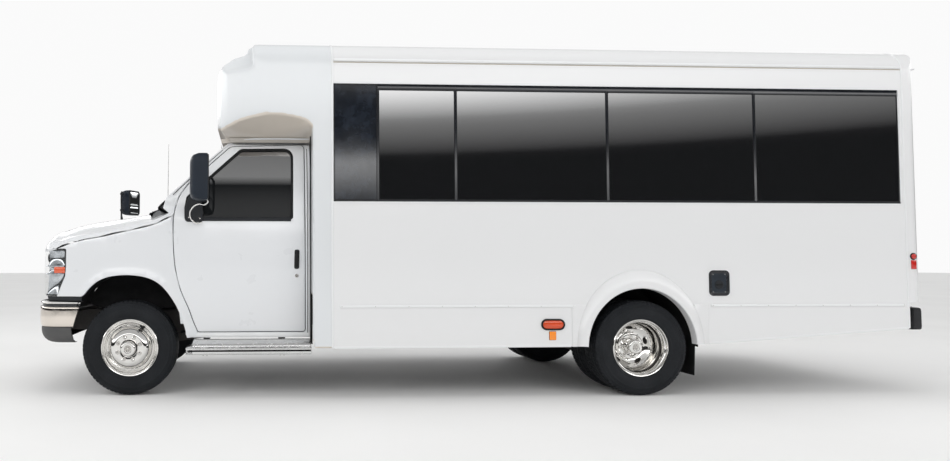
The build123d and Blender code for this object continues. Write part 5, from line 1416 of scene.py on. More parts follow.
# ------------------------------------------------------------------ mirrors
def head_rows(x0, x1, y0, y1, z0, z1, front=0.55):
    """Mirror housing: soft wedge, fuller in front, open at the rear where the glass sits."""
    rows = []
    nz = 30
    for j in range(nz + 1):
        t = j / nz
        z = z0 + (z1 - z0) * t
        e = 1 - abs(2 * t - 1)**9.0                      # narrows at the two ends
        e = max(0.05, e)**0.5
        yc, hy = (y0 + y1) / 2, (y1 - y0) / 2 * (0.80 + 0.20 * e)
        d = (x1 - x0) * (0.52 + 0.48 * e)
        ring = []
        n = 28
        for i in range(n + 1):
            a = math.pi * (i / n) - math.pi / 2
            cy, cx = math.sin(a), math.cos(a)
            cy = math.copysign(abs(cy)**0.55, cy)
            cx = cx**0.5
            ring.append((x1 - d * cx, yc + hy * cy, z))
        rows.append(ring)
    return rows


def mirror_head(m, x0, x1, y0, y1, z0, z1, split=0.34):
    rows = head_rows(x0, x1 - 10, y0, y1, z0, z1)
    m.ribbon(rows, "mirror_black")
    m.add(rows[0], [tuple(range(len(rows[0])))], "mirror_black")
    m.add(rows[-1], [tuple(range(len(rows[-1])))], "mirror_black")
    # rear rim and recessed bezel
    lip = rounded([(y0 + 4, z0 + 5), (y1 - 4, z0 + 5), (y1 - 2, z1 - 5), (y0 + 2, z1 - 5)], 34, 7)
    inn = inset(ccw(resample(lip, 16)), 11)
    full = ccw(resample(lip, 16))
    edge = [[(x1 - 12, p[0], p[1]) for p in inset(full, -2.0)], [(x1 - 3, p[0], p[1]) for p in inset(full, -1.0)], [(x1, p[0], p[1]) for p in inset(full, 2.0)],
            [(x1, p[0], p[1]) for p in inset(full, 8.0)], [(x1 - 5, p[0], p[1]) for p in inn], [(x1 - 14, p[0], p[1]) for p in inn]]
    m.ribbon(edge, "trim_black", close_v=True)
    m.add([(x1 - 14, p[0], p[1]) for p in inn], [tuple(range(len(inn)))], "dark")
    zs = z0 + (z1 - z0) * split
    up = rounded([(y0 + 18, zs + 9), (y1 - 18, zs + 9), (y1 - 17, z1 - 19), (y0 + 17, z1 - 19)], 20, 6)
    dn = rounded([(y0 + 19, z0 + 19), (y1 - 19, z0 + 19), (y1 - 18, zs - 9), (y0 + 18, zs - 9)], 18, 6)
    m.skin(up, lambda u, v, d: (x1 - 8 - d, u, v), "mirror_glass", r=1.5, depth=5, step=80, edge=14)
    cy, cz = (y0 + y1) / 2, (z0 + zs) / 2
    m.skin(dn, lambda u, v, d: (x1 - 9 + 5 * (1 - ((u - cy) / 110)**2 - ((v - cz) / 90)**2) - d, u, v), "mirror_glass", r=1.5, depth=5, step=18, edge=12)
    m.box(x1 - 12, x1 - 5, y0 + 16, y1 - 16, zs - 7, zs + 7, "trim_black", r=2)


def turned(m, cx, cy, deg):
    c, s = math.cos(math.radians(deg)), math.sin(math.radians(deg))
    m.v = [(cx + (x - cx) * c - (y - cy) * s, cy + (x - cx) * s + (y - cy) * c, z) for x, y, z in m.v]
    return m


ml = Mesh()
mirror_head(ml, 490, 624, -1344, -1136, 1517, 1870)
turned(ml, 557, -1240, 9)
# lower hook: bright rod from under the head to the base on the door
hook = smooth_line([(618, -1300, 1530), (628, -1262, 1506), (600, -1215, 1486), (552, -1160, 1494), (506, -1108, 1478), (474, -1070, 1432),
                    (482, -1046, 1384), (526, -1032, 1352), (566, -1018, 1362)], 9)
ml.tube(hook, 5.5, "chrome", n=12)
for z in (1552, 1802):
    rod = smooth_line([(540, -1140, z), (536, -1100, z), (528, -1040, z - 4), (524, -985 if z < 1700 else -955, z - 8), (524, -960 if z < 1700 else -925, z - 10)], 9)
    ml.tube(rod, 9.0 if z < 1700 else 7.5, "trim_black", n=12)
    ml.lathe([(0, 15), (8, 15), (12, 11), (12, 8)], (538, -1112, z - 0), "seal", axis="y", n=18, side=-1)
# base: black moulded plate following the door corner
base_o = rounded([(430, 1366), (566, 1362), (574, 1440), (552, 1560), (560, 1700), (552, 1810), (512, 1812), (500, 1640), (452, 1560), (424, 1470)],
                 [28, 16, 30, 60, 60, 20, 20, 60, 40, 30], 5)
ml.skin(base_o, lambda u, v, d: (u, -(cab_side(u, v) + 15 - d), v), "trim_black", r=7, depth=20, step=40, edge=14)
for u, v in ((462, 1400), (548, 1392), (520, 1500)):
    screw(ml, (u, -(cab_side(u, v) + 14.5), v), (0, -1, 0), 7, "chrome_dull")
ml.done("mirror_left_unit", "driver_door", slot="trim_black", replaces=("mirror_left",), weld=0.3, angle=48)

mr = Mesh()
mirror_head(mr, -464, -326, 1138, 1338, 1554, 1820, split=0.36)
turned(mr, -394, 1238, -24)
post = smooth_line([(-458, 906, 1316), (-458, 930, 1330), (-458, 1000, 1334), (-458, 1080, 1335), (-458, 1103, 1352), (-458, 1105, 1420),
                    (-458, 1105, 1600), (-458, 1105, 1780), (-458, 1116, 1796), (-456, 1132, 1796)], 12)
mr.tube(post, 9.5, "trim_black", n=14)
for z in (1600, 1776):
    mr.box(-472, -440, 1092, 1130, z - 12, z + 12, "trim_black", r=4)
fz = float(nose_z(-458, 905))
mr.lathe([(0, 30), (5, 30), (12, 24), (30, 17), (44, 13), (46, 0)], (-458, 906, fz - 4), "trim_black", axis="z", n=28)
stay = smooth_line([(-458, 1105, 1560), (-430, 1060, 1480), (-404, 1010, 1400), (-392, 975, 1330)], 16)
mr.tube(stay, 5.0, "trim_black", n=10)
mr.lathe([(0, 14), (6, 14), (10, 9), (10, 0)], (-392, 972, 1318), "trim_black", axis="z", n=18)
mr.done("mirror_right_unit", "vehicle_body", slot="trim_black", replaces=("mirror_right",), weld=0.3, angle=48)

# ------------------------------------------------------------------ running boards
rb = Mesh()
for side, sname in SIDES:
    prof = [(1000, 391), (1004, 395), (1150, 395), (1163, 391), (1168, 384), (1167, 374), (1160, 370), (1152, 369), (1152, 361), (1160, 358),
            (1167, 352), (1168, 342), (1162, 335), (1150, 333), (1010, 333), (1002, 337)]
    prof = resample(prof, 30, closed=True)
    xs = [456, 458, 462] + list(np.linspace(480, 1405, 40)) + [1420, 1423, 1424]
    rows = []
    for i, x in enumerate(xs):
        k = 5 if x < 457 or x > 1423.5 else 1.5 if x < 459 or x > 1422 else 0
        q = inset(ccw(prof), k) if k else ccw(prof)
        rows.append([(x, side * a, z) for a, z in q])
    rb.ribbon(rows, "alloy", close_v=True)
    for r_ in (rows[0], rows[-1]):
        rb.add(r_, [tuple(range(len(r_)))], "seal")
    for j in range(9):                                   # tread ribs on top
        y = 1022 + j * 14
        rb.sweep([(x, side * y, 395.4) for x in (486, 700, 900, 1100, 1394)], (0, 0, 1), [(-1, -4.5), (1.6, -3), (2.2, 0), (1.6, 3), (-1, 4.5)], "trim_black" if j % 2 else "alloy")
    for x in np.arange(500, 1390, 29.0):                 # raised studs between the ribs
        for y in (1158,):
            rb.lathe([(0, 3.6), (1.4, 3.0), (1.8, 0)], (x, side * y, 393.2), "alloy", axis="z", n=8)
    rb.box(470, 1410, side * 1168.4, side * 1166.0, 359.5, 368.5, "dark", r=0)
    for x in (600, 1200):                                # brackets up to the sill
        rb.box(x - 28, x + 28, side * 900, side * 1120, 340, 352, "frame_black", r=4)
        rb.box(x - 26, x + 26, side * 896, side * 912, 342, 440, "frame_black", r=4)
        for dx in (-14, 14):
            screw(rb, (x + dx, side * 1080, 321), (0, 0, -1), 7, "chrome_dull")
rb.done("running_boards_tread", "vehicle_body", slot="step_aluminium", replaces=("running_boards",), weld=0.2, angle=40)

# --- cab floor covering, engine cover and step wells
cfl = Mesh()
fo_ = ccw(rounded([(372, -880), (560, -905), (1426, -905), (1426, 905), (560, 905), (372, 880)], 30, 4))
cfl.skin(fo_, lambda u, v, d: (u, v, 726.5 + 0.8 * math.sin(u * 0.05) * math.sin(v * 0.04) - d), "floor", r=2, depth=3, step=70, edge=60)
cov = ccw(rounded([(412, -282), (812, -276), (812, 276), (412, 282)], 50, 6))
cov = ccw(resample(cov, 34))
rows = []
for k_, (o_, z_) in enumerate(((-12, 727), (-8, 736), (0, 770), (3, 880), (6, 960), (12, 984), (24, 996), (44, 1000))):
    rows.append([(p[0], p[1], z_) for p in inset(cov, o_)])
cfl.ribbon(rows, "dash", close_v=True)
cfl.add(rows[-1], [tuple(range(len(rows[-1])))], "dash")
for side in (-1, 1):
    cfl.skin([(482, 452), (1412, 452), (1412, 700), (440, 700)], lambda u, v, d, side=side: (u, side * (921 - d), v), "dash", r=2, depth=3, step=90, edge=70)
    cfl.skin(ccw(rounded([(474, 918), (1414, 918), (1414, 990), (490, 990)], 10, 3)), lambda u, v, d, side=side: (u, side * v, 456 - d), "floor", r=2, depth=4, step=90, edge=60)
    for k_ in range(5):
        cfl.box(520, 1390, side * (930 + k_ * 12), side * (934 + k_ * 12), 455.5, 458.5, "seal", r=1)
cfl.done("cab_floor_cover", "vehicle_body", slot="floor_vinyl", angle=45)
kp = Mesh()
for side in (-1, 1):
    sec_ = [(1007, 441), (1040, 440), (1120, 430), (1156, 420), (1167, 410), (1169.5, 398), (1169.5, 372), (1165.5, 370), (1165.5, 360), (1169.5, 358), (1169.5, 346), (1166, 338), (1156, 335)]
    xs_ = [506, 508, 514, 526] + list(np.linspace(560, 1370, 14)) + [1404, 1414, 1420, 1422]
    rows = [[(x, side * (y - (6 if x in (506, 1422) else 2 if x in (508, 1420) else 0)), z - (5 if x in (506, 1422) and z > 400 else 0)) for y, z in sec_] for x in xs_]
    kp.ribbon(rows, "alloy")
    for r_ in (rows[0], rows[-1]):
        kp.add(r_ + [(r_[0][0], side * 1012, 336)], [tuple(range(len(r_) + 1))], "alloy")
    kp.box(508, 1420, side * 1166.4, side * 1165.2, 360.5, 369.5, "dark", r=0)
    for x in (540, 740, 940, 1140, 1390):
        screw(kp, (x, side * 1169.5, 387), (0, side, 0), 4, "chrome_dull", n=8)
kp.done("side_step_fascia", "vehicle_body", slot="step_aluminium", angle=40)
# ------------------------------------------------------------------ coach outline
HB, REARX = 1219.0, 6344.0


def coach_line(o=0.0, z_low=400.0, n_arc=12, n_top=40):
    """Cross-section from the left skirt over the roof to the right skirt, with outward normals."""
    r = 180.0 + o
    pts, nrm = [], []
    for z in np.linspace(z_low, 2590, 12):
        pts.append((-HB - o, z)); nrm.append((-1.0, 0.0))
    for a in np.linspace(math.pi, math.radians(96), n_arc):
        pts.append((-1039 + r * math.cos(a), 2597 + r * math.sin(a))); nrm.append((math.cos(a), math.sin(a)))
    ya, za = -1039 + 180 * math.cos(math.radians(96)), 2597 + 180 * math.sin(math.radians(96))
    sag = 2831.0 - za
    big = (ya * ya + sag * sag) / (2 * sag)
    for y in np.linspace(ya, 0, n_top // 2)[1:]:
        a = math.asin(y / big)
        pts.append(((big + o) * math.sin(a), 2831 - big + (big + o) * math.cos(a))); nrm.append((math.sin(a), math.cos(a)))
    left = list(zip(pts, nrm))
    right = [((-p[0], p[1]), (-q[0], q[1])) for p, q in reversed(left[:-1])]
    return left + right


def half_round(w, h, n=6, foot=1.0):
    return [(-foot, -w / 2)] + [(h * math.sin(a), -w / 2 * math.cos(a)) for a in np.linspace(0, math.pi, n)] + [(-foot, w / 2)]


# --- moulded cap over the cab
cap = moulded("cap_shell", "front_cap", "vehicle_body", "cap_skin", voxel=11.5, smooth=7, ratio=0.28)

ct = Mesh()
line = coach_line(0.0, 392)
for x in (1583.0, 6211.0):
    z_low = 390.0 if x < 2000 else 520.0
    line = coach_line(0.0, z_low)
    ct.sweep([(x, p[0], p[1]) for p, q in line], [(0, q[0], q[1]) for p, q in line], half_round(17, 5.5), "trim_white")
# cab-to-cap joint: sealing strip and a bright bead along the cab roof
for side in (-1, 1):
    pth = smooth_line([(775, side * 872, 2046), (900, side * 905, 2048), (1424, side * 928, 2050)], 26)
    ct.sweep(pth, (0, 0, -1), [(0, -13), (7, -9), (11, 0), (7, 9), (0, 13)], "trim_white")
    # beige strips between cab roof and cap: painted bounce light from the ground
    rows = [[(x, side * 868, 2024), (x, side * 900, 2036), (x, side * 934, 2050)] for x in np.linspace(772, 1426, 20)]
    ct.ribbon(rows, "soffit")
    rows = [[(x, side * (848 - max(0, 780 - x) * 0.6), 2026), (x - 4, side * (852 - max(0, 780 - x) * 0.6), 2060)] for x in np.linspace(706, 1426, 20)]
    ct.ribbon(rows, "soffit")
    # column behind the cab door: dark joint, and the bead up its front edge
    ct.box(1424, 1441, side * 985, side * 1036, 400, 2050, "seal", r=3)
    ct.sweep([(1441, side * 1214, z) for z in np.linspace(396, 2060, 30)], (-1, side * 0.6, 0), half_round(9, 3.0), "body_paint")
rows = [[(694 - 10 * (1 - (y / 600)**2), y, 2022), (692 - 10 * (1 - (y / 600)**2), y, 2062)] for y in np.linspace(-560, 560, 30)]
ct.ribbon(rows, "seal")
ct.v = [(x, y, min(z, 2830.4)) for x, y, z in ct.v]
ct.done("cap_trims", "vehicle_body", slot="trim_black", angle=50)

# --- side trims: drip rail, window frames, rub rail, skirt flange
for side, sname in SIDES:
    m = Mesh()
    z_pts = [(x, 2622.0 - 0.0) for x in np.linspace(1592, 6202, 24)]
    y_at = side * (1039 + math.sqrt(180.0**2 - 25.0**2))
    m.sweep([(x, y_at, z) for x, z in z_pts], (0, side, 0.15), [(-4, -12), (6, -12), (10, -8), (11, -2), (7, 3), (3, 9), (1, 14), (-4, 14)], "trim_white")
    # beige strip just under the drip rail: painted shadow line
    m.sweep([(x, side * (HB + 0.2), 2604.0) for x, z in z_pts], (0, side, 0), [(-1, -3), (1.6, -3), (1.6, 3), (-1, 3)], "drip_rail_shadow_beige")
    x_first = 1588 if side < 0 else 2548
    # bright pressed flange round the glazed band
    for z0_, z1_ in ((2437, 2443.5), (1508.5, 1515)):
        m.box(x_first - 4, 6182, side * (HB - 2), side * (HB + 2.2), z0_, z1_, "trim_white", r=0.8)
    for x0_, x1_ in ((x_first - 5, x_first + 0.5), (6176, 6182)):
        m.box(x0_, x1_, side * (HB - 2), side * (HB + 2.0), 1509, 2443, "trim_white", r=0.8)
    panes = ([(1592, 1936), (1940, 2550)] if side < 0 else []) + [(2554, 3764), (3768, 4968), (4972, 6172)]
    for x0_, x1_ in panes:
        top = 46 if x1_ - x0_ > 400 else 8
        m.box(x0_ - 2, x1_ + 2, side * (HB - 12), side * (HB - 0.3), 2436 - top, 2437, "frame_gloss", r=1.2)
        m.box(x0_ - 2, x1_ + 2, side * (HB - 12), side * (HB - 0.3), 1515, 1531, "frame_gloss", r=1.2)
        for a, b in ((x0_ - 2, x0_ + 7), (x1_ - 7, x1_ + 2)):
            m.box(a, b, side * (HB - 12), side * (HB - 0.6), 1516, 2437, "frame_gloss", r=1.0)
        if x1_ - x0_ > 400:
            m.box(x0_ + 8, x1_ - 8, side * (HB - 4), side * (HB + 0.6), 2386, 2390.5, "seal", r=0.6)
        # rubber gasket: thin raised bead just inside the frame
        ring = rounded([(x0_ + 9, 1533), (x1_ - 9, 1533), (x1_ - 9, 2434 - top), (x0_ + 9, 2434 - top)], 9, 4)
        ring = resample(ccw(ring), 120)
        m.sweep([(u, side * (HB - 1.4), v) for u, v in ring], (0, side, 0), [(-1, -2.2), (0.8, -1.4), (1.2, 0), (0.8, 1.4), (-1, 2.2)], "seal", closed=True)
    if side < 0:
        m.box(1594, 1934, side * (HB - 9), side * (HB - 0.9), 1518, 2434, "panel_black", r=1.5)
    # rub rail in two lengths with end caps and screws
    runs = [(1640, 3484), (4580, 6180)] if side < 0 else [(2520, 3484), (4580, 6180)]
    for a, b in runs:
        xs = np.linspace(a, b, 22)
        m.sweep([(x, side * HB, 703.0) for x in xs], (0, side, 0), [(-1, -12), (2.5, -12), (7, -8.5), (9, -2), (9, 2), (7, 8.5), (2.5, 12), (-1, 12)], "trim_white")
        for x in list(np.linspace(a + 14, b - 14, 8)):
            screw(m, (x, side * (HB + 9), 703), (0, side, 0), 3.6, "chrome_dull", n=8)
    # skirt flange, folded inwards
    segs = [[(1592, 385), (3446, 387.8)], [(4562, 403.5), (6206, 515)]]
    if side > 0:
        segs[0] = [(2496, 386.4), (3446, 387.8)]
        segs.append([(1592, 385), (1664, 385.2)])
    for (xa, za), (xb, zb) in segs:
        xs = np.linspace(xa, xb, 16)
        m.sweep([(x, side * HB, za + (zb - za) * (x - xa) / (xb - xa)) for x in xs], (0, side, 0),
                [(1.8, 16), (2.4, 14), (2.4, 0), (0.5, -3.0), (-26, -3.0), (-26, 0.5), (-1, 0.5), (-1, 16)], "trim_white")
    m.done("side_trims_%s" % sname, "vehicle_body", slot="body_paint", weld=0.15, angle=45)

# --- wheel arch flares: soft half-round swelling over a flat lower panel
fl = Mesh()
FX, FZ = 4006.0, 378.0
for side in (-1, 1):
    rows = []
    for a in np.linspace(math.radians(178.6), math.radians(1.4), 72):
        c, s = math.cos(a), math.sin(a)
        row = []
        for w in (-36, -20, -6):
            row.append((FX + 434 * c, side * (1219.5 + w), FZ + 462 * s))
        for d, o in ((0.0, 20.0), (0.0, 36.0), (1.5, 40.0), (5.0, 42.2)):
            row.append((FX + (434 + d) * c, side * (1219.5 + o), FZ + (462 + d) * s))
        for t in (0.12, 0.22, 0.32, 0.42, 0.52, 0.62, 0.72, 0.81, 0.89, 0.95, 0.985, 1.0):
            ax, az = 434 + (512 - 434) * t, 462 + (608 - 462) * t
            u = max(0.0, (t - 0.18) / 0.82)
            row.append((FX + ax * c, side * (1219.5 + 42.5 * max(0.0, 1 - u**2.1)**0.62), FZ + az * s))
        rows.append([(x, y, max(z, 388 + (x - (FX - 548)) * 0.0146)) for x, y, z in row])
    fl.ribbon(rows, "body_paint")
    for k in (0, -1):
        r_ = rows[k]
        fl.ribbon([[p for p in r_], [(p[0], side * 1219.0, p[2] + 0.2) for p in r_]], "body_paint")
    for sx in (-1, 1):
        zb = 386 if sx < 0 else 402
        pan = [(FX + sx * 548, zb), (FX + sx * 437, zb + (1.6 if sx < 0 else -1.6)), (FX + sx * 436, 450), (FX + sx * 424, 540), (FX + sx * 452, 640), (FX + sx * 430, 716), (FX + sx * 548, 716)]
        pan = rounded(ccw(pan), 5, 3)
        fl.prism("y", pan, side * 1219.0, side * 1225.0, "body_paint", r=2.5)
        for zz in (430, 560, 690):
            screw(fl, (FX + sx * 536, side * 1225, zz), (0, side, 0), 4.0, "trim_white", n=10)
fl.done("wheel_arch_flares", "vehicle_body", slot="body_paint", replaces=("wheel_flares",), weld=0.3, angle=48)

# dark wheel wells behind the flares
ww = Mesh()
for side in (-1, 1):
    arc = [(FX + 470 * math.cos(a), 378 + 512 * math.sin(a)) for a in np.linspace(math.pi, 0, 34)]
    arc = [(FX - 470, 392)] + arc + [(FX + 470, 404)]
    rows = [[(x, side * y, min(z, 886)) for x, z in arc] for y in np.linspace(1205, 720, 9)]
    ww.ribbon(rows, "liner")
    ww.skin([(FX - 470, 500), (FX + 470, 500), (FX + 470, 640), (FX + 400, 800), (FX + 250, 884), (FX - 250, 884), (FX - 400, 800), (FX - 470, 640)],
            lambda u, v, d, side=side: (u, side * (722 - d), v), "liner", r=0, depth=4, step=120, edge=80)
ww.done("rear_wheel_wells", "vehicle_body", slot="tank_black")

# --- lamps
lm = Mesh()
for side in (-1, 1):
    # side turn lamp: capsule bezel, ribbed lens; reflector under it
    cx, cz, hl_, hr = 3306.0, 560.0, 94.0, 44.0
    cap_o = [(cx + (hl_ - hr) + hr * math.cos(a), cz + hr * math.sin(a)) for a in np.linspace(-math.pi / 2, math.pi / 2, 14)] + \
            [(cx - (hl_ - hr) + hr * math.cos(a), cz + hr * math.sin(a)) for a in np.linspace(math.pi / 2, 3 * math.pi / 2, 14)]
    cap_o = ccw(cap_o)
    rows = [[(p[0], side * (HB + d), p[1]) for p in inset(cap_o, o)] for o, d in ((0, 0), (0, 9), (2, 12.5), (6, 13.5), (10, 12.5), (12.5, 8), (12.5, 3))]
    lm.ribbon(rows, "seal", close_v=True)
    lens_o = inset(cap_o, 12.5)

    def lens_lift(u, v, d, side=side, cx=cx, cz=cz):
        e = ((u - cx) / 80.0)**2 + ((v - cz) / 32.0)**2
        return (u, side * (HB + 7 + 6.0 * max(0.0, 1 - e * 0.8) + 0.7 * math.sin(u * 0.62) - d), v)
    lm.skin(lens_o, lens_lift, "side_red", r=2.0, depth=6, step=5.5, edge=7, seg=2)
    rf = rounded([(3274, 439), (3330, 439), (3330, 508), (3274, 508)], 5, 3)
    lm.prism("y", rf, side * HB, side * (HB + 2.5), "seal", r=0.8)
    rf = rounded([(3276, 441), (3328, 441), (3328, 506), (3276, 506)], 4, 3)
    lm.prism("y", rf, side * (HB + 2), side * (HB + 7), "orange", r=1.6)
    # small rear marker and reflector at the tail corner
    lm.lathe([(0, 27), (6, 27), (8, 25), (8, 21)], (6262, side * HB, 1092), "seal", n=28, side=side)
    lm.lathe([(7, 21.5), (11, 19), (13, 12), (13.5, 0)], (6262, side * HB, 1092), "red", n=28, side=side)
    rf = rounded([(6242, 990), (6284, 990), (6284, 1062), (6242, 1062)], 5, 3)
    lm.prism("y", rf, side * HB, side * (HB + 6), "red", r=1.6)
# clearance lamps on the brow of the cap and at the tail
for y in (-900, -200, 0, 200, 900):
    base_o = rounded([(908, y - 56), (966, y - 56), (966, y + 56), (908, y + 56)], 12, 4)
    lm.prism("z", base_o, 2682, 2712, "seal", r=4, seg=2)
    ln = rounded([(914, y - 50), (958, y - 50), (958, y + 50), (914, y + 50)], 14, 5)
    rows = []
    ln = ccw(resample(ln, 14))
    for o, z in ((0, 2708), (0, 2724), (2, 2734), (6, 2741), (13, 2744)):
        rows.append([(p[0], p[1], z) for p in inset(ln, o)])
    lm.ribbon(rows, "amber", close_v=True)
    lm.add(rows[-1], [tuple(range(len(rows[-1])))], "amber")
    for k in range(-3, 4):
        lm.box(913.2, 914.6, y + k * 13 - 1.2, y + k * 13 + 1.2, 2710, 2736, "amber", r=0)
for y in (-900, -200, 0, 200, 900):
    lm.prism("x", rounded([(y - 54, 2648), (y + 54, 2648), (y + 54, 2690), (y - 54, 2690)], 12, 4), REARX - 1, REARX + 7, "seal", r=2)
    lm.prism("x", rounded([(y - 47, 2654), (y + 47, 2654), (y + 47, 2684), (y - 47, 2684)], 10, 4), REARX + 5, REARX + 15, "red", r=5, seg=4)
# tail lamps: rubber ring, domed ribbed lens
for side in (-1, 1):
    plate = rounded([(side * 1100 - 62, 836), (side * 1100 + 62, 836), (side * 1100 + 62, 1184), (side * 1100 - 62, 1184)], 40, 6)
    lm.prism("x", plate, REARX - 1, REARX + 4, "trim_black", r=1.5)
    for z, key in ((900, "lens_white"), (1010, "amber"), (1120, "red")):
        lm.lathe([(2, 52), (12, 52), (16, 50), (17, 46), (15, 43), (9, 43)], (REARX, side * 1100, z), "seal", axis="x", n=44)
        prof = [(10, 43.2)] + [(15 + 6 * math.cos(t * math.pi / 2) + (0.8 if k % 2 else 0.0), 43 * math.sin(t * math.pi / 2)) for k, t in enumerate(np.linspace(1, 0, 16))]
        lm.lathe(prof, (REARX, side * 1100, z), key, axis="x", n=44)
lm.done("lamp_set", "vehicle_body", slot="lamp_lens", replaces=("lamps",), weld=0.1, angle=50)

# --- fuel filler recess on the driver side
ff = Mesh()
fo = rounded([(4566, 780), (4732, 780), (4732, 981), (4566, 981)], 34, 7)
fo = ccw(resample(fo, 14))
rows = [[(p[0], -(HB + d), p[1]) for p in inset(fo, o)] for o, d in ((-7, 0), (-7, 1.4), (-5.5, 2.2), (-0.5, 2.4), (0, 2.0))]
ff.ribbon(rows, "trim_white", close_v=True)
rows = [[(p[0], -(HB + d), p[1]) for p in inset(fo, o)] for o, d in ((0, 0), (0, 6), (1.5, 9), (5, 10.5), (9, 9.8), (12, 7.0), (16, 2.2), (24, 1.0))]
ff.ribbon(rows, "frame_gloss", close_v=True)
inner_o = inset(fo, 24)
ff.skin(inner_o, lambda u, v, d: (u, -(HB + 1.0 - d - 0.9 * math.cos(((u - 4649) / 60.0)) * 0.5), v), "recess_black", r=0, depth=0, step=18, edge=14, outer_turn=False)
ff.lathe([(0.5, 34), (4, 34), (6, 32), (6, 27), (4.5, 26), (4.5, 0)], (4649, -HB, 868), "trim_black", n=36, side=-1)
ff.prism("y", rounded([(4622, 861), (4676, 861), (4676, 875), (4622, 875)], 6, 4), -(HB + 4), -(HB + 9), "seal", r=2)
for u, v in ((4600, 812), (4698, 812), (4600, 950), (4698, 950)):
    screw(ff, (u, -(HB + 1.2), v), (0, -1, 0), 3.5, "chrome_dull", n=8)
ff.done("fuel_filler", "vehicle_body", slot="trim_black", weld=0.1, angle=50)

# --- rear: door leaf dressing, window seals, hinges, latch, blank plate, bumper, steps
rd = Mesh()
ring = ccw(resample(rounded([(-340, 1550), (340, 1550), (340, 2240), (-340, 2240)], 44, 6), 60))
rows = [[(REARX + d, p[0], p[1]) for p in inset(ring, o)] for o, d in ((0, 0.3), (2, 3.4), (8, 4.4), (15, 3.6), (18, -1), (18, -8))]
rd.ribbon(rows, "seal", close_v=True)
ring = ccw(resample(rounded([(-436, 794), (436, 794), (436, 2326), (-436, 2326)], 14, 4), 80))
rows = [[(REARX + d, p[0], p[1]) for p in inset(ring, o)] for o, d in ((0, -2), (0, 2.0), (1.5, 3.5), (16, 3.5), (17.5, 2.0), (17.5, 0.2))]
rd.ribbon(rows, "trim_white", close_v=True)
for z0_, z1_ in ((880, 1440),):                          # pressed panel under the glass
    pan = ccw(resample(rounded([(-340, z0_), (340, z0_), (340, z1_), (-340, z1_)], 40, 6), 60))
    rows = [[(REARX + d, p[0], p[1]) for p in inset(pan, o)] for o, d in ((0, 0.2), (8, 3.0), (14, 3.4), (20, 2.6), (30, 0.4))]
    rd.ribbon(rows, "body_paint", close_v=True)
rd.skin(ccw(rounded([(-420, 1090), (-352, 1090), (-352, 1230), (-420, 1230)], 14, 4)), lambda u, v, d: (REARX + 5 - d, u, v), "trim_black", r=3, depth=5, step=60, edge=20)
rd.tube(smooth_line([(REARX + 6, -388, 1110), (REARX + 26, -388, 1122), (REARX + 30, -388, 1160), (REARX + 26, -388, 1198), (REARX + 6, -388, 1210)], 8), 7, "chrome_dull", n=10)
rd.tube(smooth_line([(REARX - 54, -380, 1010), (REARX - 84, -380, 1024), (REARX - 84, -380, 1180), (REARX - 54, -380, 1194)], 16), 9, "alloy", n=10)
inner_pan = ccw(rounded([(-400, 830), (400, 830), (400, 1520), (-400, 1520)], 20, 4))
rd.skin(inner_pan, lambda u, v, d: (REARX - 56 + d, u, v), "headliner", r=4, depth=6, step=120, edge=60)
rd.done("rear_door_dressing", "rear_door", slot="body_paint", weld=0.1, angle=45)
rw = Mesh()
for z in (960, 1560, 2160):                              # hinge knuckles on the jamb
    rw.tube([(REARX + 7, 452, z - 46), (REARX + 7, 452, z - 15), (REARX + 7, 452, z + 15), (REARX + 7, 452, z + 46)], 7.0, "trim_white", n=12)
    rw.prism("x", rounded([(456, z - 44), (512, z - 44), (512, z + 44), (456, z + 44)], 8, 3), REARX, REARX + 4, "trim_white", r=1)
    for dz in (-28, 28):
        screw(rw, (REARX + 4, 490, z + dz), (1, 0, 0), 5, "chrome_dull")
ring = ccw(resample(rounded([(-452, 778), (452, 778), (452, 2342), (-452, 2342)], 10, 3), 80))
rw.sweep([(REARX, p[0], p[1]) for p in ring], (1, 0, 0), [(-0.5, -4), (2.6, -3), (3.2, 0), (2.6, 3), (-0.5, 4)], "trim_white", closed=True)
rw.box(REARX - 1, REARX + 3, -1200, 1200, 2612, 2622, "trim_white", r=1)
rw.sweep([(REARX + 0.5, y, 2360) for y in np.linspace(-470, 470, 12)], (1, 0, 0.2), [(-1, -8), (8, -8), (11, -4), (6, 6), (-1, 8)], "trim_white")
plate = rounded([(-760 - 152, 854), (-760 + 152, 854), (-760 + 152, 1006), (-760 - 152, 1006)], 10, 4)
rw.prism("x", plate, REARX + 1, REARX + 3.2, "plate", r=0.8)
pr = ccw(resample(plate, 60))
rw.sweep([(REARX + 2.6, p[0] * 1.0, p[1]) for p in inset(pr, 5)], (1, 0, 0), [(-1, -2), (0.9, -1), (0.9, 1), (-1, 2)], "plate", closed=True)
for dy in (-88.9, 88.9):
    for dz in (-60.3, 60.3):
        screw(rw, (REARX + 3.4, -760 + dy, 930 + dz), (1, 0, 0), 5, "chrome_dull")
rw.prism("x", rounded([(-800, 1018), (-720, 1018), (-720, 1046), (-800, 1046)], 8, 3), REARX, REARX + 26, "trim_black", r=5, seg=3)
rw.done("rear_wall_dressing", "vehicle_body", slot="body_paint", weld=0.1, angle=45)
bp = Mesh()
sec = [(6352, 500), (6360, 494), (6428, 494), (6436, 500), (6440, 520), (6440, 640), (6436, 664), (6428, 673), (6416, 675), (6356, 675), (6352, 670)]
rows = []
for y in [-1110, -1109, -1104, -1094] + list(np.linspace(-1060, 1060, 40)) + [1094, 1104, 1109, 1110]:
    k = {1110: 14, 1109: 9, 1104: 4, 1094: 1}.get(abs(int(round(y))), 0)
    q = inset(ccw(sec), k) if k else ccw(sec)
    wrap = 0.0 if abs(y) < 900 else 14.0 * ((abs(y) - 900) / 210.0)**2
    rows.append([(x - wrap, y, z) for x, z in q])
bp.ribbon(rows, "bumper_black", close_v=True)
for r_ in (rows[0], rows[-1]):
    bp.add(r_, [tuple(range(len(r_)))], "bumper_black")
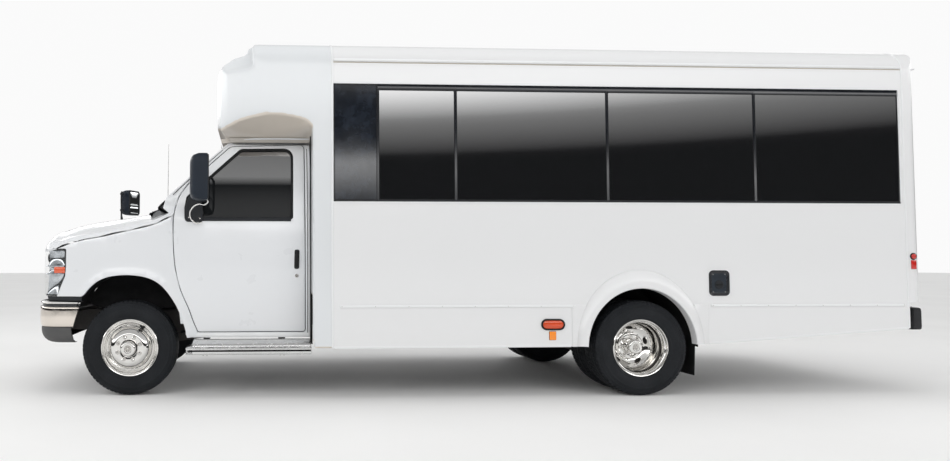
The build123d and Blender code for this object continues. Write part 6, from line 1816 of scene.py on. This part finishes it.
for y in np.linspace(-1020, 1020, 60):
    bp.box(6364, 6420, y - 5, y + 5, 674.2, 677, "seal", r=1)
for y in (-330, 330):
    bp.box(6300, 6352, y - 20, y + 20, 545, 640, "frame_black", r=4)
    for z in (565, 620):
        screw(bp, (6434, y, z), (1, 0, 0), 8, "chrome_dull")
bp.done("rear_bumper_pad", "vehicle_body", slot="trim_black", replaces=("rear_bumper",), weld=0.2, angle=40)

# --- entry leaves: seals, rails, handle
for name, x0_, x1_, hinge in (("entry_door_front", 1686, 2077, -1), ("entry_door_rear", 2083, 2474, 1)):
    m = Mesh()
    for z0_, z1_ in ((1240, 2340), (560, 1140)):
        ring = ccw(resample(rounded([(x0_ + 46, z0_ - 9), (x1_ - 46, z0_ - 9), (x1_ - 46, z1_ + 9), (x0_ + 46, z1_ + 9)], 26, 5), 60))
        rows = [[(p[0], 1217 + d, p[1]) for p in inset(ring, o)] for o, d in ((0, 0.2), (2, 2.0), (6, 2.6), (12, 1.8), (14, -2), (14, -10))]
        m.ribbon(rows, "seal", close_v=True)
    ring = ccw(resample(rounded([(x0_ + 3, 421), (x1_ - 3, 421), (x1_ - 3, 2411), (x0_ + 3, 2411)], 8, 3), 90))
    rows = [[(p[0], 1217 + d, p[1]) for p in inset(ring, o)] for o, d in ((0, -3), (0, 0.8), (1.2, 1.8), (9, 1.8), (10, 0.2))]
    m.ribbon(rows, "frame_gloss", close_v=True)
    xe = x1_ - 6 if hinge < 0 else x0_ + 6
    m.sweep([(xe, 1215, z) for z in np.linspace(430, 2400, 24)], (0, 1, 0), [(-16, -6), (1, -6), (3, -3), (3, 3), (1, 6), (-16, 6)], "seal")
    m.tube(smooth_line([(x0_ + 70, 1183, 1010), (x0_ + 70, 1150, 1024), (x0_ + 70, 1146, 1080), (x1_ - 70, 1146, 1330), (x1_ - 70, 1150, 1386), (x1_ - 70, 1183, 1400)], 24), 14, "alloy", n=14)
    for z in (700, 1190, 2150):
        xh = x0_ + 8 if hinge < 0 else x1_ - 8
        m.tube([(xh, 1184, z - 50), (xh, 1184, z), (xh, 1184, z + 50)], 8, "chrome_dull", n=12)
    m.done(name + "_dressing", name, slot="trim_black", weld=0.1, angle=45)
dj = Mesh()
ring = [(1676, 404), (1676, 2424), (2484, 2424), (2484, 404)]
dj.sweep([(p[0], HB, p[1]) for p in resample(ring, 90, closed=False)], (0, 1, 0), [(-1, -6), (2, -6), (4, -2), (4, 2), (2, 6), (-1, 6)], "trim_white")
dj.box(1676, 2484, 1180, 1219, 396, 408, "alloy", r=2)
for y0_, y1_, z in ((905, 1170, 417), (655, 915, 607)):  # ribbed treads with a bright nosing
    dj.box(1700, 2460, y0_ + 8, y1_ - 8, z - 1, z + 3, "floor", r=1)
    for k in range(9):
        yy = y0_ + 22 + k * (y1_ - y0_ - 44) / 8
        dj.box(1706, 2454, yy - 3, yy + 3, z + 2, z + 5, "seal", r=1)
    dj.box(1700, 2460, y1_ - 12, y1_ - 2, z - 1, z + 6, "alloy", r=1.5)
dj.tube(smooth_line([(1712, 700, 790), (1712, 700, 1500), (1720, 704, 1640), (1712, 740, 1700)], 40), 15, "alloy", n=14)
dj.tube(smooth_line([(2450, 700, 790), (2450, 700, 1500), (2440, 704, 1640), (2450, 740, 1700)], 40), 15, "alloy", n=14)
dj.done("entry_step_trim", "vehicle_body", slot="step_aluminium", weld=0.1, angle=45)
# ------------------------------------------------------------------ seats: stuffed pads, seamed and channelled
def pad(m, origin, U, V, W, w, d, h, key="fabric", r=55, crown=0.30, pull=9.0, channels=(), split=None, nt=60, ns=13, piping=True):
    """Crowned closed pad. origin is the middle of its base; U across, V along, W out of the seat; edges draw in between corners."""
    o, U, V, W = (np.array(k, float) for k in (origin, U, V, W))
    ring = ccw(resample(rounded([(-w / 2, -d / 2), (w / 2, -d / 2), (w / 2, d / 2), (-w / 2, d / 2)], r, 7), 2 * (w + d) / nt))
    ring = [(a * (1 - pull / (w / 2) * (1 - abs(2 * b / d)**2.0) * min(1.0, abs(a) / (w / 2))),
             b * (1 - pull / (d / 2) * (1 - abs(2 * a / w)**2.0) * min(1.0, abs(b) / (d / 2)))) for a, b in ring]
    rows = []
    side_h = h * (1 - crown)
    rows.append([(a * 0.02, b * 0.02, 0.0) for a, b in ring])
    rows.append([(a * 0.6, b * 0.6, 0.0) for a, b in ring])
    rows.append([(a * 0.93, b * 0.93, 0.0) for a, b in ring])
    for t, s in ((0.06, 0.975), (0.22, 0.997), (0.5, 1.0), (0.78, 0.994), (0.9, 0.985)):
        rows.append([(a * s, b * s, side_h * t) for a, b in ring])
    for k, s in enumerate(np.linspace(0.965, 0.02, ns)):
        row = []
        for a, b in ring:
            aa, bb = a * s, b * s
            z = side_h * 0.93 + (h - side_h * 0.93) * (1 - s**3.2)**0.72
            fade = 1 - s**10
            for c in channels:
                z -= 9.0 * math.exp(-((bb - c) / 8.0)**2) * fade
            if split is not None:
                z -= 13.0 * math.exp(-((aa - split) / 9.0)**2) * fade
            z += 1.4 * math.sin(aa * 0.031 + bb * 0.017) * fade
            row.append((aa, bb, z))
        rows.append(row)
    pts = [[tuple(o + U * a + V * b + W * c) for a, b, c in row] for row in rows]
    m.ribbon(pts, key, close_v=True)
    m.add(pts[0], [tuple(range(len(pts[0])))], key)
    m.add(pts[-1], [tuple(range(len(pts[-1])))], key)
    if piping:
        seam = [tuple(o + U * a * 0.992 + V * b * 0.992 + W * (side_h * 0.90)) for a, b in ring]
        m.tube(seam, 4.0, "piping", n=6, closed=True)


def back_axes(x0, z0, x1, z1):
    v = np.array([x1 - x0, 0, z1 - z0], float)
    run_ = float(np.linalg.norm(v))
    v /= run_
    return v, np.array([-v[2], 0, v[0]]), run_


rows_ = [(-1, x) for x in (1790, 2550, 3310, 4070, 4830, 5590)] + [(1, x) for x in (2650, 3410, 4170, 4930)]
fr = Mesh()
for n, (side, x) in enumerate(rows_):
    yc, z = side * 720.0, 780.0
    tag = "%s%d" % ("left" if side < 0 else "right", n + 1 if side < 0 else n - 5)
    cu, bk = Mesh(), Mesh()
    v, wv, run_ = back_axes(x + 470, 1185, x + 572, 1786)
    for dy in (-216, 216):
        pad(cu, (x + 222, yc + dy, 1094), (0, 1, 0), (1, 0, 0), (0, 0, 1), 424, 430, 95, channels=(-90, 10, 110), r=62, crown=0.34)
        pad(bk, np.array((x + 470, yc + dy, 1185)) + v * (run_ / 2), (0, 1, 0), v, wv, 420, run_ - 6, 62, channels=(-150, -20, 110), r=60, crown=0.42, pull=11, nt=56, ns=11)
    cu.done("bench_cushion_" + tag, "vehicle_body", slot="seat_fabric", replaces=("passenger_seats",), padded=0.85, angle=60, weld=0.02)
    bk.done("bench_back_" + tag, "vehicle_body", slot="seat_fabric", replaces=("passenger_seats",), padded=0.85, angle=60, weld=0.02)
    # moulded back shell, seat pan, grab rail, pedestal legs
    bx = np.array((x + 474, yc, 1180.0))
    for dy in (-216, 216):
        rows = []
        for t in np.linspace(0, 1, 12):
            c = bx + v * (t * run_ * 0.985) - wv * 2
            hw = 205 * (1 - 0.10 * t**6)
            row = [tuple(c + np.array((0, dy + hw * s, 0)) - wv * (20 * (1 - abs(s)**3) * (1 - t**8 * 0.6))) for s in np.linspace(-1, 1, 11)]
            rows.append(row)
        fr.ribbon(rows, "dash")
    hand = [(x + 560, yc - 180, 1775), (x + 580, yc - 176, 1783), (x + 583, yc, 1784), (x + 580, yc + 176, 1783), (x + 560, yc + 180, 1775)]
    fr.tube(smooth_line(hand, 30), 6.5, "trim_black", n=8)
    fr.prism("z", rounded([(x + 20, yc - 415), (x + 425, yc - 415), (x + 425, yc + 415), (x + 20, yc + 415)], 30, 4), 1081, 1095, "dash", r=4)
    for yy in (yc - side * 250 - 46, yc - side * 250 + 46):
        fr.tube(smooth_line([(x + 120, yy, 783), (x + 128, yy, 790), (x + 190, yy, 1010), (x + 196, yy, 1084)], 40), 13, "dash", n=10)
        fr.tube(smooth_line([(x + 340, yy, 783), (x + 332, yy, 790), (x + 272, yy, 1010), (x + 266, yy, 1084)], 40), 13, "dash", n=10)
    fr.prism("z", rounded([(x + 111, yc - side * 250 - 59), (x + 349, yc - side * 250 - 59), (x + 349, yc - side * 250 + 59), (x + 111, yc - side * 250 + 59)], 14, 3), 780.5, 787, "dash", r=1.5)
    for dx, dyy in ((128, -50), (332, -50), (128, 50), (332, 50)):
        screw(fr, (x + dx, yc - side * 250 + dyy, 787), (0, 0, 1), 7, "chrome_dull", n=8)
    fr.box(x + 150, x + 310, yc - side * 250 - 40, yc - side * 250 + 40, 1040, 1082, "dash", r=6)
fr.done("bench_frames", "vehicle_body", slot="seat_fabric", replaces=("passenger_seats",), angle=45)

# --- cab seats
cf = Mesh()
for side, sname in SIDES:
    y = side * 520.0
    m = Mesh()
    pad(m, (885 + 222, y, 968), (0, 1, 0), (1, 0, 0), (0, 0, 1), 510, 436, 112, r=80, crown=0.36, channels=(-70, 60), pull=12)
    m.done("cab_cushion_" + sname, "vehicle_body", slot="seat_fabric", replaces=("cab_seats",), padded=0.9, angle=60, weld=0.02)
    v, wv, run_ = back_axes(1360, 1076, 1425, 1560)
    m = Mesh()
    pad(m, np.array((1360, y, 1076)) + v * (run_ / 2), (0, 1, 0), v, wv, 500, run_, 74, r=90, crown=0.42, channels=(-120, 30), pull=16)
    m.done("cab_back_" + sname, "vehicle_body", slot="seat_fabric", replaces=("cab_seats",), padded=0.9, angle=60, weld=0.02)
    m = Mesh()
    pad(m, (1428, y, 1634), (0, 1, 0), v, wv, 270, 128, 66, r=40, crown=0.42, pull=6, nt=44, ns=9)
    m.done("cab_headrest_" + sname, "vehicle_body", slot="seat_fabric", replaces=("cab_seats",), padded=0.95, angle=60, weld=0.02)
    rows = []
    for t in np.linspace(0, 1, 12):
        c = np.array((1363, y, 1072.0)) + v * (t * run_)
        rows.append([tuple(c + np.array((0, 240 * s, 0)) - wv * (18 * (1 - abs(s)**3))) for s in np.linspace(-1, 1, 13)])
    cf.ribbon(rows, "dash")
    for dy in (-60, 60):
        cf.tube([(1415, y + dy, 1548), (1422, y + dy, 1600)], 5, "chrome_dull", n=8)
    cf.prism("z", rounded([(905, y - 235), (1310, y - 235), (1310, y + 235), (905, y + 235)], 40, 4), 952, 970, "dash", r=5)
    cf.prism("z", rounded([(948, y - 195), (1282, y - 195), (1282, y + 195), (948, y + 195)], 24, 4), 722.5, 955, "dash", r=10)
    for yy in (y - 200, y + 200):
        cf.box(920, 1300, yy - 12, yy + 12, 930, 946, "alloy", r=2)
    if side < 0:
        cf.box(900, 1200, y + 236, y + 250, 960, 1010, "dash", r=6)
cf.done("cab_seat_frames", "vehicle_body", slot="seat_fabric", replaces=("cab_seats",), angle=45)

# --- steering wheel
TILT = math.radians(28)
hub = np.array((560 + 190 * math.cos(TILT), -520.0, 1180 + 190 * math.sin(TILT)))
nn, e1, e2 = np.array((math.cos(TILT), 0, math.sin(TILT))), np.array((0, 1.0, 0)), np.array((-math.sin(TILT), 0, math.cos(TILT)))
sw = Mesh()
ringp = [tuple(hub + nn * 20 + (e1 * math.cos(a) + e2 * math.sin(a)) * 187) for a in np.linspace(0, 2 * math.pi, 72, endpoint=False)]
rr = [14.4 + (0.55 if k % 3 == 0 else 0.0) for k in range(72)]
sw.tube(ringp, rr, "trim_black", n=14, closed=True)
for a0_, wid in ((0, 44), (math.pi, 44), (-math.pi / 2, 40)):
    d0 = e1 * math.cos(a0_) + e2 * math.sin(a0_)
    q0 = np.cross(nn, d0)
    rows = []
    for t in np.linspace(0, 1, 10):
        c = hub + d0 * (40 + 138 * t) + nn * (19 + 4 * math.sin(t * math.pi))
        hw = wid / 2 * (1.0 - 0.35 * math.sin(t * math.pi)) * (1.15 - 0.3 * t)
        rows.append([tuple(c + q0 * hw * math.cos(b) + nn * 7.5 * math.sin(b)) for b in np.linspace(0, 2 * math.pi, 16, endpoint=False)])
    sw.ribbon(rows, "dash", close_v=True)
hubo = ccw(rounded([(-66, -58), (66, -58), (78, 10), (60, 58), (-60, 58), (-78, 10)], 24, 5))
rows = []
for s, hgt in ((0.90, 4), (0.99, 8), (1.0, 18), (0.99, 28), (0.95, 34), (0.86, 38), (0.6, 40.5), (0.3, 41.5), (0.02, 41.8)):
    rows.append([tuple(hub + e1 * a * s + e2 * (b * s - 4) + nn * hgt) for a, b in hubo])
sw.ribbon(rows, "dash", close_v=True)
sw.add(rows[0], [tuple(range(len(rows[0])))], "dash")
sw.add(rows[-1], [tuple(range(len(rows[-1])))], "dash")
rows = [[tuple(hub + nn * hgt + (e1 * math.cos(a) + e2 * math.sin(a)) * rad) for a in np.linspace(0, 2 * math.pi, 28, endpoint=False)] for hgt, rad in ((0.5, 0.5), (0.5, 44), (2, 50), (8, 51), (14, 50))]
sw.ribbon(rows, "dash", close_v=True)
sw.done("steering_wheel_trim", "steering_wheel", slot="dash_plastic", replaces=("steering_wheel",), weld=0.02, angle=50)

# --- dashboard, binnacle, vents, column
db = Mesh()
base_sec = rounded([(445, 1007), (618, 1007), (648, 1118), (602, 1254), (486, 1306), (384, 1328), (398, 1250), (432, 1012)], 22, 5)
base_sec = ccw(resample(base_sec, 16))
rows = []
for y in [-888, -884, -870] + list(np.linspace(-850, 850, 44)) + [870, 884, 888]:
    k = {888: 12, 884: 4, 870: 1}.get(abs(int(round(y))), 0)
    q = inset(base_sec, k) if k else base_sec
    hump = math.exp(-((y + 520) / 210.0)**6)
    mid = math.exp(-(y / 230.0)**6)
    rows.append([(x + (6 * hump - 5 * mid) * max(0, min(1, (x - 520) / 60.0)), y, z + (0 if z < 1240 else 0)) for x, z in q])
db.ribbon(rows, "dash", close_v=True)
for r_ in (rows[0], rows[-1]):
    db.add(r_, [tuple(range(len(r_)))], "dash")
hood_o = ccw(rounded([(-700, 1190), (-340, 1190), (-352, 1296), (-420, 1322), (-620, 1322), (-688, 1296)], 26, 5))
db.skin(hood_o, lambda u, v, d: (636 - 0.35 * (v - 1190) - d, u, v), "dash", r=8, depth=150, step=60, edge=24)
db.skin(ccw(rounded([(-680, 1204), (-360, 1204), (-372, 1286), (-430, 1306), (-610, 1306), (-668, 1286)], 18, 4)),
        lambda u, v, d: (638.5 - 0.35 * (v - 1190) - d, u, v), "tint_solid", r=2, depth=4, step=80, edge=24)
for yc_, r0 in ((-600, 36), (-520, 40), (-440, 36)):
    db.lathe([(0, r0), (1.6, r0), (1.6, r0 - 4), (0, r0 - 4)], (617, yc_, 1252), "chrome_dull", axis="x", n=30)
for yc_ in (-800, -150, 150, 800):
    for k in range(5):
        db.box(612, 640, yc_ - 52, yc_ + 52, 1168 + k * 12, 1171 + k * 12, "trim_black", r=1)
    db.sweep([(634, p[0], p[1]) for p in resample(ccw(rounded([(yc_ - 58, 1160), (yc_ + 58, 1160), (yc_ + 58, 1226), (yc_ - 58, 1226)], 10, 3)), 30)], (1, 0, 0), [(-20, -3), (2, -3), (3, 0), (2, 3), (-20, 3)], "trim_black", closed=True)
db.prism("x", rounded([(-105, 1035), (105, 1035), (105, 1150), (-105, 1150)], 8, 3), 600, 648, "trim_black", r=3)
for yc_ in (-70, 0, 70):
    db.lathe([(0, 15), (12, 14), (16, 12), (16, 0)], (646, yc_, 1066), "dash", axis="x", n=20)
for yc_ in (-60, -20, 20, 60):
    db.box(647, 651, yc_ - 16, yc_ + 16, 1112, 1130, "dash", r=2)
db.prism("x", rounded([(330, 1032), (700, 1032), (700, 1150), (330, 1150)], 18, 4), 600, 646, "dash", r=5)
col = [tuple(np.array((560.0, -520, 1180)) + nn * t) for t in (0, 30, 80, 130, 172, 178)]
db.tube(col, [52, 50, 44, 38, 33, 30], "dash", n=24)
for s_ in (-1, 1):
    a = np.array((560.0, -520, 1180)) + nn * 120
    db.tube([tuple(a + e1 * s_ * 30), tuple(a + e1 * s_ * 90 + e2 * 10), tuple(a + e1 * s_ * 150 + e2 * 18)], [6, 5, 8], "trim_black", n=8)
db.done("dashboard_trim", "vehicle_body", slot="dash_plastic", replaces=("dashboard",), weld=0.05, angle=45)

# --- aisle strip and wall rails with their brackets inside the coach
it = Mesh()
for yy in (-265, 265):
    it.box(1600, 6200, yy - 18, yy + 18, 779, 783, "alloy", r=1)
it.box(1700, 6190, -262, 262, 779.5, 782, "floor", r=0.8)
for side in (-1, 1):
    it.tube(smooth_line([(1700 if side < 0 else 2560, side * 1010, 2500), (1760 if side < 0 else 2620, side * 1010, 2500), (6120, side * 1010, 2500), (6180, side * 1010, 2500)], 200), 13, "alloy", n=10)
    for x in np.linspace(2700, 6000, 5):
        it.tube([(x, side * 1010, 2500), (x, side * 1060, 2560), (x, side * 1100, 2600)], 8, "alloy", n=8)
it.done("aisle_and_rails", "vehicle_body", slot="floor_vinyl", angle=45)

# ------------------------------------------------------------------ studio
world = bpy.data.worlds.new("studio")
scene.world = world
world.use_nodes = True
wn, wl = world.node_tree.nodes, world.node_tree.links
wn.clear()
w_tc = wn.new("ShaderNodeTexCoord")
w_sep = wn.new("ShaderNodeSeparateXYZ")
wl.new(w_tc.outputs["Generated"], w_sep.inputs["Vector"])
w_ramp = wn.new("ShaderNodeValToRGB")
w_map = wn.new("ShaderNodeMapRange")
w_map.inputs["From Min"].default_value = -1.0
w_map.inputs["From Max"].default_value = 1.0
wl.new(w_sep.outputs["Z"], w_map.inputs["Value"])
wl.new(w_map.outputs["Result"], w_ramp.inputs["Fac"])
el = w_ramp.color_ramp.elements
while len(el) > 2:
    el.remove(el[-1])
stops = [(0.0, 0.30), (0.488, 0.28), (0.498, 0.03), (0.570, 0.025), (0.575, 0.30), (0.593, 0.95), (0.6155, 5.2), (0.630, 4.6), (0.68, 0.85), (0.85, 0.62), (1.0, 0.65)]
el[0].position, el[0].color = stops[0][0], (stops[0][1],) * 3 + (1,)
el[1].position, el[1].color = stops[-1][0], (stops[-1][1],) * 3 + (1,)
for p, v in stops[1:-1]:
    e = el.new(p)
    e.color = (v, v, v, 1)
w_refl = wn.new("ShaderNodeBackground")
wl.new(w_ramp.outputs["Color"], w_refl.inputs["Color"])
w_refl.inputs["Strength"].default_value = 0.8
w_cam = wn.new("ShaderNodeBackground")
w_cam.inputs["Color"].default_value = (0.96, 0.96, 0.96, 1)
w_cam.inputs["Strength"].default_value = 1.0
w_path = wn.new("ShaderNodeLightPath")
w_mix = wn.new("ShaderNodeMixShader")
w_out = wn.new("ShaderNodeOutputWorld")
wl.new(w_path.outputs["Is Camera Ray"], w_mix.inputs["Fac"])
wl.new(w_refl.outputs["Background"], w_mix.inputs[1])
wl.new(w_cam.outputs["Background"], w_mix.inputs[2])
wl.new(w_mix.outputs["Shader"], w_out.inputs["Surface"])


def area(name, loc, target, size, size_y, power):
    light = bpy.data.lights.new(name, "AREA")
    light.shape = "RECTANGLE"
    light.size, light.size_y = size, size_y
    light.energy = power
    light.color = (1.0, 0.995, 0.985)
    ob = bpy.data.objects.new(name, light)
    scene.collection.objects.link(ob)
    ob.visible_glossy = False
    ob.location = loc
    ob.rotation_mode = "QUATERNION"
    ob.rotation_quaternion = (Vector(target) - Vector(loc)).to_track_quat("-Z", "Y")
    return ob


area("key_light", (-7.5, -8.5, 7.5), (-1.5, 0, 1.2), 6, 4, 185)
area("fill_light", (5.5, -9.0, 6.0), (1.5, 0, 1.2), 6, 4, 120)
area("top_light", (0, -1.0, 8.5), (0, 0, 1.5), 9, 5, 170)
area("front_light", (-11, 1.5, 4.5), (-3, 0, 1.2), 4, 4, 95)

floor_mesh = bpy.data.meshes.new("floor_plane")
floor_mesh.from_pydata([(-60, -60, 0), (60, -60, 0), (60, 60, 0), (-60, 60, 0)], [], [(0, 1, 2, 3)])
floor = bpy.data.objects.new("floor_plane", floor_mesh)
scene.collection.objects.link(floor)
floor_mat = new_mat("pale_floor", (0.93, 0.93, 0.925), rough=0.75, var=0.02, var_scale=0.5)
floor_mesh.materials.append(floor_mat)

cam_data = bpy.data.cameras.new("camera")
cam = bpy.data.objects.new("camera", cam_data)
scene.collection.objects.link(cam)
scene.camera = cam
cam.location = (-1.8141, -6.8814, 1.0530)
yaw, pitch = math.radians(2.935), math.radians(2.386)
look = Vector((math.sin(yaw) * math.cos(pitch), math.cos(yaw) * math.cos(pitch), math.sin(pitch)))
cam.rotation_mode = "QUATERNION"
cam.rotation_quaternion = look.to_track_quat("-Z", "Y")
cam_data.lens = 27.94
cam_data.sensor_width = 36.0
cam_data.shift_x = 0.188
cam_data.shift_y = 0.0
cam_data.dof.use_dof = False
cam_data.clip_start, cam_data.clip_end = 0.05, 200.0

scene.view_settings.view_transform = "Standard"
scene.view_settings.look = "None"
